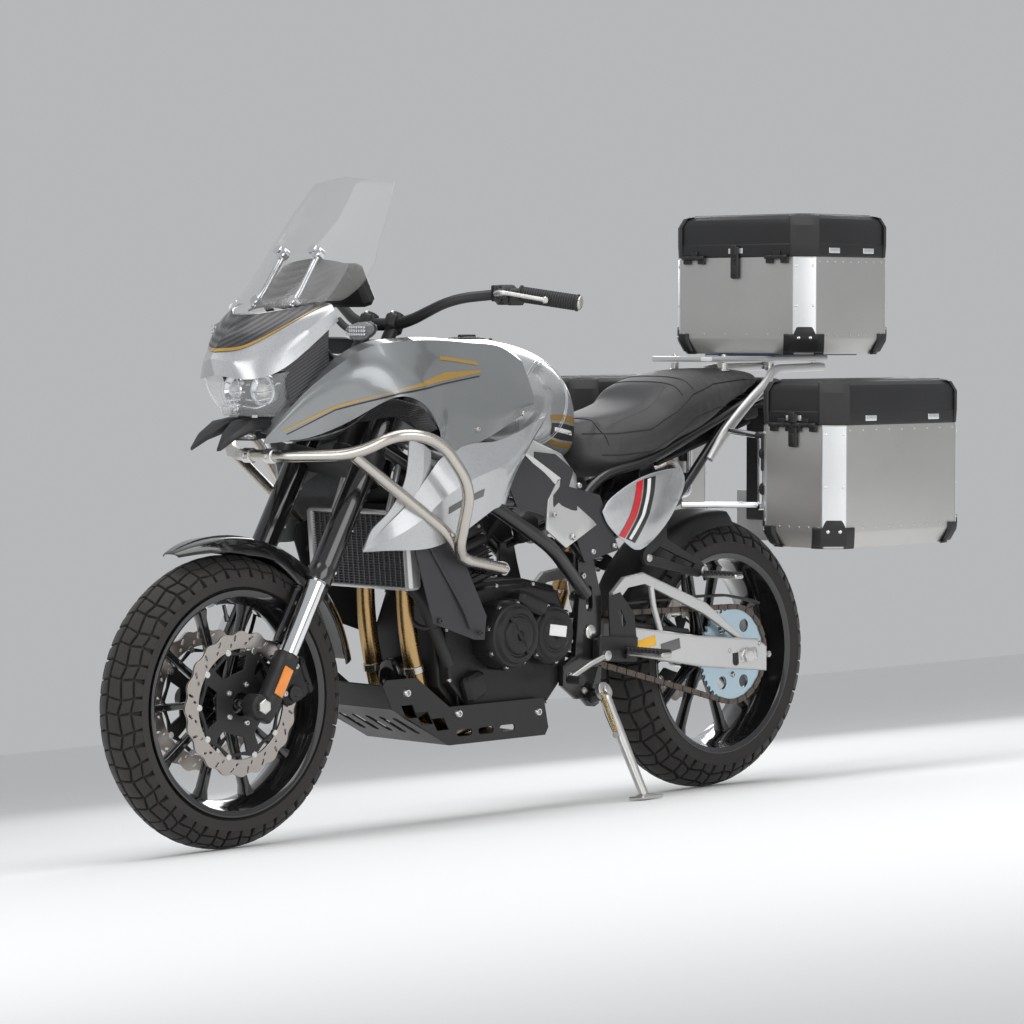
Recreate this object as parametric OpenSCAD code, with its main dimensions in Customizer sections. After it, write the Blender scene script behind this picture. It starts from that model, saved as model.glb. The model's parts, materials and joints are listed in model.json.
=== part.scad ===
// Adventure motorcycle with crash bars, side stand and a set of three aluminium cases.
// Bike frame: +X forward, +Y to the rider's left, +Z up, origin on the ground half-way between the axles.
// The last section leans the bike onto its side stand and puts the origin under the middle of its box.

/* [Overall] */
// Distance between the wheel axles
wheelbase = 1450; // [1250:5:1650]
// Angle of the steering axis from the vertical, in degrees
rake = 29.5; // [24:0.5:32]
// Lean on the side stand, in degrees
lean = 8; // [6:0.5:11]
// Width over the bar ends
bar_width = 806; // [720:2:860]

/* [Wheels] */
// Outer radius of the front tyre
front_tyre_r = 300; // [290:1:320]
// Width of the front tyre
front_tyre_w = 120; // [110:1:124]
// Outer radius of the rear tyre
rear_tyre_r = 313; // [300:1:330]
// Width of the rear tyre
rear_tyre_w = 160; // [130:1:164]
// Radius of the rim flanges
rim_r = 232; // [226:1:238]
// Radius of the front brake discs
front_disc_r = 149; // [130:1:160]
// Thickness of a brake disc
disc_t = 5; // [4:0.5:7]
// Radius of the front axle
front_axle_r = 10; // [8:0.5:12]
// Radius of the rear axle
rear_axle_r = 10; // [8:0.5:12]
// Radial clearance of an axle or pivot in its bore
running_clearance = 0.05; // [0.02:0.01:0.1]

/* [Steering] */
// Distance of each fork leg from the centre plane
leg_y = 105; // [100:1:115]
// Radius of the outer fork tubes
fork_tube_r = 27; // [24:0.5:30]
// Radius of the chromed fork tubes
fork_inner_r = 20.5; // [18:0.5:22]
// Distance of the axle ahead of the fork legs
axle_offset = 26; // [20:1:36]
// Distance of the fork legs ahead of the steering axis
clamp_offset = 32; // [25:1:40]
// Length from the axle to the top of the fork legs
fork_length = 812; // [790:1:840]
// Radius of the handlebar tube
bar_r = 11; // [10:0.5:14]

/* [Frame] */
// Radius of the main frame tubes
frame_tube_r = 15; // [12:0.5:18]
// Radius of the rear subframe tubes
subframe_tube_r = 11; // [9:0.5:13]
// Radius of the crash bar tubes
crash_tube_r = 12.5; // [11:0.5:14]
// Radius of the pannier frame tubes
pannier_tube_r = 8; // [7:0.5:10]
// Height of the swingarm pivot above the ground
pivot_z = 396; // [380:1:410]
// Distance of the swingarm pivot behind the middle of the wheelbase
pivot_back = 223; // [215:1:235]

/* [Cases] */
// Length of the top case, front to back
top_case_l = 322; // [280:1:360]
// Width of the top case
top_case_w = 424; // [380:1:460]
// Height of the top case below its lid
top_case_h = 224; // [180:1:260]
// Length of a pannier, front to back
pannier_l = 460; // [400:1:500]
// Width of a pannier
pannier_w = 237; // [200:1:250]
// Height of a pannier below its lid
pannier_h = 272; // [220:1:300]
// Height of the case lids
lid_h = 98; // [80:1:120]
// Wall of the cases
case_wall = 3; // [2:0.5:5]
// Chamfer on the upright corners of the cases
case_chamfer = 38; // [20:1:50]

/* [Fits] */
// Gap between neighbouring pieces
gap = 0.4; // [0.3:0.1:1]

/* [Hidden] */
$fn = 48;

// Crown radii of the tyres, a little over half their widths
front_crown = front_tyre_w / 2 + 2;
rear_crown = rear_tyre_w / 2 + 5;
// Axle heights that let both tyres touch the ground when the bike leans
front_axle_z = front_tyre_r - front_crown + front_crown / cos(lean);
rear_axle_z = rear_tyre_r - rear_crown + rear_crown / cos(lean);
front_axle_x = wheelbase / 2;
rear_axle_x = -wheelbase / 2;
// Places of the cases
top_case_x = -846 - top_case_l;
top_case_z = 1000;
pannier_x = -611 - pannier_l;
pannier_y = 263;
pannier_z = 575;
pivot_x = -pivot_back;
// Steering axis and clamps, measured along the fork from the axle
stem_x = -axle_offset - clamp_offset;
lower_clamp_z = 560;
upper_clamp_z = 775;
clamp_t = 32;
clamp_wall = 11;
full_lock = 32;
stem_r = 15;
head_tube_r = 30;
// Chain line
chain_y = 98;
sprocket_r = 111;
front_sprocket = [-150, 395];
front_sprocket_r = 38;
chain_t = 14;
// Colours
silver = [0.72, 0.73, 0.74];
dark = [0.1, 0.1, 0.11];
black = [0.04, 0.04, 0.045];
steel = [0.62, 0.6, 0.57];
alu = [0.66, 0.67, 0.68];

// ---------------------------------------------------------------- helpers

function unit(v) = v / norm(v);
function mix(a, b, t) = a + (b - a) * t;
function heading(p, i) =
    i == 0 ? unit(p[1] - p[0]) :
    i == len(p) - 1 ? unit(p[i] - p[i - 1]) :
    unit(unit(p[i + 1] - p[i]) + unit(p[i] - p[i - 1]));
function across(n, t) = unit(n - (n * t) * t);
function seed(t) = abs(t[2]) < 0.9 ? [0, 0, 1] : [1, 0, 0];

// Rounds the corners of a path: each inner point becomes a short curve
function bent(p, r, steps = 4) = [
    for (i = [0 : len(p) - 1])
        if (i == 0 || i == len(p) - 1) p[i]
        else let (
            a = p[i - 1] - p[i],
            b = p[i + 1] - p[i],
            d = min(r, 0.45 * norm(a), 0.45 * norm(b)),
            s = p[i] + unit(a) * d,
            e = p[i] + unit(b) * d
        ) for (k = [0 : steps]) let (t = k / steps)
            mix(mix(s, p[i], t), mix(p[i], e, t), t)
];

// Closed skin over a list of rings with the same number of points each
module skin(rings) {
    n = len(rings[0]);
    m = len(rings);
    points = concat([for (r = rings) for (q = r) q],
        [[for (k = [0 : 2]) mean(rings[0], k)], [for (k = [0 : 2]) mean(rings[m - 1], k)]]);
    sides = [for (i = [0 : m - 2]) for (j = [0 : n - 1]) let (k = (j + 1) % n) each [
        [i * n + j, i * n + k, (i + 1) * n + k],
        [i * n + j, (i + 1) * n + k, (i + 1) * n + j]]];
    first = [for (j = [0 : n - 1]) [m * n, (j + 1) % n, j]];
    last = [for (j = [0 : n - 1]) [m * n + 1, (m - 1) * n + j, (m - 1) * n + (j + 1) % n]];
    polyhedron(points, concat(sides, first, last), convexity = 6);
}
function total(v, k, i = 0) = i == len(v) ? 0 : v[i][k] + total(v, k, i + 1);
function mean(v, k) = total(v, k) / len(v);

// Sheet behind a grid of points, given as rows from the bottom up, each from right to left
module sheet(rows, back) {
    m = len(rows);
    n = len(rows[0]);
    points = concat([for (r = rows) each r], [for (r = rows) for (q = r) q - back]);
    front = [for (i = [0 : m - 2]) for (j = [0 : n - 2]) let (a = i * n + j) each [
        [a, a + n, a + n + 1],
        [a, a + n + 1, a + 1]]];
    rim = concat([for (j = [0 : n - 1]) j], [for (i = [1 : m - 1]) i * n + n - 1],
        [for (j = [n - 2 : -1 : 0]) (m - 1) * n + j], [for (i = [m - 2 : -1 : 1]) i * n]);
    edge = [for (k = [0 : len(rim) - 1]) let (a = rim[k], b = rim[(k + 1) % len(rim)]) each [
        [a, b, b + m * n],
        [a, b + m * n, a + m * n]]];
    polyhedron(points, concat(front, [for (f = front) [for (k = [2, 1, 0]) f[k] + m * n]], edge), convexity = 4);
}

// Round tube along a path
module tube(p, r, sides = 12) {
    frames = [for (i = 0, n = across(seed(heading(p, 0)), heading(p, 0)); i < len(p);
        i = i + 1, n = i < len(p) ? across(n, heading(p, i)) : n) n];
    skin([for (i = [0 : len(p) - 1]) let (n = frames[i], b = cross(heading(p, i), n))
        [for (j = [0 : sides - 1]) let (a = -360 * j / sides) p[i] + r * (cos(a) * n + sin(a) * b)]]);
}

// Straight rod between two points
module rod(a, b, r) {
    d = b - a;
    translate(a)
        rotate([0, acos(d[2] / norm(d)), atan2(d[1], d[0])])
            cylinder(h = norm(d), r = r);
}

// Panel of thickness t behind an outline in space, crowned towards its centre point
module panel(outline, centre, t) {
    n = len(outline);
    points = concat(outline, [centre], [for (q = outline) q - [0, t, 0]], [centre - [0, t, 0]]);
    polyhedron(points, concat(
        [for (j = [0 : n - 1]) [n, (j + 1) % n, j]],
        [for (j = [0 : n - 1]) [2 * n + 1, n + 1 + j, n + 1 + (j + 1) % n]],
        [for (j = [0 : n - 1]) let (k = (j + 1) % n) each [[j, k, n + 1 + k], [j, n + 1 + k, n + 1 + j]]]),
        convexity = 4);
}

module both_sides() {
    children();
    mirror([0, 1, 0])
        children();
}

// Places the fork's own frame: axle at the origin, steering axis upright, forward along +X
module fork_frame() {
    translate([front_axle_x, 0, front_axle_z])
        rotate([0, -rake, 0])
            children();
}
function fork_point(p) = [
    front_axle_x + p[0] * cos(rake) - p[2] * sin(rake),
    p[1],
    front_axle_z + p[0] * sin(rake) + p[2] * cos(rake)];

// Rounded oblong ring across the bike, for lofted bodies
function ring(x, w, z0, z1, power = 2.6, sides = 16) = [
    for (j = [0 : sides - 1]) let (
        a = 360 * (j + 0.5) / sides,
        c = cos(a),
        s = sin(a))
    [x, w * sign(c) * pow(abs(c), 2 / power), (z0 + z1) / 2 + (z1 - z0) / 2 * sign(s) * pow(abs(s), 2 / power)]];

// ---------------------------------------------------------------- wheels

// Half of the outer shape of a tyre: crown circle cut by sloping sidewalls
module tyre_section(r, w, crown, shrink) {
    intersection() {
        translate([r - crown, 0])
            circle(r = crown - shrink, $fn = 96);
        polygon([
            [rim_r - 10, -w * 0.36 + shrink], [rim_r - 10, w * 0.36 - shrink],
            [rim_r + 1, w * 0.36 - shrink], [rim_r + 14, w * 0.47 - shrink], [rim_r + 28, w / 2 - shrink], [r, w / 2 - shrink],
            [r, -w / 2 + shrink], [rim_r + 28, -w / 2 + shrink], [rim_r + 14, -w * 0.47 + shrink],
            [rim_r + 1, -w * 0.36 + shrink]]);
    }
}
module tyre(r, w, crown) {
    rotate([90, 0, 0])
        rotate_extrude($fn = 96)
            difference() {
                tyre_section(r, w, crown, 0);
                intersection() {
                    tyre_section(r, w, crown, 11);
                    translate([rim_r - 4, -w])
                        square([r, 2 * w]);
                }
            }
}
// Cast rim: barrel, hub with its axle bore, and spokes set in pairs
module rim(w, hub_r, hub_w, axle_r, pairs, spread, spoke_t) {
    y1 = w * 0.36 + gap;
    y2 = y1 + 6;
    rotate([90, 0, 0])
        difference() {
            union() {
                rotate_extrude($fn = 96)
                    polygon([
                        [rim_r - 26, -y2], [rim_r - 26, y2], [rim_r, y2], [rim_r, y1],
                        [rim_r - 10 - gap, y1], [rim_r - 10 - gap, w * 0.18], [rim_r - 18, w * 0.14],
                        [rim_r - 18, -w * 0.14], [rim_r - 10 - gap, -w * 0.18],
                        [rim_r - 10 - gap, -y1], [rim_r, -y1], [rim_r, -y2]]);
                cylinder(h = hub_w, r = hub_r, center = true);
                for (i = [0 : pairs - 1])
                    for (s = [-1, 1])
                        rotate([0, 0, 360 * i / pairs + s * spread])
                            translate([hub_r - 8, -9, -spoke_t / 2])
                                cube([rim_r - 24 - hub_r + 8, 18, spoke_t]);
            }
            cylinder(h = hub_w + 2, r = axle_r + running_clearance, center = true);
        }
}
module at_front_axle() {
    translate([front_axle_x, 0, front_axle_z])
        children();
}
module at_rear_axle() {
    translate([rear_axle_x, 0, rear_axle_z])
        children();
}
front_hub_w = 110;
disc_y = front_hub_w / 2 + disc_t / 2 + gap;
rear_hub_w = 150;

module front_tyre() {
    color(black)
        at_front_axle()
            tyre(front_tyre_r, front_tyre_w, front_crown);
}
module front_rim() {
    color(black)
        at_front_axle()
            rim(front_tyre_w, 34, front_hub_w, front_axle_r, 5, 18, 26);
}
// Floating disc: ring on a five-armed carrier
module brake_disc(r, y) {
    translate([0, y, 0])
        rotate([90, 0, 0])
            difference() {
                union() {
                    difference() {
                        cylinder(h = disc_t, r = r, center = true, $fn = 96);
                        cylinder(h = disc_t + 2, r = r - 34, center = true, $fn = 96);
                    }
                    for (i = [0 : 4])
                        rotate([0, 0, 72 * i])
                            translate([30, -11, -disc_t / 2])
                                cube([r - 60, 22, disc_t]);
                    cylinder(h = disc_t, r = 42, center = true);
                }
                cylinder(h = disc_t + 2, r = 24, center = true);
            }
}
module front_discs() {
    color(steel)
        at_front_axle() {
            brake_disc(front_disc_r, disc_y);
            brake_disc(front_disc_r, -disc_y);
        }
}
module rear_tyre() {
    color(black)
        at_rear_axle()
            tyre(rear_tyre_r, rear_tyre_w, rear_crown);
}
module rear_rim() {
    color(black)
        at_rear_axle()
            rim(rear_tyre_w, 44, rear_hub_w, rear_axle_r, 5, 14, 30);
}
// Chain sprocket on the left of the hub and brake disc on its right
module rear_sprocket() {
    color([0.6, 0.72, 0.78])
        at_rear_axle()
            translate([0, chain_y, 0])
                rotate([90, 0, 0])
                    difference() {
                        union() {
                            cylinder(h = 8, r = sprocket_r - 8, center = true, $fn = 96);
                            translate([0, 0, 4 - gap])
                                cylinder(h = chain_y - 4 - rear_hub_w / 2, r = 58);
                        }
                        cylinder(h = 80, r = 30, center = true);
                    }
    color(steel)
        at_rear_axle()
            brake_disc(120, -rear_hub_w / 2 - disc_t / 2 - gap);
}

// ---------------------------------------------------------------- steering

module fork_legs() {
    color(black)
        fork_frame()
            both_sides()
                translate([-axle_offset, leg_y, 0])
                    difference() {
                        union() {
                            translate([0, 0, fork_length - 520])
                                cylinder(h = 520, r = fork_tube_r);
                            translate([0, 0, 120])
                                cylinder(h = fork_length - 520 - 119, r = fork_inner_r);
                            translate([0, 0, -20])
                                cylinder(h = 145, r = 25);
                            translate([-2, -22, -24])
                                cube([axle_offset + 26, 40, 48]);
                        }
                        translate([axle_offset, 40, 0])
                            rotate([90, 0, 0])
                                cylinder(h = 90, r = front_axle_r + gap);
                    }
    color(steel)
        at_front_axle()
            rotate([90, 0, 0])
                cylinder(h = 2 * leg_y + 52, r = front_axle_r, center = true);
}
// Lower and upper clamp with the steering stem between them
module fork_clamps() {
    color(dark)
        fork_frame()
            difference() {
                union() {
                    for (z = [lower_clamp_z, upper_clamp_z])
                        translate([0, 0, z])
                            linear_extrude(clamp_t)
                                union() {
                                    for (s = [-1, 1])
                                        translate([-axle_offset, s * leg_y])
                                            circle(r = fork_tube_r + clamp_wall);
                                    polygon([
                                        [-axle_offset + 26, leg_y], [-axle_offset + 8, 40],
                                        [-axle_offset + 8, -40], [-axle_offset + 26, -leg_y],
                                        [-axle_offset - 26, -leg_y], [stem_x - 28, -22],
                                        [stem_x - 28, 22], [-axle_offset - 26, leg_y]]);
                                }
                    translate([stem_x, 0, lower_clamp_z])
                        cylinder(h = upper_clamp_z - lower_clamp_z + clamp_t, r = stem_r);
                    both_sides()
                        translate([-8, 40, upper_clamp_z + 4])
                            cylinder(h = 112 - 4 - bar_r - gap, r = 14);
                }
                both_sides()
                    translate([-axle_offset, leg_y, 0])
                        cylinder(h = 1000, r = fork_tube_r + gap);
            }
}
bar_clamp = fork_point([-8, 0, upper_clamp_z + 112]);
bar_path = [
    bar_clamp, bar_clamp + [0, 70, 0], [245, 180, 1122], [165, 275, 1134],
    [96, bar_width / 2 - 3, 1113]];
module handlebar() {
    color(black) {
        tube(concat([for (i = [len(bar_path) - 1 : -1 : 1]) [bar_path[i][0], -bar_path[i][1], bar_path[i][2]]],
            [for (i = [1 : len(bar_path) - 1]) bar_path[i]]), bar_r);
    }
}
mirror_seat = bar_path[3] + [36, -10, 16];
mirror_r = 5;
mirror_depth = 14;
module bar_controls() {
    grip_a = mix(bar_path[3], bar_path[4], 0.12);
    grip_b = bar_path[4] + [-3, 5, -1];
    color(dark)
        both_sides()
            difference() {
                union() {
                    tube([grip_a, grip_b], 17);
                    // Lever perch and switch housing
                    translate(bar_path[3] + [4, -14, -4])
                        rotate([0, 0, -30])
                            cube([46, 50, 40], center = true);
                    translate(mirror_seat - [0, 0, 34])
                        cylinder(h = 34, r = 11);
                    // Lever
                    tube(bent([bar_path[3] + [14, -8, 0], bar_path[3] + [62, 6, -2],
                        bar_path[4] + [62, -35, 6]], 20), 6, 8);
                }
                tube([bar_path[2], bar_path[3], grip_b + (grip_b - grip_a) * 0.2], bar_r + gap);
                // Threaded hole for a mirror stem
                translate(mirror_seat - [0, 0, mirror_depth])
                    cylinder(h = mirror_depth + 1, r = mirror_r);
            }
}
module front_fender() {
    inner = front_tyre_r + 20;
    color(black)
        difference() {
            at_front_axle()
                rotate([90, 0, 0])
                    intersection() {
                        rotate_extrude($fn = 96)
                            difference() {
                                translate([inner - 30, -68])
                                    polygon([[0, 0], [0, 136], [28, 136], [48, 100], [48, 36], [28, 0]]);
                                translate([inner - 31, -63])
                                    polygon([[0, 0], [0, 126], [28, 126], [44, 96], [44, 30], [28, 0]]);
                            }
                        translate([0, 0, -100])
                            linear_extrude(200)
                                polygon([[0, 0], [140, 420], [-420, 420], [-460, 60]]);
                    }
            fork_frame()
                both_sides()
                    translate([-axle_offset, leg_y, 0])
                        cylinder(h = 600, r = fork_tube_r + gap);
        }
    color(black)
        fork_frame()
            both_sides()
                difference() {
                    translate([-axle_offset - 15, 66 + gap, 140])
                        cube([50, leg_y - 66 - fork_inner_r, 178]);
                    translate([-axle_offset, leg_y, 0])
                        cylinder(h = 600, r = fork_inner_r + gap);
                    translate([-axle_offset, leg_y, fork_length - 520 - gap])
                        cylinder(h = 600, r = fork_tube_r + gap);
                }
}
caliper_out = disc_y + 32;
caliper_top = 136;
module front_calipers() {
    color(dark)
        fork_frame()
            both_sides()
                difference() {
                    translate([-axle_offset - 94, disc_y - 24, 44])
                        cube([76, 56, caliper_top - 44]);
                    translate([0, disc_y + disc_t / 2 + 1, 0])
                        rotate([90, 0, 0])
                            cylinder(h = disc_t + 2, r = front_disc_r + 4, $fn = 96);
                    translate([-axle_offset, leg_y, -30])
                        cylinder(h = 400, r = 25 + gap);
                    translate([0, 46, 0])
                        rotate([90, 0, 0])
                            cylinder(h = 200, r = 60, center = true);
                }
}
// Hoses clipped to the back of the fork: from the lower clamp down to the calipers
hose_r = 4;
hose_x = -axle_offset - fork_tube_r - hose_r - gap;
hose_points = [
    [hose_x, leg_y, lower_clamp_z - gap], [hose_x, leg_y, 300],
    [hose_x - 4, caliper_out - 12, 200], [hose_x - 8, caliper_out - 12, caliper_top + gap]];
module brake_hoses() {
    color(black)
        both_sides()
            tube(bent([for (q = hose_points) fork_point(q)], 40), hose_r, 8);
}

// ---------------------------------------------------------------- frame and engine

head_low = fork_point([stem_x, 0, lower_clamp_z + clamp_t + 6]);
head_high = fork_point([stem_x, 0, upper_clamp_z - 6]);
frame_tubes = [
    [[300, 36, 905], [150, 118, 800], [-60, 150, 690], [-205, 132, 560]],
    [[352, 36, 830], [250, 118, 745], [120, 165, 690], [-60, 172, 590], [-205, 132, 480]]];
frame_braces = [
    [[150, 118, 800], [120, 165, 690]], [[-60, 150, 690], [120, 165, 690]]];
module frame_tube_set(grow = 0) {
    both_sides() {
        for (p = frame_tubes)
            tube(bent(p, 50, 3), frame_tube_r + grow);
        for (p = frame_braces)
            tube(p, frame_tube_r - 4 + grow, 10);
    }
}
plate_y = 112;
plate_t = 16;
stand_pivot = [-236, 158, 266];
stand_pin_r = 6;
// Tilt of the stand's pin from crosswise, so that the stand folds in against the bike
stand_tilt = 25;
stand_boss_l = 38;
stand_hub_w = 14;
module at_stand_pivot() {
    translate(stand_pivot)
        rotate([stand_tilt - 90, 0, 0])
            children();
}
module frame_plates(grow = 0) {
    both_sides()
        translate([0, plate_y + plate_t + grow, 0])
            rotate([90, 0, 0])
                linear_extrude(plate_t + 2 * grow)
                    offset(delta = grow)
                        polygon([[-185, 585], [-228, 585], [-262, 470], [-258, 330], [-225, 250],
                            [-185, 250], [-140, 282], [-140, 326], [-178, 345], [-190, 470]]);
}
module main_frame() {
    color(black) {
        // Lug, boss and pin that carry the side stand
        translate([0, plate_y + plate_t, 0])
            rotate([90, 0, 0])
                linear_extrude(plate_t)
                    polygon([[-262, 320], [-254, 234], [-216, 234], [-190, 262], [-200, 320]]);
        at_stand_pivot()
            translate([0, 0, -stand_boss_l]) {
                cylinder(h = stand_boss_l - stand_hub_w / 2 - gap, r = 15);
                cylinder(h = stand_boss_l + stand_hub_w / 2 + 2, r = stand_pin_r);
            }
        difference() {
            union() {
                rod(head_low, head_high, head_tube_r);
                difference() {
                    union() {
                        frame_tube_set();
                        frame_plates();
                    }
                    rod(head_low, head_high, stem_r + 4);
                }
            }
            rod(head_low - (head_high - head_low) * 0.1, head_high + (head_high - head_low) * 0.1, stem_r + gap);
            translate([pivot_x, 0, pivot_z])
                rotate([90, 0, 0])
                    cylinder(h = 400, r = 10 + gap, center = true);
        }
    }
}
subframe_y = 122;
cross_z = 748;
subframe_paths = [
    [[-128, 141, 628], [-250, 124, 735], [-420, 120, 765], [-780, 112, 900], [-860, 90, 915]],
    [[-206, 122, 575], [-500, subframe_y, 668], [-700, 114, 862]]];
module subframe() {
    color(black)
        difference() {
            union() {
                both_sides()
                    for (p = subframe_paths)
                        tube(bent(p, 60, 3), subframe_tube_r);
                for (x = [-430, -780])
                    translate([x, 0, x == -430 ? cross_z : 900])
                        rotate([90, 0, 0])
                            cylinder(h = 236, r = 9, center = true);
            }
            frame_tube_set(gap);
            frame_plates(gap);
        }
}
// Crankcase with the gearbox behind it: one plain block for the engine's mass
engine_half = plate_y - gap;
module engine_block() {
    color(dark)
        difference() {
            translate([0, engine_half, 0])
                rotate([90, 0, 0])
                    linear_extrude(2 * engine_half)
                        polygon([[-180, 300], [-120, 235], [130, 225], [200, 300], [215, 420], [180, 500],
                            [60, 520], [-60, 520], [-150, 500], [-185, 440]]);
            // Room for the front of the chain
            translate([-200, 80, 330])
                cube([112, 40, 130]);
        }
}
head_tilt = 18;
head_half = 104;
module cylinder_head() {
    color(dark)
        difference() {
            translate([120, 0, 520 + gap])
                rotate([0, head_tilt, 0])
                    translate([0, 0, -20]) {
                        translate([-82, -head_half, 0])
                            cube([150, 2 * head_half, 130]);
                        translate([-90, -112, 128])
                            cube([166, 224, 90]);
                    }
            translate([-300, -200, 300])
                cube([600, 400, 220 + gap]);
        }
}
// Alternator cover on the left, clutch cover on the right
module engine_covers() {
    color(dark) {
        translate([52, 190, 407])
            rotate([90, 0, 0])
                cylinder(h = 190 - engine_half - gap, r = 74);
        translate([-90, 160, 400])
            rotate([90, 0, 0])
                cylinder(h = 160 - engine_half - gap, r = 68);
        translate([40, -engine_half - gap, 395])
            rotate([90, 0, 0])
                cylinder(h = 70, r = 88);
    }
}
radiator_half = 158 - gap;
module radiator() {
    color([0.3, 0.3, 0.31]) {
        translate([334, 0, 598])
            rotate([0, 5, 0])
                cube([34, 2 * radiator_half, 165], center = true);
        both_sides()
            difference() {
                rod([341, 84, 672], [300, 77, 787], 7);
                frame_tube_set(gap);
            }
    }
}
header_paths = [
    [[215, 62, 625], [274, 62, 600], [268, 62, 430], [228, 62, 270], [130, 40, 204], [-60, -36, 204]],
    [[215, -62, 625], [274, -62, 600], [268, -62, 430], [228, -62, 270], [130, -66, 204], [-60, -78, 204]]];
link_path = [[-66, -58, 204], [-200, -100, 206], [-310, -170, 225], [-420, -178, 400], [-500, -185, 580]];
link_end = unit(link_path[4] - link_path[3]);
module exhaust_headers() {
    color([0.55, 0.42, 0.25])
        difference() {
            union() {
                for (p = header_paths)
                    tube(bent(p, 70, 4), 20);
                tube(bent(link_path, 70, 4), 22);
            }
            cylinder_head();
            engine_block();
            skid_plate_solid();
        }
}
module muffler() {
    color([0.5, 0.47, 0.42])
        difference() {
            tube(bent([link_path[4] + gap * link_end, link_path[4] + 62 * link_end, [-850, -185, 722]], 30, 4),
                50, 20);
            translate([-862, -185, 725])
                rotate([0, 76, 0])
                    cylinder(h = 60, r = 28, center = true);
        }
}
module skid_plate_solid() {
    difference() {
        translate([0, 128, 0])
            rotate([90, 0, 0])
                linear_extrude(256)
                    polygon([[388, 330], [398, 318], [372, 268], [205, 178], [-85, 178], [-95, 196],
                        [-80, 262], [205, 262], [300, 330]]);
        translate([0, 124, 0])
            rotate([90, 0, 0])
                linear_extrude(248)
                    polygon([[383, 335], [390, 318], [367, 272], [203, 182], [-120, 182],
                        [-120, 360], [383, 360]]);
    }
}
module skid_plate() {
    color(black)
        skid_plate_solid();
}
crash_paths = [
    [[620, 0, 800], [620, 60, 800], [533, 195, 804], [475, 265, 850], [386, 290, 833], [306, 298, 735],
        [284, 240, 610], [262, 224, 588]],
    [[533, 190, 802], [300, 224, 636], [250, 214, 580], [100, 178 + 6, 552]]];
module crash_bars() {
    color(steel)
        both_sides() {
            for (p = crash_paths)
                tube(bent(p, 45, 4), crash_tube_r);
            translate([100, 188, 552])
                rotate([90, 0, 0])
                    cylinder(h = 188 - head_half - gap, r = 14);
        }
}
arm_y = 126;
brace_t = 14;
spool_x = -690;
spool_z = 302;
spool_r = 4;
spool_depth = 20;
module swingarm() {
    color(silver) {
        difference() {
            union() {
                for (s = [-1, 1])
                    translate([0, s * arm_y + 16, 0])
                        rotate([90, 0, 0])
                            linear_extrude(32)
                                polygon([[-275, 412], [-330, 404], [-560, 370], [-770, 350], [-800, 330],
                                    [-800, 272], [-580, 295], [-330, 338], [-275, 350]]);
                both_sides()
                    translate([0, arm_y + brace_t / 2, 0])
                        rotate([90, 0, 0])
                            linear_extrude(brace_t)
                                polygon([[-300, 400], [-290, 478], [-330, 512], [-392, 520], [-600, 442],
                                    [-740, 348], [-720, 348], [-590, 420], [-395, 496], [-340, 490],
                                    [-318, 470], [-322, 398]]);
                translate([-310, 0, 392])
                    rotate([90, 0, 0])
                        cylinder(h = 2 * arm_y, r = 26, center = true);
                translate([pivot_x, 0, pivot_z])
                    rotate([90, 0, 0])
                        cylinder(h = 2 * plate_y - 30, r = 24, center = true);
                both_sides()
                    translate([-310, 44, 372])
                        cube([310 - pivot_back, 38, 40]);
            }
            translate([pivot_x, 0, pivot_z])
                rotate([90, 0, 0])
                    cylinder(h = 400, r = 10 + gap, center = true);
            at_rear_axle()
                rotate([90, 0, 0])
                    cylinder(h = 400, r = rear_axle_r + gap, center = true);
            // Threaded holes for the spools of a paddock stand
            both_sides()
                translate([spool_x, arm_y + 17, spool_z])
                    rotate([90, 0, 0])
                        cylinder(h = spool_depth + 1, r = spool_r);
        }
    }
    color(steel) {
        at_rear_axle()
            rotate([90, 0, 0])
                cylinder(h = 300, r = rear_axle_r, center = true);
        translate([pivot_x, 0, pivot_z])
            rotate([90, 0, 0])
                cylinder(h = 2 * (plate_y + plate_t) + 16, r = 10, center = true);
    }
}
module rear_shock() {
    color(dark) {
        low = [-314, 0, 392 + 26 + gap];
        high = [-428, 0, cross_z - 9 - gap];
        rod(low, high, 10);
        rod(mix(low, high, 0.15), mix(low, high, 0.85), 27);
    }
}
// Right-hand brake caliper of the rear wheel
module rear_brake() {
    color(dark)
        at_rear_axle()
            difference() {
                translate([40, -rear_hub_w / 2 - 30, 20])
                    cube([92, 52, 62]);
                translate([0, -rear_hub_w / 2 - gap + 1, 0])
                    rotate([90, 0, 0])
                        cylinder(h = disc_t + 2, r = 124, $fn = 96);
                translate([0, -60, 0])
                    rotate([90, 0, 0])
                        cylinder(h = 200, r = 58, center = true);
                translate([0, -110 + gap, -200])
                    mirror([0, 1, 0])
                        cube([400, 60, 400]);
            }
}
// Side outline of the chain loop, grown or shrunk by t
module chain_loop(t) {
    hull() {
        translate(front_sprocket)
            circle(r = front_sprocket_r + t, $fn = 32);
        translate([rear_axle_x, rear_axle_z])
            circle(r = sprocket_r + t, $fn = 72);
    }
}
module chain() {
    color([0.3, 0.25, 0.22])
        translate([0, chain_y + chain_t / 2, 0])
            rotate([90, 0, 0])
                linear_extrude(chain_t)
                    difference() {
                        chain_loop(8);
                        chain_loop(-7.5);
                    }
}
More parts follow.
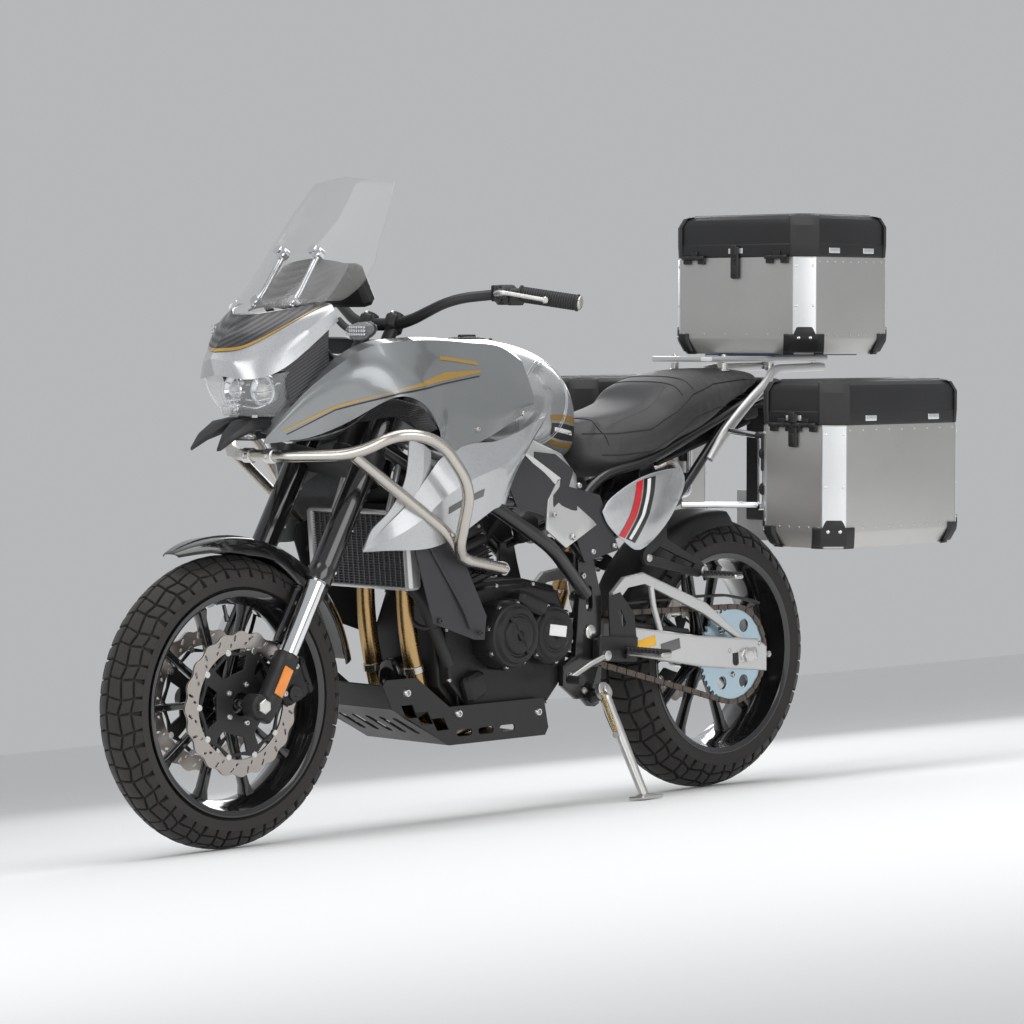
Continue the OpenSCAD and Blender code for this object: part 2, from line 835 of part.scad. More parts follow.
// Hugger over the front of the rear tyre, with the chain guard beside it
module rear_hugger() {
    inner = rear_tyre_r + 14;
    color(black) {
        at_rear_axle()
            rotate([90, 0, 0])
                intersection() {
                    rotate_extrude($fn = 96)
                        difference() {
                            translate([inner - 50, -90])
                                polygon([[0, 0], [0, 180], [36, 180], [54, 144], [54, 36], [36, 0]]);
                            translate([inner - 51, -86.5])
                                polygon([[0, 0], [0, 173], [36, 173], [51, 139], [51, 34], [36, 0]]);
                        }
                    translate([0, 0, -120])
                        linear_extrude(240)
                            polygon([[0, 0], [-40, 500], [300, 500], [420, 150]]);
                }
        translate([0, arm_y - brace_t / 2 - gap, 0])
            rotate([90, 0, 0])
                linear_extrude(26)
                    polygon([[-345, 446], [-345, 454], [-690, 455], [-800, 432], [-800, 424], [-690, 447]]);
    }
}

// ---------------------------------------------------------------- bodywork

function tank_rings(grow = 0) = [
    for (r = [[230, 148, 915, 1022], [180, 176, 812, 1030], [80, 184, 772, 1038], [-30, 160, 762, 1030],
        [-130, 120, 764, 1005], [-200, 92, 768, 965], [-235, 70, 776, 905]])
        ring(r[0] + (r[0] > 0 ? grow : -grow), r[1] + grow, r[2] - grow, r[3] + grow)];
module fuel_tank() {
    color(silver)
        difference() {
            skin(tank_rings());
            frame_tube_set(gap);
            rod(head_low, head_high, head_tube_r + gap);
            // Pockets for the ends of the upper clamp, which swing back as the bars turn
            fork_frame()
                translate([stem_x, 0, 0])
                    for (side = [-1, 1])
                        for (a = [0 : 8 : full_lock])
                            rotate([0, 0, side * a])
                                translate([clamp_offset, side * leg_y, upper_clamp_z - 30])
                                    cylinder(h = clamp_t + 60, r = fork_tube_r + clamp_wall + 6);
        }
}
fairing_outline = [
    [661, 60, 834], [585, 112, 936], [520, 150, 996], [464, 168, 1025], [380, 178, 1030], [235, 176, 1020],
    [190, 186, 960], [200, 200, 880], [250, 232, 800], [340, 245, 870], [443, 225, 921], [520, 152, 868],
    [590, 108, 836]];
module side_fairings() {
    color(silver)
        both_sides()
            difference() {
                panel(fairing_outline, [400, 216, 965], 14);
                skin(tank_rings(gap));
            }
}
shroud_outline = [
    [442, 222, 898], [345, 240, 862], [262, 228, 790], [207, 200, 744], [247, 188, 661], [343, 176, 612],
    [362, 176, 700]];
guard_outline = [
    [361, 187, 606], [355, 187, 643], [310, 187, 653], [214, 187, 564], [150, 182, 455], [151, 177, 404],
    [181, 177, 406], [305, 182, 447]];
module radiator_shrouds() {
    color(silver)
        both_sides() {
            panel(shroud_outline, [330, 226, 780], 12);
            panel([[380, 168, 800], [340, 168, 800], [285, 168, 515], [318, 168, 515]], [340, 168, 650], 10);
        }
    // Stone guards beside the radiator, each on a boss of its side strut
    color(dark)
        both_sides() {
            panel(guard_outline, [255, 189, 530], 6);
            rod([325, 162, 590], [325, 183, 590], 8);
        }
}
nose_upper = [[752, 0, 1000], [720, 62, 992], [655, 112, 1024], [560, 158, 1098],
    [552, 128, 1112], [612, 92, 1102], [655, 40, 1092], [664, 0, 1090]];
nose_lower = [[742, 0, 966], [712, 80, 958], [650, 118, 984], [546, 158, 1076],
    [540, 128, 1092], [600, 92, 1084], [642, 40, 1074], [650, 0, 1070]];
module nose_cowl() {
    color(silver)
        v_band(nose_upper, nose_lower);
}
// V-shaped band: outer edge along the first half of each list and inner edge along the second
module v_band(upper, lower) {
    both_sides()
        skin([for (i = [0 : 3]) [upper[i], upper[7 - i], lower[7 - i], lower[i]]]);
}
module beak() {
    color(black)
        both_sides()
            skin([
                [[640, 8, 880 - gap], [640, 58, 880 - gap], [640, 58, 858], [640, 8, 850]],
                [[672, 8, 880 - gap], [672, 40, 880 - gap], [672, 58, 856], [672, 8, 848]],
                [[720, 10, 862], [700, 72, 868], [700, 72, 846], [720, 10, 846]],
                [[772, 38, 818], [760, 50, 822], [760, 50, 812], [772, 38, 812]]]);
}
module headlight() {
    color([0.85, 0.87, 0.88])
        difference() {
            translate([680, -15, 950])
                cube([16, 30, 80]);
            translate([0, 0, -gap])
                v_band(nose_upper, nose_lower);
            translate([0, 0, 30])
                v_band(nose_upper, nose_lower);
        }
    color([0.85, 0.87, 0.88])
        skin([
            [[600, -105, 980], [600, 105, 980], [600, 60, 880], [600, -60, 880]],
            [[690, -92, 962], [690, 92, 962], [680, 40, 880], [680, -40, 880]],
            [[722, -50, 955], [722, 50, 955], [696, 24, 886], [696, -24, 886]]]);
}
function screen_row(x, z, w, sweep, drop = 12) = [
    for (j = [-4 : 4]) let (s = j / 4) [x - sweep * s * s, w * s, z - drop * abs(s)]];
screen_rows = [
    screen_row(670, 1091, 134, 100, -24), screen_row(614, 1136, 166, 82), screen_row(540, 1190, 178, 66),
    screen_row(490, 1250, 164, 52), screen_row(436, 1310, 148, 36), screen_row(384, 1376, 122, 24)];
// From the back of the screen to its front
screen_t = [3.5, 0, 2.6];
module windscreen() {
    color([0.8, 0.85, 0.88, 0.4])
        sheet(screen_rows, screen_t);
}
// Room for the screen and for what lies in front of it
module screen_room() {
    front = 10 * screen_t;
    sheet([for (r = screen_rows) [for (q = r) q + front]], front + screen_t + [gap, 0, gap]);
}
module screen_bracket() {
    color(black) {
        // Panel behind the screen
        skin([
            [[600, 70, 1100], [600, -70, 1100], [590, -70, 1096], [590, 70, 1096]],
            [[545, 108, 1112], [545, -108, 1112], [535, -108, 1108], [535, 108, 1108]],
            [[470, 104, 1196], [470, -104, 1196], [460, -104, 1192], [460, 104, 1192]]]);
        // Arms that carry the screen
        difference() {
            both_sides()
                rod([580, 58, 1106], [502, 54, 1222], 7);
            screen_room();
        }
        // Stays down to the steering head, and short ones back to the instruments
        both_sides()
            difference() {
                union() {
                    tube(bent([[556, 50, 1106], [470, 34, 1010], [326, 14, 902]], 30, 3), 8, 8);
                    rod([466, 60, 1193], [400, 60, 1150], 6);
                }
                rod(head_low, head_high, head_tube_r + gap);
                instrument_block(gap);
            }
    }
}
module instrument_block(grow = 0) {
    translate([392, 0, 1150])
        rotate([0, 28, 0])
            cube([40 + 2 * grow, 156 + 2 * grow, 96 + 2 * grow], center = true);
}
module instrument_panel() {
    color(black)
        instrument_block();
}
module turn_signals() {
    color([0.9, 0.7, 0.3]) {
        both_sides() {
            skin([
                [for (a = [0 : 45 : 315]) [535 + 14 * cos(a), 178, 1052 + 10 * sin(a)]],
                [for (a = [0 : 45 : 315]) [535 + 24 * cos(a), 205, 1055 + 17 * sin(a)]],
                [for (a = [0 : 45 : 315]) [535 + 22 * cos(a), 232, 1058 + 16 * sin(a)]],
                [for (a = [0 : 45 : 315]) [535 + 8 * cos(a), 248, 1060 + 6 * sin(a)]]]);
            difference() {
                rod([533, 184, 1053], [552, 150, 1083], 7);
                v_band(nose_upper, nose_lower);
                translate([0, 0, -gap])
                    v_band(nose_upper, nose_lower);
            }
            rod([-930, tail_half + gap, 892], [-930, 134, 890], 7);
            skin([for (k = [[130, 12], [146, 19], [164, 18], [178, 8]])
                [for (a = [0 : 45 : 315]) [-930 + k[1] * cos(a), k[0], 890 + 0.8 * k[1] * sin(a)]]]);
        }
    }
}
seat_rings = [
    ring(-238, 62, 745, 838), ring(-262, 96, 728, 850), ring(-330, 130, 722, 868), ring(-420, 148, 750, 888),
    ring(-500, 152, 782, 930), ring(-600, 150, 812, 962), ring(-720, 128, 876, 968), ring(-820, 98, 905, 962),
    ring(-852, 70, 915, 948)];
module seat() {
    color([0.16, 0.16, 0.17])
        difference() {
            skin(seat_rings);
            skin(tank_rings(gap));
            for (p = subframe_paths)
                both_sides()
                    tube(bent(p, 60, 3), subframe_tube_r + gap);
            for (x = [-430, -780])
                translate([x, 0, x == -430 ? cross_z : 900])
                    rotate([90, 0, 0])
                        cylinder(h = 240, r = 9 + gap, center = true);
        }
}
side_outline = [
    [-221, 168, 661], [-252, 168, 692], [-350, 164, 733], [-466, 154, 749], [-504, 150, 735], [-498, 152, 695],
    [-434, 160, 624], [-345, 166, 572], [-284, 168, 597], [-240, 168, 631]];
module side_panels() {
    color([0.85, 0.86, 0.87])
        both_sides()
            panel(side_outline, [-360, 184, 665], 12);
}
knee_outline = [[-41, 176, 756], [-140, 160, 745], [-205, 158, 700], [-236, 156, 640], [-290, 154, 575], [-165, 164, 552],
    [-110, 170, 640]];
module knee_panels() {
    color(dark)
        both_sides()
            difference() {
                panel(knee_outline, [-150, 174, 670], 10);
                panel(side_outline, [-360, 184, 665], 13);
            }
}

// ---------------------------------------------------------------- rack, cases and tail

rail_path = [[-600, 140, 765], [-640, 146, 820], [-722, 150, 893], [-800, 140, 938], [-862, 100, 966], [-1060, 82, 970]];
module luggage_rack() {
    color(silver) {
        both_sides()
            tube(bent(rail_path, 40, 3), 11);
        translate([-1080, -95, 981 + gap])
            cube([440, 190, 19 - 2 * gap]);
    }
}
tail_half = 90 - subframe_tube_r - gap;
module tail_unit() {
    color(black) {
        translate([-960, -tail_half, 872])
            cube([960 - 853, 2 * tail_half, 74]);
        translate([-945, -50, 600])
            cube([8, 100, 280]);
        translate([-951, -85, 560])
            cube([7, 170, 120]);
    }
}
function octagon(x, y, z, l, w, c, d = 0) = [
    [x + d, y + w - c, z], [x + c, y + w - d, z], [x + l - c, y + w - d, z], [x + l - d, y + w - c, z],
    [x + l - d, y + c, z], [x + l - c, y + d, z], [x + c, y + d, z], [x + d, y + c, z]];
bevel_h = 36;
bevel_in = 14;
// Hinges ahead of the cases' front faces: outer knuckles and pin on the case, middle knuckle on the lid
hinge_out = 6.5;
hinge_inset = 84;
knuckle_r = 5;
knuckle_l = 22;
leaf_h = 14;
hinge_pin_r = 2.5;
module at_hinges(x, y, z, l, w) {
    for (side = [-1, 1])
        translate([x + l + hinge_out, y + w / 2 + side * (w / 2 - hinge_inset), z])
            rotate([90, 0, 0])
                children();
}
module knuckle() {
    cylinder(h = knuckle_l, r = knuckle_r, center = true);
}
module case_hinges(x, y, z, l, w) {
    at_hinges(x, y, z, l, w) {
        cylinder(h = 3 * knuckle_l, r = hinge_pin_r, center = true);
        for (k = [-1, 1])
            translate([0, 0, k * (knuckle_l + gap)]) {
                knuckle();
                translate([-hinge_out - 1, -leaf_h, -knuckle_l / 2])
                    cube([hinge_out + 1, leaf_h, knuckle_l]);
            }
    }
}
module lid_hinges(x, y, z, l, w) {
    difference() {
        at_hinges(x, y, z, l, w) {
            knuckle();
            translate([-hinge_out - 1, gap, -knuckle_l / 2])
                cube([hinge_out + 1, leaf_h, knuckle_l]);
        }
        at_hinges(x, y, z, l, w)
            cylinder(h = 3 * knuckle_l, r = hinge_pin_r + running_clearance, center = true);
    }
}
module case_body(x, y, z, l, w, h) {
    difference() {
        skin([
            octagon(x, y, z, l, w, case_chamfer + 6, bevel_in), octagon(x, y, z + bevel_h, l, w, case_chamfer),
            octagon(x, y, z + h, l, w, case_chamfer)]);
        skin([
            octagon(x, y, z + case_wall, l, w, case_chamfer + 8, bevel_in + case_wall),
            octagon(x, y, z + bevel_h, l, w, case_chamfer + 2, case_wall),
            octagon(x, y, z + h + 1, l, w, case_chamfer + 2, case_wall)]);
    }
    case_hinges(x, y, z + h, l, w);
}
module case_lid(x, y, z, l, w) {
    difference() {
        skin([
            octagon(x, y, z + gap, l, w, case_chamfer), octagon(x, y, z + lid_h - 22, l, w, case_chamfer),
            octagon(x, y, z + lid_h, l, w, case_chamfer + 8, 20)]);
        skin([
            octagon(x, y, z - 1, l, w, case_chamfer + 3, 6), octagon(x, y, z + lid_h - 26, l, w, case_chamfer + 3, 6),
            octagon(x, y, z + lid_h - 5, l, w, case_chamfer + 9, 24)]);
    }
    lid_hinges(x, y, z, l, w);
}
module top_case() {
    color(alu)
        case_body(top_case_x, -top_case_w / 2, top_case_z, top_case_l, top_case_w, top_case_h);
}
module top_case_lid() {
    color(black)
        case_lid(top_case_x, -top_case_w / 2, top_case_z + top_case_h, top_case_l, top_case_w);
}
module panniers() {
    color(alu)
        both_sides()
            case_body(pannier_x, pannier_y, pannier_z, pannier_l, pannier_w, pannier_h);
}
module left_pannier_lid() {
    color(black)
        case_lid(pannier_x, pannier_y, pannier_z + pannier_h, pannier_l, pannier_w);
}
module right_pannier_lid() {
    color(black)
        mirror([0, 1, 0])
            case_lid(pannier_x, pannier_y, pannier_z + pannier_h, pannier_l, pannier_w);
}
frame_y = pannier_y - pannier_tube_r - 2 * gap - 6;
module pannier_frames() {
    color(steel)
        both_sides() {
            tube(bent([[-640, frame_y, 660], [-960, frame_y, 660], [-960, frame_y, 820], [-640, frame_y, 820]],
                24, 3), pannier_tube_r, 10);
            rod([-652, frame_y, 660], [-652, frame_y, 820], pannier_tube_r - 1);
            rod([-650, frame_y - 4, 820], [-648, 157.8, 828], pannier_tube_r - 1);
            for (x = [-662, -960])
                translate([x, frame_y + pannier_tube_r - 2, 740])
                    cube([20, 6 + 2 + gap, 86]);
        }
    // Lower stays: to the subframe on the left, under the muffler to the passenger's hanger on the right
    color(steel) {
        rod([-648, frame_y, 664], [-505, subframe_y + subframe_tube_r + 8, 666], pannier_tube_r - 1);
        tube(bent([[-652, -frame_y, 660], [-642, 4 - frame_y, 588], [-577, -154, 522]], 20, 3), pannier_tube_r - 1, 10);
    }
}

// ---------------------------------------------------------------- stand and foot controls

stand_foot = [-230, 290, 0];
foot_h = stand_foot[1] * tan(lean);
module side_stand() {
    foot = [stand_foot[0], stand_foot[1], foot_h];
    color(alu)
        difference() {
            union() {
                tube([stand_pivot + [0, 22 * sin(stand_tilt), -22 * cos(stand_tilt)], foot + [0, -4, 8]], 12);
                at_stand_pivot() {
                    cylinder(h = stand_hub_w, r = 20, center = true);
                    translate([-12, 0, -stand_hub_w / 2])
                        cube([24, 40, stand_hub_w]);
                }
                translate(foot)
                    rotate([lean, 0, 0])
                        translate([-38, -24, 0])
                            cube([70, 46, 10]);
            }
            at_stand_pivot()
                cylinder(h = 60, r = stand_pin_r + running_clearance, center = true);
            translate(foot)
                rotate([lean, 0, 0])
                    translate([-200, -200, -100])
                        cube([400, 400, 100]);
        }
}
peg_bracket_y = 156;
module footpegs() {
    color(dark)
        both_sides() {
            // Rider's peg and its bracket on the frame plate
            translate([-340, 147, 340])
                cube([40, 125, 18]);
            translate([-350, 146, 325])
                cube([124, peg_bracket_y - 146, 60]);
            translate([-256, plate_y + plate_t + gap, 330])
                cube([30, peg_bracket_y - plate_y - plate_t - 1, 55]);
            // Passenger's hanger and peg
            translate([0, 146, 0])
                rotate([90, 0, 0])
                    linear_extrude(10)
                        difference() {
                            polygon([[-448, 668], [-425, 668], [-415, 610], [-375, 560], [-385, 535], [-560, 500],
                                [-590, 508], [-570, 535], [-455, 590]]);
                            polygon([[-430, 575], [-400, 556], [-540, 520], [-548, 530]]);
                        }
            translate([-438, subframe_y + subframe_tube_r + gap, 655])
                rotate([-90, 0, 0])
                    cylinder(h = 6, r = 9);
            translate([-590, 140, 500])
                cube([34, 120, 16]);
        }
}
module foot_levers() {
    color(alu)
        for (s = [-1, 1])
            translate([0, s * (peg_bracket_y + 6 + gap), 0]) {
                rod([-240, 0, 345], [-120, 0, 300], 6);
                rod([-120, 0, 300], [-116, s * 48, 300], 9);
            }
}

// ---------------------------------------------------------------- the parked bike

// Middle of the box around the leaning bike
box_x = (front_axle_x + front_tyre_r + top_case_x) / 2;
box_y = 106;
module parked() {
    translate([-box_x, -box_y, 0])
        rotate([-lean, 0, 0])
            children();
}
parked() main_frame();
parked() subframe();
parked() engine_block();
parked() cylinder_head();
parked() engine_covers();
parked() radiator();
parked() exhaust_headers();
parked() muffler();
parked() skid_plate();
parked() crash_bars();
parked() fuel_tank();
parked() side_fairings();
parked() radiator_shrouds();
parked() nose_cowl();
parked() beak();
parked() headlight();
parked() windscreen();
parked() screen_bracket();
parked() instrument_panel();
parked() turn_signals();
parked() seat();
parked() side_panels();
parked() knee_panels();
parked() luggage_rack();
parked() tail_unit();
parked() pannier_frames();
parked() top_case();
parked() panniers();
parked() swingarm();
parked() rear_shock();
parked() rear_brake();
parked() chain();
parked() rear_hugger();
parked() footpegs();
parked() foot_levers();
parked() handlebar();
parked() bar_controls();
parked() fork_clamps();
parked() fork_legs();
parked() front_fender();
parked() front_calipers();
parked() brake_hoses();
parked() front_rim();
parked() front_tyre();
parked() front_discs();
parked() rear_rim();
parked() rear_tyre();
parked() rear_sprocket();
parked() side_stand();
parked() top_case_lid();
parked() left_pannier_lid();
parked() right_pannier_lid();
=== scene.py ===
# %% [markdown]
# # A parked adventure motorcycle
# This lesson dresses a finished CAD model of a touring motorcycle. The CAD model holds the
# sizes, joints and mounts. Here each piece gets the shape and finish that the eye expects:
# knobbly tyres, painted panels, brushed cases, a sewn seat. Nothing is moved from its CAD place.

# %% Load the frame
import json
import math
import bmesh
import bpy
from mathutils import Matrix, Vector
from mathutils.bvhtree import BVHTree


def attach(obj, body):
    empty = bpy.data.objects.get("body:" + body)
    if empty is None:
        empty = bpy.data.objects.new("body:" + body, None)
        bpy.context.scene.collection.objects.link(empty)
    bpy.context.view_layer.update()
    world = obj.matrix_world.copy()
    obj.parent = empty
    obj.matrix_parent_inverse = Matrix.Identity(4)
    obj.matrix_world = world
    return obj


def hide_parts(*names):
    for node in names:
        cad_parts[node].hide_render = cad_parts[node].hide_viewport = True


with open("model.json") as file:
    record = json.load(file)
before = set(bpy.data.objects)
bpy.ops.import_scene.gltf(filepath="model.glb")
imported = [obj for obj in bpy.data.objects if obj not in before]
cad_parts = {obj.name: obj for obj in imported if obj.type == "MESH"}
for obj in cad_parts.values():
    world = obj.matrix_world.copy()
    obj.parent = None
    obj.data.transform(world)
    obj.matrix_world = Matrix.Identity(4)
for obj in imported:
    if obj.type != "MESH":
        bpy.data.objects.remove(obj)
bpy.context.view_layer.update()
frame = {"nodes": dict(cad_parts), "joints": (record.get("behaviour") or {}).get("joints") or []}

# %% [markdown]
# ## The bike's own axes
# The motorcycle leans on its side stand, so its own "up" isn't the floor's "up". Drawing a
# leaning shape is awkward. Instead, every piece is drawn upright in millimetres, and one
# matrix leans it. The wheel and steering joints give that matrix, so it follows the frame.

# %% The bike matrix and the fork matrix
joints = {joint["name"]: joint for joint in frame["joints"]}
front_hub = Vector(joints["front_wheel_spin"]["pos_m"])
rear_hub = Vector(joints["rear_wheel_spin"]["pos_m"])
fore = Vector((1, 0, 0))
left = Vector(joints["rear_wheel_spin"]["axis"]).normalized()
up = fore.cross(left)
steering_axis = Vector(joints["steering_turn"]["axis"]).normalized()

MM = 0.001
half_base = (front_hub.x - rear_hub.x) / 2
front_z = front_hub.z / up.z / MM
rear_z = rear_hub.z / up.z / MM
origin = front_hub - up * front_z * MM - fore * half_base
BIKE = Matrix.Translation(origin) @ Matrix((fore, left, up)).transposed().to_4x4() @ Matrix.Scale(MM, 4)
front_x = half_base / MM
rear_x = -front_x
rake = up.angle(steering_axis)
FORK = BIKE @ Matrix.Translation((front_x, 0, front_z)) @ Matrix.Rotation(-rake, 4, "Y")
STRAIGHT = BIKE.inverted()
print(f"wheelbase {2 * front_x:.0f} mm, rake {math.degrees(rake):.1f} degrees")


def span(node):
    """Lowest and highest corner of a CAD node in the bike's own axes, in millimetres."""
    corners = [STRAIGHT @ vertex.co for vertex in frame["nodes"][node].data.vertices]
    return [Vector([pick(c[k] for c in corners) for k in range(3)]) for pick in (min, max)]


# %% [markdown]
# ## Gathering geometry
# A motorcycle has hundreds of small pieces: bolts, fins, links, spokes. One Blender object for
# each would be slow and hard to follow. A `Shape` gathers many simple forms in one mesh. It knows
# four ways to make a form: a skin over rings, a bent tube, a turned profile and a rounded block.

# %% The Shape class
def basis(along):
    """Two unit vectors square to a direction and to each other."""
    along = Vector(along).normalized()
    guess = Vector((0, 0, 1)) if abs(along.z) < 0.9 else Vector((1, 0, 0))
    first = guess.cross(along).normalized()
    return along, first, along.cross(first)


def rounded(points, radius, steps=6):
    """The same path with each inner corner replaced by a short curve."""
    points = [Vector(p) for p in points]
    path = [points[0]]
    for before, corner, after in zip(points, points[1:], points[2:]):
        cut = min(radius, 0.48 * (before - corner).length, 0.48 * (after - corner).length)
        start = corner + (before - corner).normalized() * cut
        end = corner + (after - corner).normalized() * cut
        for k in range(steps + 1):
            t = k / steps
            path.append(start.lerp(corner, t).lerp(corner.lerp(end, t), t))
    return path + [points[-1]]


class Shape:
    """Geometry in millimetres, gathered from simple forms."""

    def __init__(self):
        self.points = []
        self.faces = []

    def skin(self, rings, caps=True, loop=False):
        """A surface over rings that all have the same number of points."""
        start = len(self.points)
        count = len(rings[0])
        for ring in rings:
            self.points.extend(Vector(p) for p in ring)
        pairs = list(range(len(rings) - 1)) + ([len(rings) - 1] if loop else [])
        for i in pairs:
            for j in range(count):
                a = start + i * count + j
                b = start + i * count + (j + 1) % count
                step = count if i < len(rings) - 1 else -i * count
                self.faces.append((a, b, b + step, a + step))
        if caps and not loop:
            self.faces.append(tuple(range(start + count - 1, start - 1, -1)))
            self.faces.append(tuple(range(start + (len(rings) - 1) * count, start + len(rings) * count)))
        return self

    def tube(self, points, radius, bend=0, sides=18, loop=False):
        """A round tube along a path; radius may be one number or one per point."""
        path = rounded(points, bend) if bend else [Vector(p) for p in points]
        radii = radius if isinstance(radius, list) else [radius] * len(path)
        rings = []
        first = None
        for i, point in enumerate(path):
            before = path[i - 1] if i or loop else path[0]
            after = path[(i + 1) % len(path)] if i < len(path) - 1 or loop else path[-1]
            along = (after - before).normalized()
            if first is None:
                first = basis(along)[1]
            first = (first - along * first.dot(along)).normalized()
            second = along.cross(first)
            turn = [2 * math.pi * j / sides for j in range(sides)]
            rings.append([point + radii[i] * (math.cos(a) * first + math.sin(a) * second) for a in turn])
        return self.skin(rings, loop=loop)

    def turned(self, profile, start, along, sides=40):
        """A lathe shape: profile is a list of (distance along, radius)."""
        axis, first, second = basis(along)
        start = Vector(start)
        rings = []
        for distance, radius in profile:
            turn = [2 * math.pi * j / sides for j in range(sides)]
            rings.append([start + axis * distance + max(radius,
                                                        0.01) * (math.cos(a) * first + math.sin(a) * second)
                          for a in turn])
        return self.skin(rings)

    def rod(self, a, b, radius, sides=20):
        """A straight round bar with slightly broken edges."""
        length = (Vector(b) - Vector(a)).length
        edge = min(1.0, radius * 0.2, length * 0.2)
        profile = [(0, radius - edge), (edge, radius), (length - edge, radius), (length, radius - edge)]
        return self.turned(profile, a, Vector(b) - Vector(a), sides)

    def block(self, centre, size, turn=(0, 0, 0), edge=2.0):
        """A box with chamfered edges, turned about X, Y and Z in degrees."""
        place = Matrix.Translation(centre)
        for angle, name in zip(turn, "XYZ"):
            place = place @ Matrix.Rotation(math.radians(angle), 4, name)
        x, y, z = (s / 2 for s in size)
        e = min(edge, x * 0.6, y * 0.6, z * 0.6)

        def ring(half_x, half_y, height):
            corners = [(half_x, half_y - e), (half_x - e, half_y), (e - half_x, half_y), (-half_x,
                half_y - e),
                       (-half_x, e - half_y), (e - half_x, -half_y), (half_x - e, -half_y), (half_x,
                           e - half_y)]
            return [place @ Vector((p, q, height)) for p, q in corners]
        return self.skin([ring(x - e * 0.7, y - e * 0.7, -z), ring(x, y, e - z), ring(x, y, z - e),
                          ring(x - e * 0.7, y - e * 0.7, z)])

    def bolt(self, at, along, radius, hollow=True):
        """A button-head screw standing on a surface."""
        h = radius * 0.75
        profile = [(-1, radius), (h * 0.35, radius), (h, radius * 0.72)]
        if hollow:
            profile += [(h, radius * 0.45), (h * 0.25, radius * 0.42)]
        return self.turned(profile, at, along, 14)

    def mirrored(self):
        """Adds the same forms on the other side of the bike."""
        start = len(self.points)
        self.points.extend(Vector((p.x, -p.y, p.z)) for p in self.points[:start])
        self.faces.extend([tuple(i + start for i in reversed(face)) for face in self.faces])
        return self


# %% [markdown]
# ## From a shape to a piece
# A piece needs more than geometry: a finish, a body to ride on, and often a softened edge.
# `make` does all of that in one place. Bevels and subdivision are modifiers, so they are applied
# at once by reading the evaluated mesh back, and what is left is a plain mesh.

# %% Making and finishing a piece
made_pieces = {}


def settle(piece):
    """Applies every modifier on a piece and keeps its materials."""
    bpy.context.view_layer.update()
    graph = bpy.context.evaluated_depsgraph_get()
    mesh = bpy.data.meshes.new_from_object(piece.evaluated_get(graph), depsgraph=graph)
    piece.modifiers.clear()
    old = piece.data
    piece.data = mesh
    bpy.data.meshes.remove(old)
    return piece


def shade(piece, degrees):
    """Smooth shading, with edges sharper than the angle kept sharp."""
    mesh = piece.data
    mesh.polygons.foreach_set("use_smooth", [True] * len(mesh.polygons))
    work = bmesh.new()
    work.from_mesh(mesh)
    for edge in work.edges:
        edge.smooth = len(edge.link_faces) == 2 and edge.calc_face_angle(0) < math.radians(degrees)
    work.to_mesh(mesh)
    work.free()
    return piece


def make(name, shape, material, body, replaces=(), space=BIKE, bevel=0, divide=0, thick=0, sharp=35,
         outward=True):
    """Turns a Shape into a finished piece that rides on a body."""
    mesh = bpy.data.meshes.new(name)
    mesh.from_pydata([space @ p for p in shape.points], [], shape.faces)
    work = bmesh.new()
    work.from_mesh(mesh)
    if outward:
        bmesh.ops.recalc_face_normals(work, faces=work.faces)
    work.to_mesh(mesh)
    work.free()
    piece = bpy.data.objects.new(name, mesh)
    bpy.context.scene.collection.objects.link(piece)
    if divide:
        modifier = piece.modifiers.new("smooth", "SUBSURF")
        modifier.levels = modifier.render_levels = divide
    if thick:
        modifier = piece.modifiers.new("thick", "SOLIDIFY")
        modifier.thickness = thick * MM
        modifier.offset = -1
        modifier.use_even_offset = False
    if bevel:
        modifier = piece.modifiers.new("bevel", "BEVEL")
        modifier.width = bevel * MM
        modifier.segments = 2
        modifier.limit_method = "ANGLE"
        modifier.angle_limit = math.radians(32)
    if divide or thick or bevel:
        settle(piece)
    shade(piece, sharp)
    return finish_piece(piece, material, body, replaces)


def finish_piece(piece, material, body, replaces=()):
    """Gives a piece its finish, its body and the CAD nodes that it stands for."""
    piece.data.materials.clear()
    piece.data.materials.append(material)
    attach(piece, body)
    if replaces:
        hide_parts(*([replaces] if isinstance(replaces, str) else replaces))
    made_pieces[piece.name] = piece
    return piece


def plate(outlines, thickness, place, bevel=0.6):
    """A flat sheet with holes: the first outline is its edge, the others are cut out."""
    curve = bpy.data.curves.new("plate", "CURVE")
    curve.dimensions = "2D"
    curve.fill_mode = "BOTH"
    curve.extrude = thickness / 2 - bevel
    curve.bevel_depth = bevel
    curve.bevel_resolution = 1
    curve.offset = -bevel
    for outline in outlines:
        spline = curve.splines.new("POLY")
        spline.points.add(len(outline) - 1)
        for point, (x, y) in zip(spline.points, outline):
            point.co = (x, y, 0, 1)
        spline.use_cyclic_u = True
    holder = bpy.data.objects.new("plate", curve)
    bpy.context.scene.collection.objects.link(holder)
    bpy.context.view_layer.update()
    mesh = bpy.data.meshes.new_from_object(holder)
    bpy.data.objects.remove(holder)
    made = Shape()
    made.points = [place @ vertex.co for vertex in mesh.vertices]
    made.faces = [tuple(face.vertices) for face in mesh.polygons]
    bpy.data.meshes.remove(mesh)
    return made


def join(*shapes):
    """Several shapes as one."""
    total = Shape()
    for shape in shapes:
        start = len(total.points)
        total.points.extend(shape.points)
        total.faces.extend(tuple(i + start for i in face) for face in shape.faces)
    return total


def circle(radius, count=48, x=0, y=0, wave=0, lobes=0):
    """Points round a circle, whose edge may rise and fall in lobes."""
    turn = [2 * math.pi * i / count for i in range(count)]
    return [(x + (radius + wave * math.cos(lobes * a)) * math.cos(a),
             y + (radius + wave * math.cos(lobes * a)) * math.sin(a)) for a in turn]


SIDEWAYS = Matrix.Rotation(math.radians(90), 4, "X")


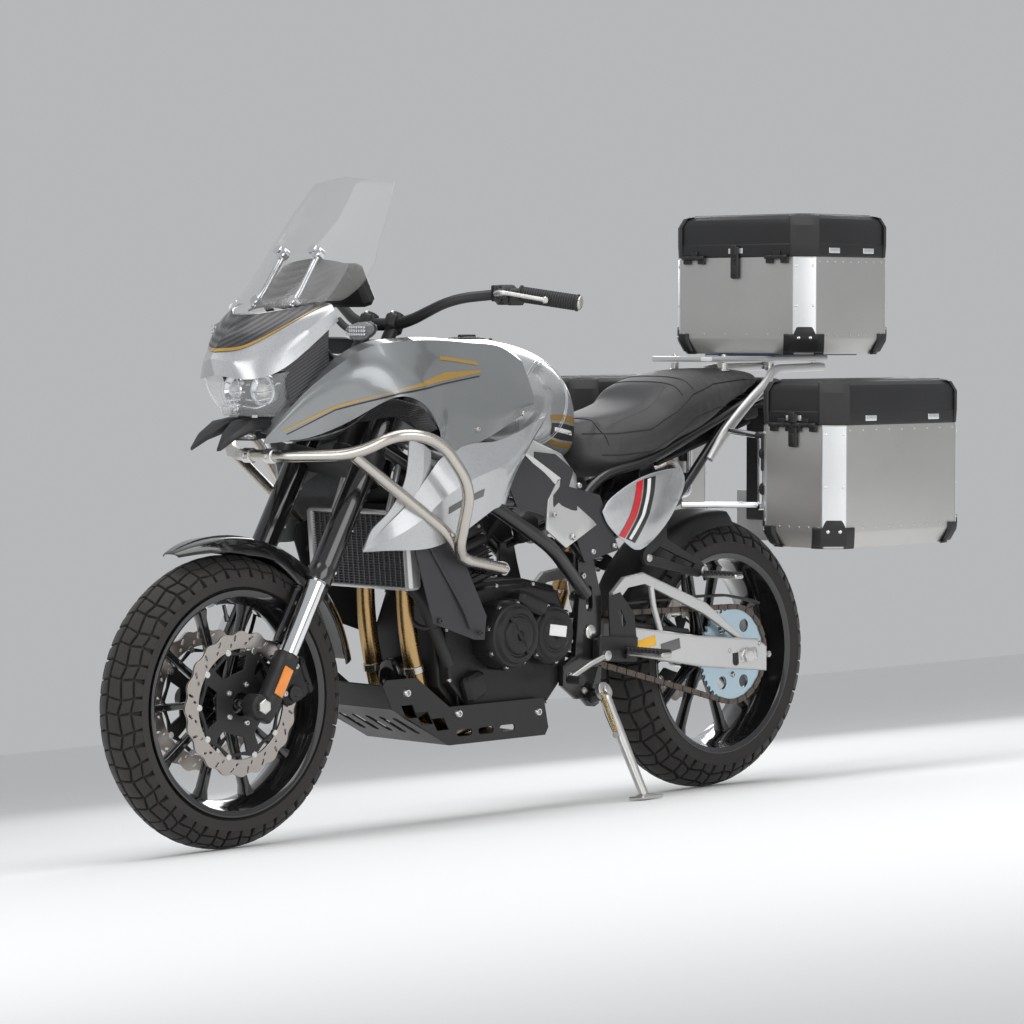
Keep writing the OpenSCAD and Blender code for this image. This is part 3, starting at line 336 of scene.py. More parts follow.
def at_side(y):
    """Place for a plate drawn in X and Z and standing at a distance from the centre plane."""
    return Matrix.Translation((0, y, 0)) @ SIDEWAYS


print("helpers ready")

# %% [markdown]
# ## Shader sums as plain expressions
# A finish is built from nodes, and wiring them by hand hides the idea. The `Socket` class wraps
# one output, and `+ - * /` on it add Math nodes. So `1 - dust * 0.3` is a small node tree. Any
# other node comes from `Finish.node`, which sets the node's own settings first and its sockets next.

# %% Socket and Finish
class Socket:
    """One output of a shader node; arithmetic on it adds Math nodes."""

    def __init__(self, finish, output):
        self.finish = finish
        self.output = output

    def sum(self, operation, *values):
        return self.finish.node("ShaderNodeMath", {"operation": operation}, dict(enumerate(values)))

    def __add__(self, other):
        return self.sum("ADD", self, other)

    def __sub__(self, other):
        return self.sum("SUBTRACT", self, other)

    def __rsub__(self, other):
        return self.sum("SUBTRACT", other, self)

    def __mul__(self, other):
        return self.sum("MULTIPLY", self, other)

    def __truediv__(self, other):
        return self.sum("DIVIDE", self, other)

    __radd__ = __add__
    __rmul__ = __mul__


class Finish:
    """A material with one Principled shader."""

    def __init__(self, name, color=(0.5, 0.5, 0.5), rough=0.5, metal=0.0, **constants):
        self.material = bpy.data.materials.new(name)
        self.material.use_nodes = True
        self.tree = self.material.node_tree
        self.shader = self.tree.nodes["Principled BSDF"]
        self.set("Base Color", (*color, 1))
        self.set("Roughness", rough)
        self.set("Metallic", metal)
        for key, value in constants.items():
            self.set(key.replace("_", " ").title().replace("Ior", "IOR"), value)
        self.place = self.node("ShaderNodeTexCoord", output="Object")

    def set(self, key, value):
        if isinstance(value, Socket):
            self.tree.links.new(value.output, self.shader.inputs[key])
        else:
            self.shader.inputs[key].default_value = value

    def node(self, kind, settings=None, values=None, output=0):
        made = self.tree.nodes.new(kind)
        for key, value in (settings or {}).items():
            if key == "stops":
                ramp = made.color_ramp.elements
                while len(ramp) < len(value):
                    ramp.new(0.5)
                for element, (position, shade_of) in zip(ramp, value):
                    element.position = position
                    element.color = (*shade_of, 1) if len(shade_of) == 3 else shade_of
            else:
                setattr(made, key, value)
        for key, value in (values or {}).items():
            if isinstance(value, Socket):
                self.tree.links.new(value.output, made.inputs[key])
            else:
                made.inputs[key].default_value = value
        return Socket(self, made.outputs[output])

    def noise(self, scale, detail=3, stretch=(1, 1, 1)):
        """Fractal noise from 0 to 1; scale is per metre and stretch squeezes it along an axis."""
        spot = self.node("ShaderNodeVectorMath", {"operation": "MULTIPLY"}, {0: self.place, 1: stretch})
        return self.node("ShaderNodeTexNoise", {}, {"Vector": spot, "Scale": scale, "Detail": detail})

    def along(self, direction, start=(0, 0, 0)):
        """How far a point lies along one of the bike's axes, in millimetres."""
        scaled = Vector(direction) / MM
        reach = self.node("ShaderNodeVectorMath", {"operation": "DOT_PRODUCT"},
                          {0: self.place, 1: tuple(scaled)}, output="Value")
        return reach - scaled.dot(Vector(start))

    def mix(self, mask, first, second):
        """One colour where the mask is 0 and another where it is 1."""
        def full(c):
            return c if isinstance(c, Socket) else (*c, 1)
        return self.node("ShaderNodeMix", {"data_type": "RGBA"}, {0: mask, 6: full(first), 7: full(second)},
                         output=2)

    def bump(self, height, depth, strength=1.0):
        """Raises and lowers the surface by depth metres."""
        self.set("Normal", self.node("ShaderNodeBump", {}, {"Strength": strength, "Distance": depth,
                                                             "Height": height}))
        return self


# %% [markdown]
# ## Painted, brushed and moulded finishes
# Real surfaces are never one flat colour. Paint has metal flake and orange peel, brushed sheet has
# fine streaks, moulded plastic has grain, and handled parts are a little smoother in places. Each
# finish below adds that variation to colour, roughness and bump, at its true scale.

# %% Finishes
def painted(name, color, flake=0.5, rough=0.3, metal=0.7):
    """Metallic paint under clear coat."""
    finish = Finish(name, color, rough, metal, coat_weight=1.0, coat_roughness=0.04)
    sparkle = finish.node("ShaderNodeTexVoronoi", {}, {"Vector": finish.place, "Scale": 2200.0},
                          output="Color")
    grey = finish.node("ShaderNodeSeparateColor", {}, {0: sparkle})
    cloudy = finish.noise(9, 2)
    light = tuple(min(1, c * (1 + 0.25 * flake)) for c in color)
    deep = tuple(c * (1 - 0.22 * flake) for c in color)
    finish.set("Base Color", finish.mix(grey * 0.6 + cloudy * 0.4, deep, light))
    finish.set("Roughness", rough - 0.06 + grey * 0.1 + finish.noise(40, 3) * 0.05)
    return finish.bump(finish.noise(420, 1), 0.00002, 0.4).material


def moulded(name, color, rough=0.5, grain=1400, depth=0.00006, coat=0.0):
    """Moulded plastic with fine grain and slightly polished patches."""
    finish = Finish(name, color, rough, 0.0, coat_weight=coat, coat_roughness=0.08)
    patches = finish.noise(14, 4)
    finish.set("Base Color", finish.mix(patches, tuple(c * 0.8 for c in color),
                                        tuple(c * 1.25 for c in color)))
    finish.set("Roughness", rough - 0.08 + patches * 0.16)
    return finish.bump(finish.noise(grain, 2), depth, 0.5).material


def brushed(name, color, rough=0.3, stretch=(1, 1, 12), depth=0.00004, metal=1.0):
    """Metal with fine streaks across one direction."""
    finish = Finish(name, color, rough, metal)
    streaks = finish.noise(180, 4, stretch)
    smudges = finish.noise(7, 4)
    finish.set("Base Color", finish.mix(streaks * 0.6 + smudges * 0.4, tuple(c * 0.82 for c in color),
                                        tuple(min(1, c * 1.15) for c in color)))
    finish.set("Roughness", rough - 0.07 + streaks * 0.12 + smudges * 0.07)
    return finish.bump(streaks, depth, 0.4).material


def cast(name, color, rough=0.5, metal=0.8, depth=0.00012):
    """Cast metal with a sandy skin and darker stains at random."""
    finish = Finish(name, color, rough, metal)
    sand = finish.noise(900, 3)
    stains = finish.noise(22, 5)
    finish.set("Base Color", finish.mix(stains, tuple(c * 0.72 for c in color),
                                        tuple(c * 1.2 for c in color)))
    finish.set("Roughness", rough - 0.08 + stains * 0.16)
    return finish.bump(sand, depth, 0.6).material


def rubber(name, color):
    """Tyre rubber: dusty brown-black with faint moulding marks."""
    finish = Finish(name, color, 0.72, 0.0, sheen_weight=0.12, sheen_roughness=0.5)
    dust = finish.noise(16, 6)
    finish.set("Base Color", finish.mix(dust, tuple(c * 0.6 for c in color), tuple(c * 1.7 for c in color)))
    finish.set("Roughness", 0.62 + dust * 0.22)
    return finish.bump(finish.noise(1100, 3) * 0.5 + dust * 0.5, 0.0003, 0.5).material


def clear(name, color, alpha, rough=0.03):
    """Clear plastic: faint tint, with a painted sheen: more opaque, and so brighter, at grazing angles."""
    finish = Finish(name, color, rough, 0.0, ior=1.5, coat_weight=1.0, coat_roughness=0.02)
    # Painted sheen: the opacity grows towards grazing angles, so the edges look brighter.
    edge = finish.node("ShaderNodeLayerWeight", {}, {"Blend": 0.35}, output="Facing")
    finish.set("Alpha", alpha + edge * edge * (0.5 - alpha))
    return finish.material


def ribbed(name, color, direction, pitch, rough=0.35):
    """Black plastic with fine parallel ribs, as on moulded carbon-look trim; its colour is painted lighter on each
    rib's crest and darker in each groove, as painted highlight and shade.
    """
    finish = Finish(name, color, rough, 0.0, coat_weight=0.4, coat_roughness=0.15)
    wave = (finish.along(direction) * (2 * math.pi / pitch)).sum("SINE",
                                                                 finish.along(direction) * (2 * math.pi / pitch))
    # Painted highlight and shade: the colour follows the rib wave, lighter on the crests and darker in the grooves.
    finish.set("Base Color", finish.mix(wave * 0.5 + 0.5, tuple(c * 0.35 for c in color),
                                        tuple(c * 2.6 for c in color)))
    finish.set("Roughness", rough - wave * 0.1)
    return finish.bump(wave * 0.5 + 0.5, 0.0006, 0.9).material


silver = painted("silver_paint", (0.27, 0.28, 0.285), 0.5, 0.32, 0.7)
pearl = painted("pearl_paint", (0.52, 0.53, 0.54), 0.35, 0.3, 0.7)
gloss_black = painted("gloss_black", (0.008, 0.008, 0.009), 0.4, 0.18, 0.1)
satin_black = moulded("satin_black", (0.014, 0.014, 0.015), 0.42, 1200)
matt_black = moulded("matt_black", (0.022, 0.022, 0.023), 0.62, 900, 0.00012)
panel_grey = moulded("panel_grey", (0.035, 0.035, 0.038), 0.55, 900, 0.0001)
frame_black = moulded("frame_black", (0.012, 0.012, 0.013), 0.3, 500, 0.00003, 0.5)
engine_black = cast("engine_black", (0.028, 0.027, 0.029), 0.42, 0.5)
bare_alloy = cast("bare_alloy", (0.62, 0.61, 0.59), 0.38, 1.0, 0.00006)
arm_silver = painted("arm_silver", (0.62, 0.62, 0.61), 0.3, 0.36, 0.6)
stainless = brushed("stainless", (0.60, 0.565, 0.52), 0.24, (14, 1, 1))
bronze = brushed("header_bronze", (0.50, 0.33, 0.15), 0.24, (1, 1, 10))
chrome = Finish("chrome", (0.80, 0.81, 0.83), 0.06, 1.0)
chrome.set("Roughness", 0.04 + chrome.noise(60, 3) * 0.06)
chrome = chrome.material
screw_steel = brushed("screw_steel", (0.70, 0.69, 0.67), 0.25, (1, 1, 1))
disc_steel = brushed("disc_steel", (0.47, 0.43, 0.40), 0.3, (30, 1, 30))
case_sheet = brushed("case_sheet", (0.60, 0.59, 0.575), 0.4, (1, 1, 16), 0.00002)
case_corner = brushed("case_corner", (0.86, 0.87, 0.88), 0.3, (12, 12, 1), 0.00002)
tyre_rubber = rubber("tyre_rubber", (0.020, 0.0175, 0.016))
chain_steel = cast("chain_steel", (0.16, 0.13, 0.11), 0.4, 0.9)
sprocket_blue = brushed("sprocket_blue", (0.52, 0.66, 0.74), 0.34, (10, 1, 10))
fin_metal = brushed("fin_metal", (0.20, 0.20, 0.205), 0.45, (1, 20, 1))
lens_clear = clear("lens_clear", (0.92, 0.94, 0.95), 0.12)
screen_clear = clear("screen_clear", (0.34, 0.33, 0.32), 0.13)
orange_lens = moulded("orange_lens", (0.85, 0.26, 0.02), 0.2, 300, 0.0002, 1.0)
red_lens = moulded("red_lens", (0.5, 0.01, 0.012), 0.18, 300, 0.0002, 1.0)
gold_film = painted("gold_film", (0.50, 0.29, 0.05), 0.9, 0.35, 0.6)
black_film = moulded("black_film", (0.01, 0.01, 0.01), 0.3, 300, 0.00001, 0.5)
red_film = moulded("red_film", (0.55, 0.01, 0.015), 0.3, 300, 0.00001, 0.5)
white_film = moulded("white_film", (0.8, 0.8, 0.79), 0.35, 300, 0.00001, 0.3)
yellow_film = moulded("yellow_film", (0.85, 0.45, 0.02), 0.4, 300, 0.00001, 0.3)
grey_film = moulded("grey_film", (0.12, 0.12, 0.12), 0.4, 300, 0.00001, 0.3)
blue_strip = moulded("blue_strip", (0.008, 0.02, 0.09), 0.3, 300, 0.00001, 0.5)
brass = brushed("brass", (0.55, 0.40, 0.14), 0.3, (1, 1, 6))
glow_white = moulded("reflector_white", (0.75, 0.75, 0.73), 0.15, 300, 0.0001, 1.0)
print(len(bpy.data.materials), "finishes")

# %% [markdown]
# ## Knobbly tyres
# A dual-purpose tyre is a smooth round carcass with thick rubber blocks on it. The blocks repeat
# round the wheel, so one pitch of the pattern is drawn flat, as corners measured along and across
# the tread, and a formula wraps each block onto the round crown. Real grooves catch the light
# far better than bump does, and at this size they are cheap.

# %% Tyres
def wrap(along, across, lift, radius, crown, centre):
    """A point of the tread: along the rolling direction, across the crown, lifted off it."""
    lean_angle = across / crown
    reach = radius - crown + (crown + lift) * math.cos(lean_angle)
    turn = along / radius
    return Vector((centre.x + reach * math.sin(turn), centre.y + (crown + lift) * math.sin(lean_angle),
                   centre.z + reach * math.cos(turn)))


def tread_block(shape, corners, depth, radius, crown, centre, steps=3):
    """One rubber block: a curved top, a chamfer and straight sides."""
    middle = sum((Vector(c) for c in corners), Vector((0, 0))) / 4

    def edge_ring(shrink, lift):
        ring = []
        for a, b in zip(corners, corners[1:] + corners[:1]):
            for k in range(steps):
                flat = Vector(a).lerp(Vector(b), k / steps)
                flat = flat + (middle - flat) * shrink
                ring.append(wrap(flat.x, flat.y, lift, radius, crown, centre))
        return ring

    rings = [edge_ring(-0.03, -depth - 1), edge_ring(0, -1.2), edge_ring(0.05, 0), edge_ring(0.5, 0.35)]
    shape.skin(rings, caps=False)
    top = len(shape.points) - len(rings[-1])
    shape.points.append(wrap(middle.x, middle.y, 0.4, radius, crown, centre))
    last = len(shape.points) - 1
    for j in range(len(rings[-1])):
        shape.faces.append((top + j, top + (j + 1) % len(rings[-1]), last))


def tyre(name, body, node, hub, rim_flange, depth, pitches):
    """Carcass and tread of one wheel; sizes come from the CAD tyre."""
    low, high = span(node)
    radius = (high.z - low.z) / 2
    half = (high.y - low.y) / 2
    crown = half + 3
    centre = Vector((hub, 0, (high.z + low.z) / 2))
    base = radius - depth
    inner = crown - depth
    profile = [(-half * 0.72, rim_flange - 8), (-half * 0.72 - 1, rim_flange + 2), (-half * 0.90,
        rim_flange + 14),
               (-half * 0.985, rim_flange + 26)]
    for k in range(-12, 13):
        angle = math.asin(min(1, half * 0.985 / inner)) * k / 12
        profile.append((inner * math.sin(angle), base - inner + inner * math.cos(angle)))
    profile += [(-y, r) for y, r in profile[3::-1]]
    profile = [p for i, p in enumerate(profile) if i == 0 or p != profile[i - 1]]
    carcass = Shape()
    rings = []
    for k in range(128):
        a = 2 * math.pi * k / 128
        rings.append([centre + Vector((r * math.sin(a), y, r * math.cos(a))) for y, r in profile])
    carcass.skin(rings, caps=False, loop=True)
    # Fine ribs that mark the edge of the rim
    for side in (-1, 1):
        for extra in (4, 9):
            loop = [centre + Vector(((rim_flange + extra + 3) * math.sin(a),
                                     side * half * (0.74 + 0.016 * extra),
                                     (rim_flange + extra + 3) * math.cos(a)))
                    for a in (2 * math.pi * k / 96 for k in range(96))]
            carcass.tube(loop, 1.1, sides=6, loop=True)
    pitch = 2 * math.pi * radius / pitches
    reach = crown * math.asin(min(0.999, half * 0.985 / crown))
    blocks = []
    for side in (-1, 1):
        shift = 0 if side < 0 else pitch / 2
        blocks += [
            [(shift + 2, side * 2.2), (shift + pitch * 0.52, side * 4), (shift + pitch * 0.60,
                side * reach * 0.42),
             (shift + pitch * 0.08, side * reach * 0.36)],
            [(shift + pitch * 0.58, side * 4.5), (shift + pitch * 0.95, side * 2.4),
             (shift + pitch * 1.01, side * reach * 0.33), (shift + pitch * 0.67, side * reach * 0.43)],
            [(shift + pitch * 0.10, side * reach * 0.43), (shift + pitch * 0.60, side * reach * 0.49),
             (shift + pitch * 0.52, side * reach * 0.76), (shift + pitch * 0.04, side * reach * 0.70)],
            [(shift + pitch * 0.67, side * reach * 0.50), (shift + pitch * 1.03, side * reach * 0.41),
             (shift + pitch * 0.96, side * reach * 0.69), (shift + pitch * 0.60, side * reach * 0.76)],
            [(shift + pitch * 0.05, side * reach * 0.77), (shift + pitch * 0.50, side * reach * 0.83),
             (shift + pitch * 0.46, side * reach * 1.02), (shift + pitch * 0.10, side * reach * 1.02)],
            [(shift + pitch * 0.58, side * reach * 0.83), (shift + pitch * 0.97, side * reach * 0.76),
             (shift + pitch * 0.92, side * reach * 1.02), (shift + pitch * 0.56, side * reach * 1.02)]]
    tread = Shape()
    for k in range(pitches):
        for corners in blocks:
            tread_block(tread, [(a + k * pitch, b) for a, b in corners], depth, radius, crown, centre)
    return make(name, join(carcass, tread), tyre_rubber, body, node, sharp=28)


rim_flange = (span("front_rim")[1].z - span("front_rim")[0].z) / 2
front_tyre = tyre("front_tyre_knobbly", "front_wheel", "front_tyre", front_x, rim_flange, 8, 26)
rear_tyre = tyre("rear_tyre_knobbly", "rear_wheel", "rear_tyre", rear_x, rim_flange, 9, 24)
print("tyre blocks", len(front_tyre.data.polygons), len(rear_tyre.data.polygons), "faces")

# %% [markdown]
# ## Cast wheels
# The rims are cast in one piece: a barrel, ten slim spokes and a hub. The barrel and hub are turned
# shapes. A spoke is a skin over five rounded sections that narrow in the middle, copied by a loop.

# %% Rims
def rim(name, body, node, hub, spoke_pairs, spread, hub_radius):
    low, high = span(node)
    centre = Vector((hub, 0, (high.z + low.z) / 2))
    half = (high.y - low.y) / 2
    shape = Shape()
    flange = rim_flange
    lip = [(y * half, r) for y, r in [(-1, flange - 1), (-0.97, flange), (-0.90, flange), (-0.86, flange - 8),
                                      (-0.60, flange - 13), (-0.35, flange - 21), (0.35, flange - 21),
                                      (0.60, flange - 13), (0.86, flange - 8), (0.90, flange), (0.97, flange),
                                      (1, flange - 1), (1, flange - 5), (0.93, flange - 14), (0.66,
                                          flange - 20),
                                      (0.40, flange - 29), (0.15, flange - 32), (-0.15, flange - 32),
                                      (-0.40, flange - 29), (-0.66, flange - 20), (-0.93, flange - 14),
                                      (-1, flange - 5)]]
    rings = []
    for k in range(128):
        a = 2 * math.pi * k / 128
        rings.append([centre + Vector((r * math.sin(a), y, r * math.cos(a))) for y, r in lip])
    shape.skin(rings, caps=False, loop=True)
    hub_half = half * 0.93 if body == "front_wheel" else half * 1.0
    shape.turned([(-hub_half, hub_radius - 8), (-hub_half + 2, hub_radius - 5), (-hub_half * 0.55,
        hub_radius - 4),
                  (-hub_half * 0.45, hub_radius), (hub_half * 0.45, hub_radius), (hub_half * 0.55,
                      hub_radius - 4),
                  (hub_half - 2, hub_radius - 5), (hub_half, hub_radius - 8)], centre, (0, 1, 0), 48)
    for i in range(spoke_pairs):
        for side in (-1, 1):
            a = 2 * math.pi * i / spoke_pairs + math.radians(side * spread)
            out = Vector((math.sin(a), 0, math.cos(a)))
            tangent = Vector((math.cos(a), 0, -math.sin(a)))
            rings = []
            for reach, wide, deep in [(hub_radius - 10, 13, 17), (hub_radius + 18, 9, 15), (flange - 110, 7.5,
                12),
                                      (flange - 50, 8.5, 14), (flange - 28, 14, 19)]:
                spot = centre + out * reach
                ring = []
                for k in range(12):
                    t = 2 * math.pi * k / 12
                    c, s = math.cos(t), math.sin(t)
                    ring.append(spot + tangent * wide * math.copysign(abs(c) ** 0.6, c)
                                + Vector((0, 1, 0)) * deep * math.copysign(abs(s) ** 0.6, s))
                rings.append(ring)
            shape.skin(rings)
    # Tyre valve
    shape.turned([(0, 4), (22, 4), (22, 5.5), (34, 5.5)], centre + Vector((0, 6, flange - 34)), (0, 0.35, -1),
                 14)
    return make(name, shape, gloss_black, body, node, sharp=40)


rim("front_wheel_rim", "front_wheel", "front_rim", front_x, 5, 18, 36)
rim("rear_wheel_rim", "rear_wheel", "rear_rim", rear_x, 5, 14, 46)


# %% [markdown]
# ## Wave discs and sprocket
# A wave disc is a flat ring with a rippled edge and rows of slots. A flat curve with inner outlines
# gives exactly that: Blender fills the outside and leaves each inner outline open.

# %% Brake discs and sprocket
def slot_outline(centre, length, width, angle):
    """A hole with round ends in a flat sheet."""
    c, s = math.cos(angle), math.sin(angle)
    points = []
    for end in (1, -1):
        for k in range(6):
            t = math.pi * k / 5 - math.pi / 2
            x = end * (length / 2 - width / 2) + end * width / 2 * math.cos(t)
            y = end * width / 2 * math.sin(t)
            points.append((centre[0] + x * c - y * s, centre[1] + x * s + y * c))
    return points


def wave_disc(name, body, radius, hub, y, thickness, carrier_radius, replaces=()):
    """Rippled steel ring, black carrier and floating buttons."""
    centre = Matrix.Translation((hub, 0, front_z if body == "front_wheel" else rear_z))
    outlines = [circle(radius - 3, 200, wave=3, lobes=20), circle(radius - 36, 90)]
    for k in range(20):
        a = 2 * math.pi * (k + 0.5) / 20
        turned = a + (0.9 if k % 2 else 0.35)
        for reach, length in ((radius - 14, 13), (radius - 26, 8)):
            spot = a + (0.035 if reach > radius - 20 else -0.06)
            outlines.append(slot_outline((reach * math.cos(spot), reach * math.sin(spot)), length, 4.6,
                                         turned))
    ring = plate(outlines, thickness, centre @ at_side(y), 0.5)
    make(name + "_ring", ring, disc_steel, body, replaces, sharp=30)
    carrier = [circle(radius - 41, 100, wave=4, lobes=10), circle(24, 32)]
    for k in range(5):
        a = 2 * math.pi * k / 5
        reach = (radius - 41 + carrier_radius) / 2
        carrier.append([(reach * math.cos(a + t) * s, reach * math.sin(a + t) * s)
                        for t, s in ((-0.42, 0.82), (0, 0.76), (0.42, 0.82), (0.46, 1.16), (0, 1.24),
                                     (-0.46, 1.16))])
    middle = plate(carrier, thickness, centre @ at_side(y), 0.8)
    buttons = Shape()
    out = math.copysign(1, y)
    for k in range(10):
        a = 2 * math.pi * k / 10
        spot = centre @ Vector(((radius - 38) * math.cos(a), y - out * thickness * 0.8,
                                (radius - 38) * math.sin(a)))
        buttons.turned([(0, 7), (thickness * 1.4, 7), (thickness * 1.6, 6), (thickness * 1.6, 3)], spot,
                       (0, out, 0), 16)
    bolts = Shape()
    for k in range(5):
        a = 2 * math.pi * (k + 0.5) / 5
        spot = centre @ Vector((carrier_radius * 0.66 * math.cos(a), y + out * thickness / 2,
                                carrier_radius * 0.66 * math.sin(a)))
        bolts.bolt(spot, (0, out, 0), 6.5)
    make(name + "_carrier", middle, satin_black, body, sharp=30)
    make(name + "_fixings", join(buttons, bolts), screw_steel, body)


disc_low, disc_high = span("front_discs")
front_disc_radius = (disc_high.z - disc_low.z) / 2
disc_thickness = 5
disc_y = disc_high.y - disc_thickness / 2
wave_disc("left_disc", "front_wheel", front_disc_radius, front_x, disc_y, disc_thickness, 62, "front_discs")
wave_disc("right_disc", "front_wheel", front_disc_radius, front_x, -disc_y, disc_thickness, 62)
sprocket_low, sprocket_high = span("rear_sprocket")
rear_disc_y = sprocket_low.y + disc_thickness / 2
wave_disc("rear_disc", "rear_wheel", 120, rear_x, rear_disc_y, disc_thickness, 56)

CHAIN_Y = sprocket_high.y - 4
TEETH = 43
LINK = 15.9
sprocket_radius = TEETH * LINK / (2 * math.pi)
teeth = []
for tooth in range(TEETH):
    for part, lift in ((0.0, -4.5), (0.25, -3.2), (0.42, 3.2), (0.58, 3.2), (0.75, -3.2)):
        a = 2 * math.pi * (tooth + part) / TEETH
        teeth.append(((sprocket_radius + lift) * math.cos(a), (sprocket_radius + lift) * math.sin(a)))
sprocket_holes = [circle(33, 40)]
for k in range(6):
    a = 2 * math.pi * k / 6
    sprocket_holes.append(circle(15, 24, 74 * math.cos(a), 74 * math.sin(a)))
rear_place = Matrix.Translation((rear_x, 0, rear_z))
sprocket = plate([teeth] + sprocket_holes, 7, rear_place @ at_side(CHAIN_Y), 0.6)
cush_hub = Shape()
cush_hub.turned([(0, 56), (sprocket_high.y - 8 - 76, 58), (sprocket_high.y - 8 - 74, 52),
                 (sprocket_high.y - 8 - 74, 20)],
                (rear_x, 74, rear_z), (0, 1, 0), 48)
nuts = Shape()
for k in range(6):
    a = 2 * math.pi * (k + 0.5) / 6
    nuts.bolt((rear_x + 47 * math.cos(a), CHAIN_Y + 3.5, rear_z + 47 * math.sin(a)), (0, 1, 0), 7)
make("rear_sprocket_plate", sprocket, sprocket_blue, "rear_wheel", "rear_sprocket", sharp=30)
make("sprocket_hub", cush_hub, engine_black, "rear_wheel")
make("sprocket_nuts", nuts, screw_steel, "rear_wheel")
print("wheels done", len(made_pieces), "pieces so far")

# %% [markdown]
# ## The fork
# Everything here is drawn in the fork's own axes: the axle is the origin and the steering axis
# stands upright. A telescopic fork is black upper tubes, bright chromed tubes and cast lower legs.
# The lower legs are turned shapes with a lug for the axle, so their profile does most of the work.

# %% Fork legs, clamps and axle
LEG_X, LEG_Y = -26, 105
upper_tubes, bright_tubes, lower_legs, fork_screws, reflectors = Shape(), Shape(), Shape(), Shape(), Shape()
for side in (-1, 1):
    foot = Vector((LEG_X, side * LEG_Y, 0))
    upper_tubes.turned([(292, 22), (292, 28.5), (296, 29), (318, 29), (322, 27.5), (330, 27), (548, 27),
                        (552, 26.4),
                        (600, 26.4), (604, 27), (768, 27), (772, 26.4), (808, 26.4)], foot, (0, 0, 1), 48)
    bright_tubes.turned([(118, 20.5), (300, 20.5)], foot, (0, 0, 1), 40)
    fork_screws.turned([(806, 25), (811, 25), (814, 22), (814, 12)], foot, (0, 0, 1), 32)
    fork_screws.turned([(812, 12), (820, 12), (821, 10.5), (821, 4)], foot, (0, 0, 1), 6)
    lower_legs.turned([(-22, 15), (-18, 20), (-4, 23), (30, 25), (86, 24), (104, 25), (108, 26.5),
                       (124, 26.5),
                       (128, 23), (128, 20)], foot, (0, 0, 1), 40)
    axle_spot = Vector((0, side * LEG_Y, 0))
    lower_legs.turned([(-20, 20), (-17, 24), (17, 24), (20, 20), (20, 11)], axle_spot, (0, 1, 0), 40)
    lower_legs.block(foot + Vector((14, 0, 0)), (34, 34, 34), edge=7)
    lower_legs.block(foot + Vector((-24, -side * 6, 74)), (26, 16, 70), edge=5)
    for height in (54, 116):
        fork_screws.bolt(foot + Vector((-30, side * 2, height)), (0, side, 0), 7)
    for height in (-9, 9):
        fork_screws.bolt(foot + Vector((30, side * 8, height)), (0, side, 0), 4.5)
    reflectors.block(foot + Vector((4, side * 26.5, 66)), (24, 5, 62), edge=2.2)
make("fork_upper_tubes", upper_tubes, gloss_black, "steering", "fork_legs", FORK, sharp=40)
make("fork_bright_tubes", bright_tubes, chrome, "steering", space=FORK)
make("fork_lower_legs", lower_legs, satin_black, "steering", space=FORK, bevel=1.2)
make("fork_reflectors", reflectors, orange_lens, "steering", space=FORK, bevel=0.8)
axle = Shape()
axle.turned([(-129, 8), (-128, 10), (128, 10), (129, 8), (129, 5)], (0, 0, 0), (0, 1, 0), 32)
axle.turned([(0, 15), (3, 16), (9, 16), (11, 14), (11, 9)], (0, 125, 0), (0, 1, 0), 6)
axle.turned([(0, 13), (4, 13), (5, 11), (5, 7), (1, 7)], (0, -125, 0), (0, -1, 0), 24)
make("front_axle", join(axle, fork_screws), screw_steel, "steering", space=FORK, bevel=0.4)

STEM_X = -58
clamp_outline = []
for k in range(-8, 9):
    clamp_outline.append((LEG_X + 37 * math.cos(math.radians(90 + 12 * k) - 0.4), LEG_Y + 37 * math.sin(
        math.radians(90 + 12 * k) - 0.4)))
clamp_outline += [(STEM_X - 26, 26), (STEM_X - 32, 0)]
clamp_outline += [(x, -y) for x, y in clamp_outline[-2::-1]]
clamp_outline += [(LEG_X + 18, -50), (LEG_X + 8, 0), (LEG_X + 18, 50)]
clamps = Shape()
for height in (576, 791):
    clamps = join(clamps, plate([clamp_outline], 30, Matrix.Translation((0, 0, height)), 3))
clamps.rod((STEM_X, 0, 592), (STEM_X, 0, 775), 15)
for side in (-1, 1):
    clamps.turned([(0, 18), (4, 15), (70, 14), (78, 17), (104, 17), (106, 14)], (-8, side * 40, 806), (0, 0,
        1), 28)
    clamps.block((-8, side * 40, 888), (46, 30, 40), edge=8)
make("fork_yokes", clamps, satin_black, "steering", "fork_clamps", FORK, bevel=1.5)
yoke_screws = Shape()
yoke_screws.turned([(0, 21), (5, 21), (7, 18), (7, 10)], (STEM_X, 0, 806), (0, 0, 1), 32)
for side in (-1, 1):
    for x in (-24, 8):
        yoke_screws.bolt((x, side * 40, 906), (0, 0, 1), 5)
    for height in (576, 791):
        yoke_screws.bolt((LEG_X - 35, side * (LEG_Y - 20), height), (-1, 0, 0), 5)
make("yoke_screws", yoke_screws, screw_steel, "steering", space=FORK)

# %% [markdown]
# ## Handlebar and controls
# A tapered bar runs through the clamps. Each end carries a ribbed rubber grip, a switch box and
# a lever, and hidden cables aren't drawn. The grip ribs are a turned profile, which costs little.

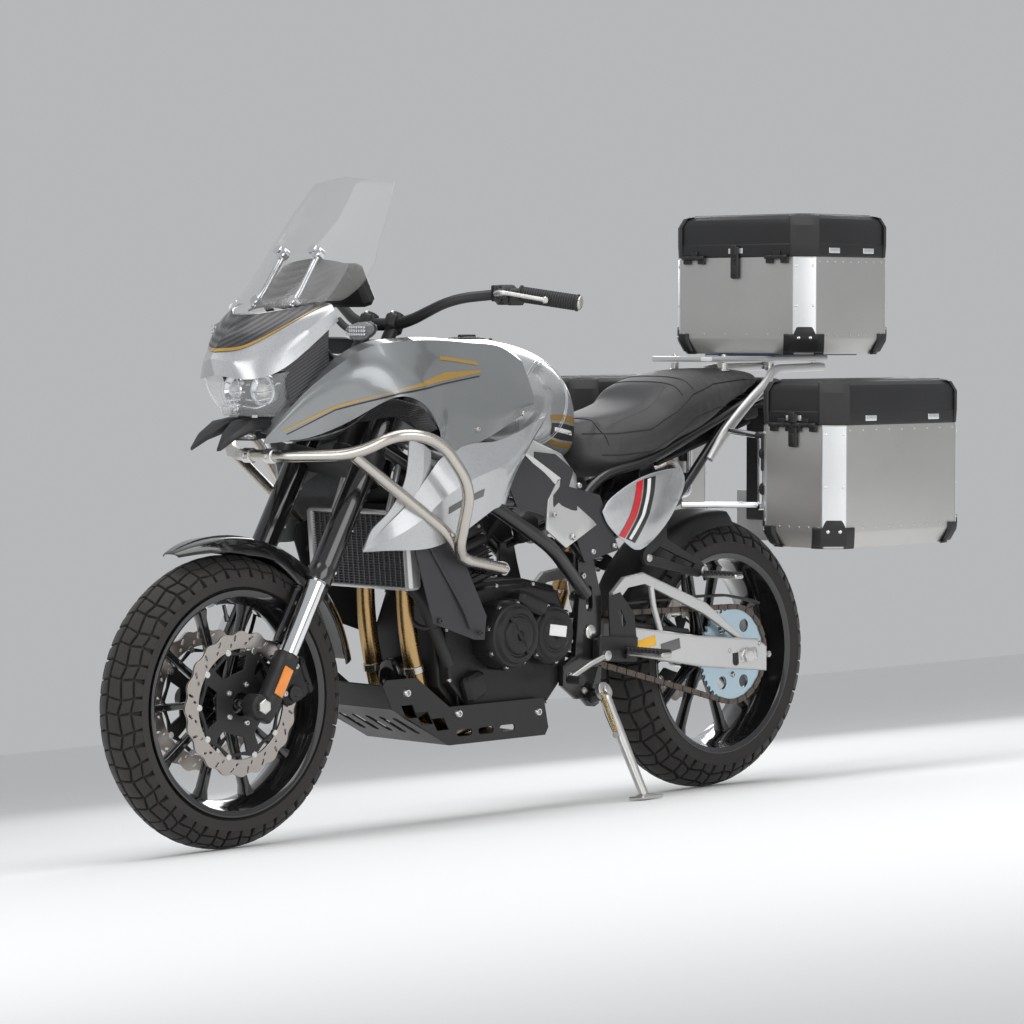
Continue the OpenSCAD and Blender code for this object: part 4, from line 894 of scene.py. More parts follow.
# %% Handlebar
bar = [Vector(p) for p in ((281.2, 0, 1068.7), (281.2, 70, 1068.7), (245, 180, 1122), (165, 275, 1134),
                           (96, 400, 1113))]
whole_bar = [Vector((p.x, -p.y, p.z)) for p in bar[:0:-1]] + bar[1:]
path = rounded(whole_bar, 45, 6)
make("handlebar_tube", Shape().tube(path, [11 + 3.0 * max(0, 1 - abs(p.y) / 150) for p in path], sides=24),
     satin_black, "steering", "handlebar")
grip_line = (bar[4] - bar[3]).normalized()
grips, boxes, levers, weights = Shape(), Shape(), Shape(), Shape()
start = bar[3].lerp(bar[4], 0.12)
length = (bar[4] - start).length
profile = [(0, 19), (4, 19), (5, 16)]
for k in range(22):
    d = 6 + k * (length - 12) / 22
    profile += [(d, 16.8), (d + 3.2, 16.8), (d + 3.8, 15.6), (d + 4.6, 15.6)]
profile += [(length - 5, 17), (length - 3, 18), (length, 18), (length, 12)]
grips.turned(profile, start, grip_line, 28)
weights.turned([(0, 14), (2, 15), (5, 15), (7, 12), (7, 4)], bar[4], grip_line, 28)
pivot = bar[3] + Vector((14, -8, 0))
boxes.block(bar[3] + Vector((4, -14, -4)), (44, 46, 42), (0, 0, -30), 9)
boxes.block(bar[3] + Vector((-2, 8, -8)), (40, 26, 36), (0, 0, -38), 7)
boxes.turned([(-34, 9), (-30, 11), (-2, 11), (0, 9.5), (0, 5), (-8, 5)], bar[3] + Vector((36, -10, 16)),
             (0, 0, 1), 24)
boxes.block(bar[3] + Vector((30, -4, -2)), (26, 34, 22), (0, 0, -30), 5)
boxes.block(bar[3] + Vector((-18, 6, 4)), (12, 14, 8), (0, 20, -38), 3)
lever = rounded([pivot, bar[3] + Vector((60, 8, -2)), bar[3] + Vector((66, 40, 0)),
                 bar[4] + Vector((60, -38, 6))], 26)
levers.tube(lever,
            [4.6 + 1.6 * math.sin(math.pi * min(1, i / (len(lever) - 1) * 1.2)) for i in range(len(lever))],
            sides=14)
levers.turned([(-5, 5), (-3, 7), (3, 7), (5, 5)], lever[-1], (0.3, 1, 0), 14)
make("bar_grips", grips.mirrored(), matt_black, "steering", "bar_controls", sharp=50)
make("bar_switch_boxes", boxes.mirrored(), satin_black, "steering", bevel=1.0)
make("bar_levers", join(levers, weights).mirrored(), bare_alloy, "steering")

# %% [markdown]
# ## Fender, calipers and hoses
# The fender follows the tyre as a thin crowned strip with a pointed front tip. A strip like this is
# a skin over cross-sections that turn about the axle, and a solidify modifier gives it thickness.

# %% Front fender, calipers, hoses
def arc_strip(axle_x, axle_z, radius, half_width, start, stop, crown, steps=48, flat=0.55):
    """Crowned strip round an axle, from one angle to another in degrees above the front."""
    shape = Shape()
    rows = []
    for i in range(steps + 1):
        t = i / steps
        angle = math.radians(start + (stop - start) * t)
        width = half_width(t)
        row = []
        for j in range(13):
            s = j / 6 - 1
            drop = crown(t) * max(0, (abs(s) - flat) / (1 - flat)) ** 1.6 + 1.2 * abs(s)
            reach = radius(t) - drop
            row.append(Vector((axle_x + reach * math.cos(angle), s * width,
                               axle_z + reach * math.sin(angle))))
        rows.append(row)
    start_at = len(shape.points)
    for row in rows:
        shape.points.extend(row)
    for i in range(steps):
        for j in range(12):
            a = start_at + i * 13 + j
            shape.faces.append((a, a + 1, a + 14, a + 13))
    return shape


fender = arc_strip(front_x, front_z, lambda t: 339 - 6 * t,
                   lambda t: 66 * min(1, 0.25 + t * 6) ** 0.7 - 14 * max(0, t - 0.5),
                   66, 168, lambda t: 34 * min(1, 0.2 + 3 * t))
make("front_fender_blade", fender, gloss_black, "steering", "front_fender", thick=3.5,
     bevel=0.8, sharp=50)
fender_ridge = Shape().tube([Vector((front_x + r * math.cos(a), 0, front_z + r * math.sin(a))) for r, a in
                             ((338.5 - 6 * k / 30, math.radians(67 + 95 * k / 30)) for k in range(31))],
                            [0.8 + 3.0 * math.sin(math.pi * min(1, 0.1 + k / 30)) for k in range(31)],
                            sides=10)
make("fender_ridge", fender_ridge, gloss_black, "steering")
stays = Shape()
for side in (-1, 1):
    stays.block((LEG_X + 4, side * 76, 206), (42, 14, 120), edge=5)
    stays.block((LEG_X + 4, side * 70, 262), (36, 26, 30), edge=5)
    stays.bolt((LEG_X + 12, side * 83, 236), (0, side, 0), 6)
    stays.bolt((LEG_X + 12, side * 83, 176), (0, side, 0), 6)
make("fender_stays", stays, gloss_black, "steering", space=FORK, bevel=1.5)

calipers, pistons = Shape(), Shape()
for side in (-1, 1):
    calipers.block((-82, side * 76, 92), (68, 26, 88), (0, 52, 0), 9)
    calipers.block((-80, side * 46, 92), (60, 16, 82), (0, 52, 0), 7)
    calipers.block((-110, side * 62, 121), (20, 46, 84), (0, 52, 0), 6)
    calipers.block((-52, side * 82, 60), (26, 12, 40), (0, 30, 0), 5)
    for a, b in ((-98, 70), (-66, 112)):
        pistons.turned([(0, 17), (8, 17), (10, 15), (10, 8), (8, 6)], (a + 4, side * 86, b + 2), (0, side, 0),
                       32)
    for a, b in ((-118, 104), (-84, 138), (-48, 58)):
        pistons.bolt((a, side * 84, b), (0, side, 0), 6.5)
make("front_caliper_bodies", calipers, engine_black, "steering", "front_calipers", FORK,
     bevel=2)
make("front_caliper_caps", pistons, satin_black, "steering", space=FORK, bevel=0.6)

hose_x = LEG_X - 27 - 4.4
hoses, fittings = Shape(), Shape()
for side in (-1, 1):
    line = [(hose_x, side * LEG_Y, 559), (hose_x, side * LEG_Y, 300), (hose_x - 4, side * 78, 200),
            (hose_x - 8, side * 78, 137)]
    hoses.tube(line, 4, 40, 12)
    for height in (520, 430, 330):
        fittings.block((hose_x + 5, side * LEG_Y, height), (20, 12, 9), edge=2)
    fittings.turned([(-8, 6.5), (-6, 8), (6, 8), (8, 6.5)], (hose_x - 8, side * 78, 138), (0, 1, 0), 18)
    fittings.turned([(0, 5.5), (22, 5.5), (24, 4.5)], (hose_x - 8, side * 78, 140), (0.03, 0, 1), 12)
make("front_hoses", hoses, matt_black, "steering", "brake_hoses", FORK)
make("hose_fittings", fittings, screw_steel, "steering", space=FORK)
print("steering done", len(made_pieces))

# %% [markdown]
# ## Curved panels from a few lines
# A fairing is a smooth sheet that is stretched over a few strong lines: its top edge, a crease and
# its lower edge. Each line is a handful of points, so a spline fills in the curve between them.
# `surface` does that along every line and then from line to line, but it keeps a crease sharp.

# %% Splines and surfaces
def spline(points, steps=5):
    """A smooth curve through all the points."""
    points = [Vector(p) for p in points]
    padded = [points[0] * 2 - points[1]] + points + [points[-1] * 2 - points[-2]]
    curve = []
    for a, b, c, d in zip(padded, padded[1:], padded[2:], padded[3:]):
        for k in range(steps):
            t = k / steps
            curve.append(0.5 * (2 * b + (c - a) * t + (2 * a - 5 * b + 4 * c - d) * t ** 2
                                + (3 * b - a - 3 * c + d) * t ** 3))
    return curve + [points[-1]]


def spread(points, count):
    """The same line with its points at equal distances."""
    points = [Vector(p) for p in points]
    marks = [0.0]
    for a, b in zip(points, points[1:]):
        marks.append(marks[-1] + (b - a).length)
    even = []
    index = 0
    for k in range(count):
        at = marks[-1] * k / (count - 1)
        while index < len(points) - 2 and marks[index + 1] < at:
            index += 1
        reach = marks[index + 1] - marks[index]
        even.append(points[index].lerp(points[index + 1], (at - marks[index]) / reach if reach else 0))
    return even


def grid(rows, shape=None):
    """A sheet over rows of points."""
    shape = shape or Shape()
    start = len(shape.points)
    count = len(rows[0])
    for row in rows:
        shape.points.extend(Vector(p) for p in row)
    for i in range(len(rows) - 1):
        for j in range(count - 1):
            a = start + i * count + j
            shape.faces.append((a, a + 1, a + count + 1, a + count))
    return shape


def surface(lines, creases=(), count=44, across=5):
    """A smooth sheet through lines of points, folded sharply along the lines listed as creases."""
    lines = [spread(spline(line), count) for line in lines]
    cuts = [0] + list(creases) + [len(lines) - 1]
    columns = []
    for j in range(count):
        column = []
        for a, b in zip(cuts, cuts[1:]):
            part = spline([line[j] for line in lines[a:b + 1]], across) if b - a > 1 else \
                [lines[a][j].lerp(lines[b][j], k / 3) for k in range(4)]
            column += part if not column else part[1:]
        columns.append(column)
    return grid(columns)


def panel(outline, bulge=6, levels=5, smooth=2):
    """A flat-ish panel inside an outline, crowned towards its middle."""
    edge = [Vector(p) for p in outline]
    closed = []
    for i, corner in enumerate(edge):
        before, after = edge[i - 1], edge[(i + 1) % len(edge)]
        for k in range(smooth + 1):
            t = k / (smooth + 1)
            closed.append(corner.lerp(after, t))
    middle = sum(closed, Vector()) / len(closed)
    side = math.copysign(1, middle.y)
    shape = Shape()
    for k in range(levels):
        t = k / levels
        shape.points.extend(p.lerp(middle, t) + Vector((0, side * bulge * (1 - (1 - t) ** 2),
                                                        0)) for p in closed)
    shape.points.append(middle + Vector((0, side * bulge, 0)))
    n = len(closed)
    for k in range(levels - 1):
        for j in range(n):
            a, b = k * n + j, k * n + (j + 1) % n
            shape.faces.append((a, b, b + n, a + n))
    for j in range(n):
        shape.faces.append(((levels - 1) * n + j, (levels - 1) * n + (j + 1) % n, levels * n))
    return shape


def touch(piece, side=1):
    """A function that finds where a sideways line meets a piece."""
    mesh = piece.data
    tree = BVHTree.FromPolygons([v.co.copy() for v in mesh.vertices],
                                [tuple(p.vertices) for p in mesh.polygons])
    inward = (BIKE.to_3x3() @ Vector((0, -side, 0))).normalized()

    def find(x, z, lift=0.8, otherwise=150):
        hit = tree.ray_cast(BIKE @ Vector((x, side * 600, z)), inward)[0]
        y = (STRAIGHT @ hit).y + side * lift if hit is not None else side * otherwise
        return Vector((x, y, z))
    return find


def decal(find, top, bottom, count=30, rows=5, lift=0.8):
    """A thin film between two lines, laid on a surface."""
    top = spread([(x, 0, z) for x, z in top], count)
    bottom = spread([(x, 0, z) for x, z in bottom], count)
    lines = []
    last = 150
    for k in range(rows):
        line = []
        for a, b in zip(top, bottom):
            spot = a.lerp(b, k / (rows - 1))
            found = find(spot.x, spot.z, lift, last)
            last = abs(found.y)
            line.append(found)
        lines.append(line)
    return grid(lines)


# %% [markdown]
# ## Fuel tank
# The tank is a loft: rounded oblong sections from front to back, joined by splines so that the
# light runs over it without steps. Raised oval lines and the filler cap are laid on afterwards.

# %% Fuel tank
def oblong(x, half, low, high, power=2.6, sides=56):
    points = []
    for j in range(sides):
        a = 2 * math.pi * (j + 0.5) / sides
        c, s = math.cos(a), math.sin(a)
        points.append(Vector((x, half * math.copysign(abs(c) ** (2 / power), c),
                              (low + high) / 2 + (high - low) / 2 * math.copysign(abs(s) ** (2 / power), s))))
    return points


def loft(sections, steps=5):
    """Skin over sections, with splines from one to the next."""
    lines = [spline([section[j] for section in sections], steps) for j in range(len(sections[0]))]
    return Shape().skin([[line[i] for line in lines] for i in range(len(lines[0]))])


tank_sections = [oblong(*values) for values in (
    (211, 138, 930, 1021), (197, 160, 866, 1026), (176, 175, 816, 1030), (80, 184, 775, 1038), (-30, 163, 765,
        1031),
    (-130, 124, 766, 1006), (-200, 93, 768, 966), (-228, 76, 773, 925), (-235, 62, 785, 895))]
tank = make("fuel_tank_shell", loft(tank_sections), pearl, "chassis", "fuel_tank", sharp=60)
on_tank = touch(tank)
relief = Shape()
for scale, radius in ((1.0, 1.6), (0.93, 1.1)):
    oval = []
    for k in range(64):
        a = 2 * math.pi * k / 64
        oval.append(on_tank(-62 + 118 * scale * math.cos(a) - 26 * math.sin(a),
                            900 + 92 * scale * math.sin(a), 0.1))
    relief.tube(oval, radius, sides=8, loop=True)
make("tank_relief", relief.mirrored(), pearl, "chassis")
cap = Shape()
cap.turned([(-12, 60), (0, 60), (4, 57), (6, 50), (3, 46), (3, 40), (9, 38), (11, 30), (11, 8)], (28, 0,
    1031), (0, 0, 1), 48)
cap.block((28, 0, 1043), (46, 14, 8), edge=3)
for k in range(6):
    a = 2 * math.pi * k / 6
    cap.bolt((28 + 53 * math.cos(a), 53 * math.sin(a), 1036), (0, 0, 1), 4)
make("filler_cap", cap, satin_black, "chassis", bevel=0.6)


def film(name, material, find, *bands, both=True, slot="silver_paint", lift=0.8):
    """A few thin films of one colour on the bodywork."""
    shape = join(*[decal(find, top, bottom, lift=lift) for top, bottom in bands])
    if both:
        shape = shape.mirrored()
    make(name, shape, material, "chassis", outward=False)


film("tank_flash_gold", gold_film, on_tank, ([(-82, 874), (-150, 873), (-220, 866)],
                                             [(-92, 862), (-155, 858), (-222, 850)]),
     ([(-98, 822), (-160, 812), (-226, 806)], [(-96, 812), (-160, 801), (-225, 795)]))
film("tank_flash_black", black_film, on_tank, ([(-95, 857), (-155, 853), (-222, 845)],
                                               [(-98, 827), (-160, 817), (-226, 811)]))
film("tank_flash_white", white_film, on_tank, ([(-112, 847), (-150, 843), (-206, 835)],
                                               [(-114, 838), (-152, 833), (-208, 826)]))
print("tank done")

# %% [markdown]
# ## Side fairings, wings and vents
# Each side has three layers: the big shell with its crease, a bright wing below it and a dark
# knee panel behind. The shell's lower front edge folds in to a ribbed vent, which gives the depth.

# %% Fairings
shell_lines = [
    [(655, 40, 850), (585, 84, 936), (520, 118, 1000), (462, 134, 1030), (380, 136, 1040), (280, 132, 1042),
     (180, 126, 1036), (90, 118, 1037), (20, 112, 1024)],
    [(655, 62, 846), (590, 110, 934), (522, 150, 995), (464, 168, 1024), (380, 172, 1034), (280, 168, 1036),
     (180, 164, 1030), (90, 162, 1022), (20, 160, 990)],
    [(660, 64, 838), (592, 116, 915), (522, 166, 965), (455, 192, 990), (370, 200, 990), (280, 198, 985),
     (185, 193, 975), (95, 189, 960), (10, 180, 930)],
    [(661, 62, 832), (590, 114, 880), (520, 165, 918), (448, 212, 945), (381, 228, 948), (300, 222, 925),
     (200, 212, 900), (110, 204, 885), (8, 186, 900)],
    [(660, 58, 826), (585, 110, 838), (517, 150, 868), (445, 222, 921), (385, 242, 905), (343, 246, 855),
     (305, 224, 806), (184, 210, 827), (39, 188, 880)]]
shell = make("fairing_shells", surface(shell_lines, (1, 3), 60).mirrored(), silver, "chassis",
             "side_fairings", thick=3, sharp=26)
on_shell = touch(shell)
vent_edge = [(640, 70, 833), (589, 108, 836), (511, 140, 858), (474, 176, 896), (450, 212, 917), (423, 224,
    912),
             (381, 236, 896), (346, 240, 855)]
vent_back = [(600, 40, 832), (560, 70, 834), (500, 90, 838), (460, 110, 866), (432, 130, 873), (395, 150,
    880),
             (357, 165, 870), (330, 180, 842)]
# Ribbed trim whose colour carries painted highlight and shade along its ribs.
ribbed_trim_painted_shade = ribbed("ribbed_black_painted_shade", (0.020, 0.020, 0.022), (0.5, 0.0, 0.86), 6.5)
make("fairing_vents", surface([vent_edge, vent_back], (), 30).mirrored(), ribbed_trim_painted_shade, "chassis",
     thick=3)
wing_lines = [
    [(474, 152, 606), (440, 178, 650), (392, 200, 700), (345, 214, 760), (306, 217, 797), (228, 217, 820),
     (146, 211, 824), (60, 203, 846), (-25, 184, 872)],
    [(474, 153, 604), (430, 190, 628), (370, 215, 665), (310, 232, 715), (250, 240, 745), (190, 236, 762),
     (130, 222, 775), (60, 206, 800), (0, 187, 850)],
    [(473, 151, 602), (420, 180, 604), (357, 200, 604), (305, 206, 612), (250, 210, 632), (198, 213, 660),
     (150, 205, 680), (112, 196, 695), (60, 186, 780)]]
wing = make("wing_panels", surface(wing_lines, (1,), 50).mirrored(), pearl, "chassis",
            "radiator_shrouds", thick=3, sharp=26)
blade_lines = [
    [(409, 223, 833), (400, 200, 750), (428, 185, 688), (465, 170, 648), (474, 155, 607)],
    [(375, 230, 822), (366, 212, 742), (402, 192, 682), (448, 172, 640), (473, 153, 605)],
    [(342, 216, 808), (335, 205, 750), (378, 190, 678), (421, 174, 648), (472, 150, 604)]]
make("fin_blades", surface(blade_lines, (1,), 30).mirrored(), pearl, "chassis", thick=4,
     sharp=26)
guard_outline = [(361, 188, 606), (355, 188, 643), (310, 188, 653), (214, 188, 564), (150, 184, 455),
                 (151, 179, 404),
                 (181, 179, 406), (305, 184, 447)]
guards = panel(guard_outline, 4)
for k in range(3):
    guards.tube([(335 - k * 9, 193, 625 - k * 14), (255 - k * 16, 193, 520 - k * 26), (196 + k * 2, 187,
        430)], 2.2, 20, 8)
guards.rod((325, 160, 590), (325, 186, 590), 8)
for x, z in ((338, 628), (172, 420), (290, 452)):
    guards.bolt((x, 188, z), (0, 1, 0), 6)
make("radiator_guards", guards.mirrored(), panel_grey, "chassis", thick=3)
strips = surface([[(-48, 170, 874), (20, 186, 812), (70, 190, 750), (98, 188, 688)],
                  [(-38, 180, 878), (33, 194, 816), (84, 199, 753), (112, 194, 690)],
                  [(-22, 178, 880), (46, 193, 822), (97, 198, 757), (124, 191, 694)]], (), 20)
make("fairing_edge_strips", strips.mirrored(), pearl, "chassis", thick=4, sharp=40)
film("fairing_sweep_gold", gold_film, on_shell,
     ([(633, 852), (543, 905), (422, 939), (290, 970), (174, 973)], [(631, 850), (543, 899), (437, 934),
                                                                     (318, 950), (179, 968)]),
     ([(290, 1003), (240, 998), (179, 990)], [(300, 996), (240, 990), (182, 983)]))
film("fairing_line_black", black_film, on_shell,
     ([(625, 846), (543, 896), (437, 930), (318, 946), (184, 962)], [(624, 844), (543, 893), (437, 926),
                                                                     (318, 943), (184, 959)]))
on_wing = touch(wing)
film("wing_patch_grey", grey_film, on_wing, ([(300, 690), (250, 712), (200, 726)],
                                             [(298, 676), (250, 697), (200, 710)]))

knee = panel([(24, 163, 801), (85, 174, 750), (46, 172, 679), (-87, 168, 648), (-139, 160, 754), (-80, 162,
    790)], 5)
make("knee_panels_upper", knee.mirrored(), panel_grey, "chassis", "knee_panels", thick=3)
shield = panel([(16, 160, 833), (33, 168, 806), (-85, 172, 739), (-48, 172, 693), (-39, 175, 629), (-101, 175,
    587),
                (-203, 168, 633), (-164, 152, 688), (-186, 122, 741), (-120, 140, 790)], 4)
make("knee_shields", shield.mirrored(), arm_silver, "chassis", thick=4, bevel=1, sharp=40)
cover = panel([(-41, 168, 736), (-118, 168, 647), (-165, 168, 554), (-281, 162, 575), (-250, 160, 640), (-223,
    158, 697)], 3)
make("knee_covers_lower", cover.mirrored(), panel_grey, "chassis", thick=3)
knee_screws = Shape()
for x, y, z in ((-60, 178, 660), (-120, 176, 610), (-150, 164, 720), (20, 170, 812), (-190, 168, 575), (-260,
    166, 585)):
    knee_screws.bolt((x, y, z), (0, 1, 0), 7)
for x, y, z in ((205, 214, 850), (60, 204, 880)):
    knee_screws.bolt((x, y, z), (0, 1, 0.2), 6)
make("panel_screws", knee_screws.mirrored(), screw_steel, "chassis")

oval = [(-221, 168, 661), (-252, 168, 692), (-350, 164, 733), (-466, 154, 749), (-504, 150, 735), (-498, 152,
    695),
        (-434, 160, 624), (-345, 166, 572), (-284, 168, 597), (-240, 168, 631)]
closed_oval = [p for p in spline(oval + oval[:1], 4)][:-1]
side_cover = make("side_covers", panel(closed_oval, 14, 7, 0).mirrored(), pearl, "chassis",
                  "side_panels", thick=4, bevel=1.2, sharp=50)
on_cover = touch(side_cover)
film("cover_stripe_red", red_film, on_cover, ([(-330, 722), (-300, 650), (-272, 606)],
                                              [(-352, 728), (-322, 650), (-290, 600)]))
film("cover_stripe_black", black_film, on_cover, ([(-356, 729), (-326, 650), (-294, 599)],
                                                  [(-396, 734), (-362, 650), (-322, 588)]))
film("cover_stripe_white", white_film, on_cover, ([(-366, 728), (-336, 650), (-302, 600)],
                                                  [(-378, 730), (-347, 650), (-310, 596)]),
     lift=1.4)
print("side panels done", len(made_pieces))

# %% [markdown]
# ## Nose, headlight and screen
# The nose is a V of silver round a black insert. Both come from the same two lines: the insert
# is the part between them that lies closer to the upper line. The headlight is a clear shell
# over a dark bowl with two reflectors, because an empty clear block never looks like a lamp.

# %% Nose cowl and beak
nose_top = [(664, 0, 1090), (655, 40, 1092), (612, 92, 1102), (552, 128, 1112)]
nose_bulge = [(712, 0, 1050), (694, 54, 1048), (638, 106, 1070), (555, 147, 1109)]
nose_edge = [(752, 0, 1000), (721, 62, 992), (656, 113, 1024), (558, 158, 1098)]
nose_under = [(742, 0, 966), (713, 80, 958), (651, 119, 984), (546, 158, 1076)]
make("nose_cowl_shell", surface([nose_top, nose_bulge, nose_edge, nose_under], (2,), 32, 6).mirrored(), pearl,
     "chassis", "nose_cowl", thick=3, sharp=28)


def nose_band(low, high, lift, taper):
    """Part of the nose between its top line and its edge; the reach shrinks towards the ends."""
    columns = []
    for a, b, c in zip(*(spread(spline(line), 32) for line in (nose_top, nose_bulge, nose_edge))):
        column = spline([a, b, c], 10)
        share = 0.88 - taper * len(columns) / 31
        out = Vector((0.75, 0.25, 0.6)).normalized() * lift
        row = []
        for k in range(9):
            at = (low + (high - low) * k / 8) * share * (len(column) - 1)
            i = min(int(at), len(column) - 2)
            row.append(column[i].lerp(column[i + 1], at - i) + out)
        columns.append(row)
    return grid(columns)


make("nose_insert", nose_band(0.04, 0.93, 1.6, 0.55).mirrored(), ribbed_trim_painted_shade, "chassis",
     outward=False)
make("nose_outline", nose_band(0.93, 1.0, 2.0, 0.55).mirrored(), gold_film, "chassis",
     outward=False)
ears = surface([[(646, 98, 1000), (600, 118, 1030), (556, 138, 1066)], [(630, 92, 940), (590, 104, 960),
    (540, 118, 1010)],
                [(606, 84, 884), (566, 96, 900), (520, 108, 940)]], (), 12)
make("nose_side_panels", ears.mirrored(), ribbed_trim_painted_shade, "chassis", thick=3)
prong = Shape()
prong.skin([[(640, 6, 878), (640, 56, 878), (640, 60, 866), (640, 56, 856), (640, 6, 850)],
            [(672, 6, 879), (672, 42, 879), (672, 60, 866), (672, 54, 855), (672, 6, 848)],
            [(706, 9, 872), (698, 58, 872), (697, 70, 860), (700, 66, 850), (708, 9, 847)],
            [(740, 20, 848), (735, 54, 850), (735, 64, 842), (737, 58, 835), (742, 20, 834)],
            [(770, 39, 819), (766, 46, 820), (765, 50, 817), (766, 46, 813), (771, 39, 812)]])
make("beak_prongs", prong.mirrored(), satin_black, "chassis", "beak", bevel=2)

# %% Headlight
lens_top = [(724, 0, 953), (716, 50, 956), (686, 92, 963), (604, 104, 978)]
lens_mid = [(724, 0, 925), (713, 42, 926), (684, 78, 930), (604, 92, 936)]
lens_low = [(700, 0, 884), (692, 26, 884), (672, 46, 882), (604, 60, 880)]
lens = surface([lens_top, lens_mid, lens_low], (), 26, 5).mirrored()
make("headlight_lens", lens, lens_clear, "chassis", "headlight", thick=2, sharp=50)
bowl, mirrors, lamp = Shape(), Shape(), Shape()
bowl.skin([[(606, y, z) for y, z in ((-100, 976), (100, 976), (90, 934), (58, 882), (-58, 882), (-90, 934))],
           [(622, y, z) for y, z in ((-96, 972), (96, 972), (86, 932), (54, 884), (-54, 884), (-86, 932))]])
for side in (-1, 1):
    mirrors.turned([(0, 30), (6, 33), (20, 33), (22, 31), (22, 27), (8, 14), (8, 4)], (634, side * 44, 934),
                   (1, side * 0.12, 0), 40)
    lamp.turned([(0, 16), (10, 15), (16, 10), (18, 3)], (642, side * 44, 934), (1, side * 0.12, 0), 28)
    for k in range(4):
        row = [(640 + 12 * k, side * 8, 946 - 15 * k), (652 + 8 * k, side * (40 + 3 * k), 944 - 15 * k),
               (634 + 8 * k, side * (80 - 7 * k), 950 - 15 * k)]
        mirrors.tube(spline(row, 6), 2.4, sides=8)
mirrors.turned([(0, 12), (10, 14), (12, 12), (4, 5)], (680, 0, 900), (1, 0, 0), 28)
make("headlight_bowl", bowl, satin_black, "chassis", bevel=2)
make("headlight_reflectors", mirrors, chrome, "chassis")
make("headlight_bulbs", lamp, glow_white, "chassis")

# %% Windscreen, its arms and the panel behind it
screen_rows = ((670, 1091, 134, 100, -24), (614, 1136, 166, 82, 12), (540, 1190, 178, 66, 12), (490, 1250,
    164, 52, 12),
               (436, 1310, 148, 36, 12), (384, 1376, 122, 24, 12))
screen_lines = [[(x - sweep * (j / 6) ** 2, w * j / 6, z - drop * abs(j / 6)) for j in range(-6, 7)]
                for x, z, w, sweep, drop in screen_rows]
make("windscreen_sheet", surface(screen_lines, (), 49, 6), screen_clear, "chassis", "windscreen",
              thick=3.5, bevel=0.8, sharp=60)
back_panel = surface([[(600, 0, 1108), (598, 40, 1104), (588, 74, 1098)], [(552, 0, 1124), (548, 60, 1118),
    (540, 106, 1110)],
                      [(512, 0, 1162), (508, 60, 1158), (500, 106, 1152)], [(474, 0, 1206), (470, 60, 1200),
                          (464, 100, 1192)]],
                     (1,), 20).mirrored()
make("screen_backing", back_panel, ribbed_trim_painted_shade, "chassis", "screen_bracket", thick=4,
     bevel=0.8)
arms, stays = Shape(), Shape()
for side in (-1, 1):
    arms.tube([(586, side * 58, 1104), (562, side * 57, 1132), (524, side * 55, 1188), (503, side * 54,
        1218)], 6.5, 12)
    for spot in ((578, side * 58, 1116), (506, side * 54, 1214)):
        arms.turned([(-9, 9), (-7, 12), (7, 12), (9, 10), (9, 5)], spot, (0.83, 0, 0.56), 28)
    arms.turned([(0, 9), (3, 11), (5, 11), (6, 8)], (521, side * 54, 1221), (0.77, 0, 0.63), 24)
    stays.tube([(556, side * 50, 1106), (470, side * 34, 1010), (330, side * 16, 905)], 8, 30, 16)
    stays.tube([(466, side * 60, 1193), (430, side * 60, 1168), (402, side * 60, 1152)], 6, 10, 14)
make("screen_arms", arms, chrome, "chassis")
make("screen_stays", stays, satin_black, "chassis")

dash = Shape()
dash.block((394, 0, 1150), (36, 154, 92), (0, 28, 0), 12)
dash.block((384, 0, 1146), (26, 132, 74), (0, 28, 0), 8)
make("dash_housing", dash, satin_black, "chassis", "instrument_panel", bevel=2)
face_place = Matrix.Translation((372, 0, 1139)) @ Matrix.Rotation(math.radians(28 + 180), 4, "Y")
dials = Shape()
for y, r in ((-34, 27), (36, 22)):
    dials.turned([(0, r), (3, r), (4, r - 2), (2.5, r - 4), (2.5, 3)], face_place @ Vector((0, y, 4)),
                 face_place.to_3x3() @ Vector((1, 0, 0)), 40)
for k in range(4):
    dials.bolt(face_place @ Vector((0, -18 + k * 12, -32)), face_place.to_3x3() @ Vector((1, 0, 0)), 3.5,
               False)
make("dash_dials", dials, chrome, "chassis")

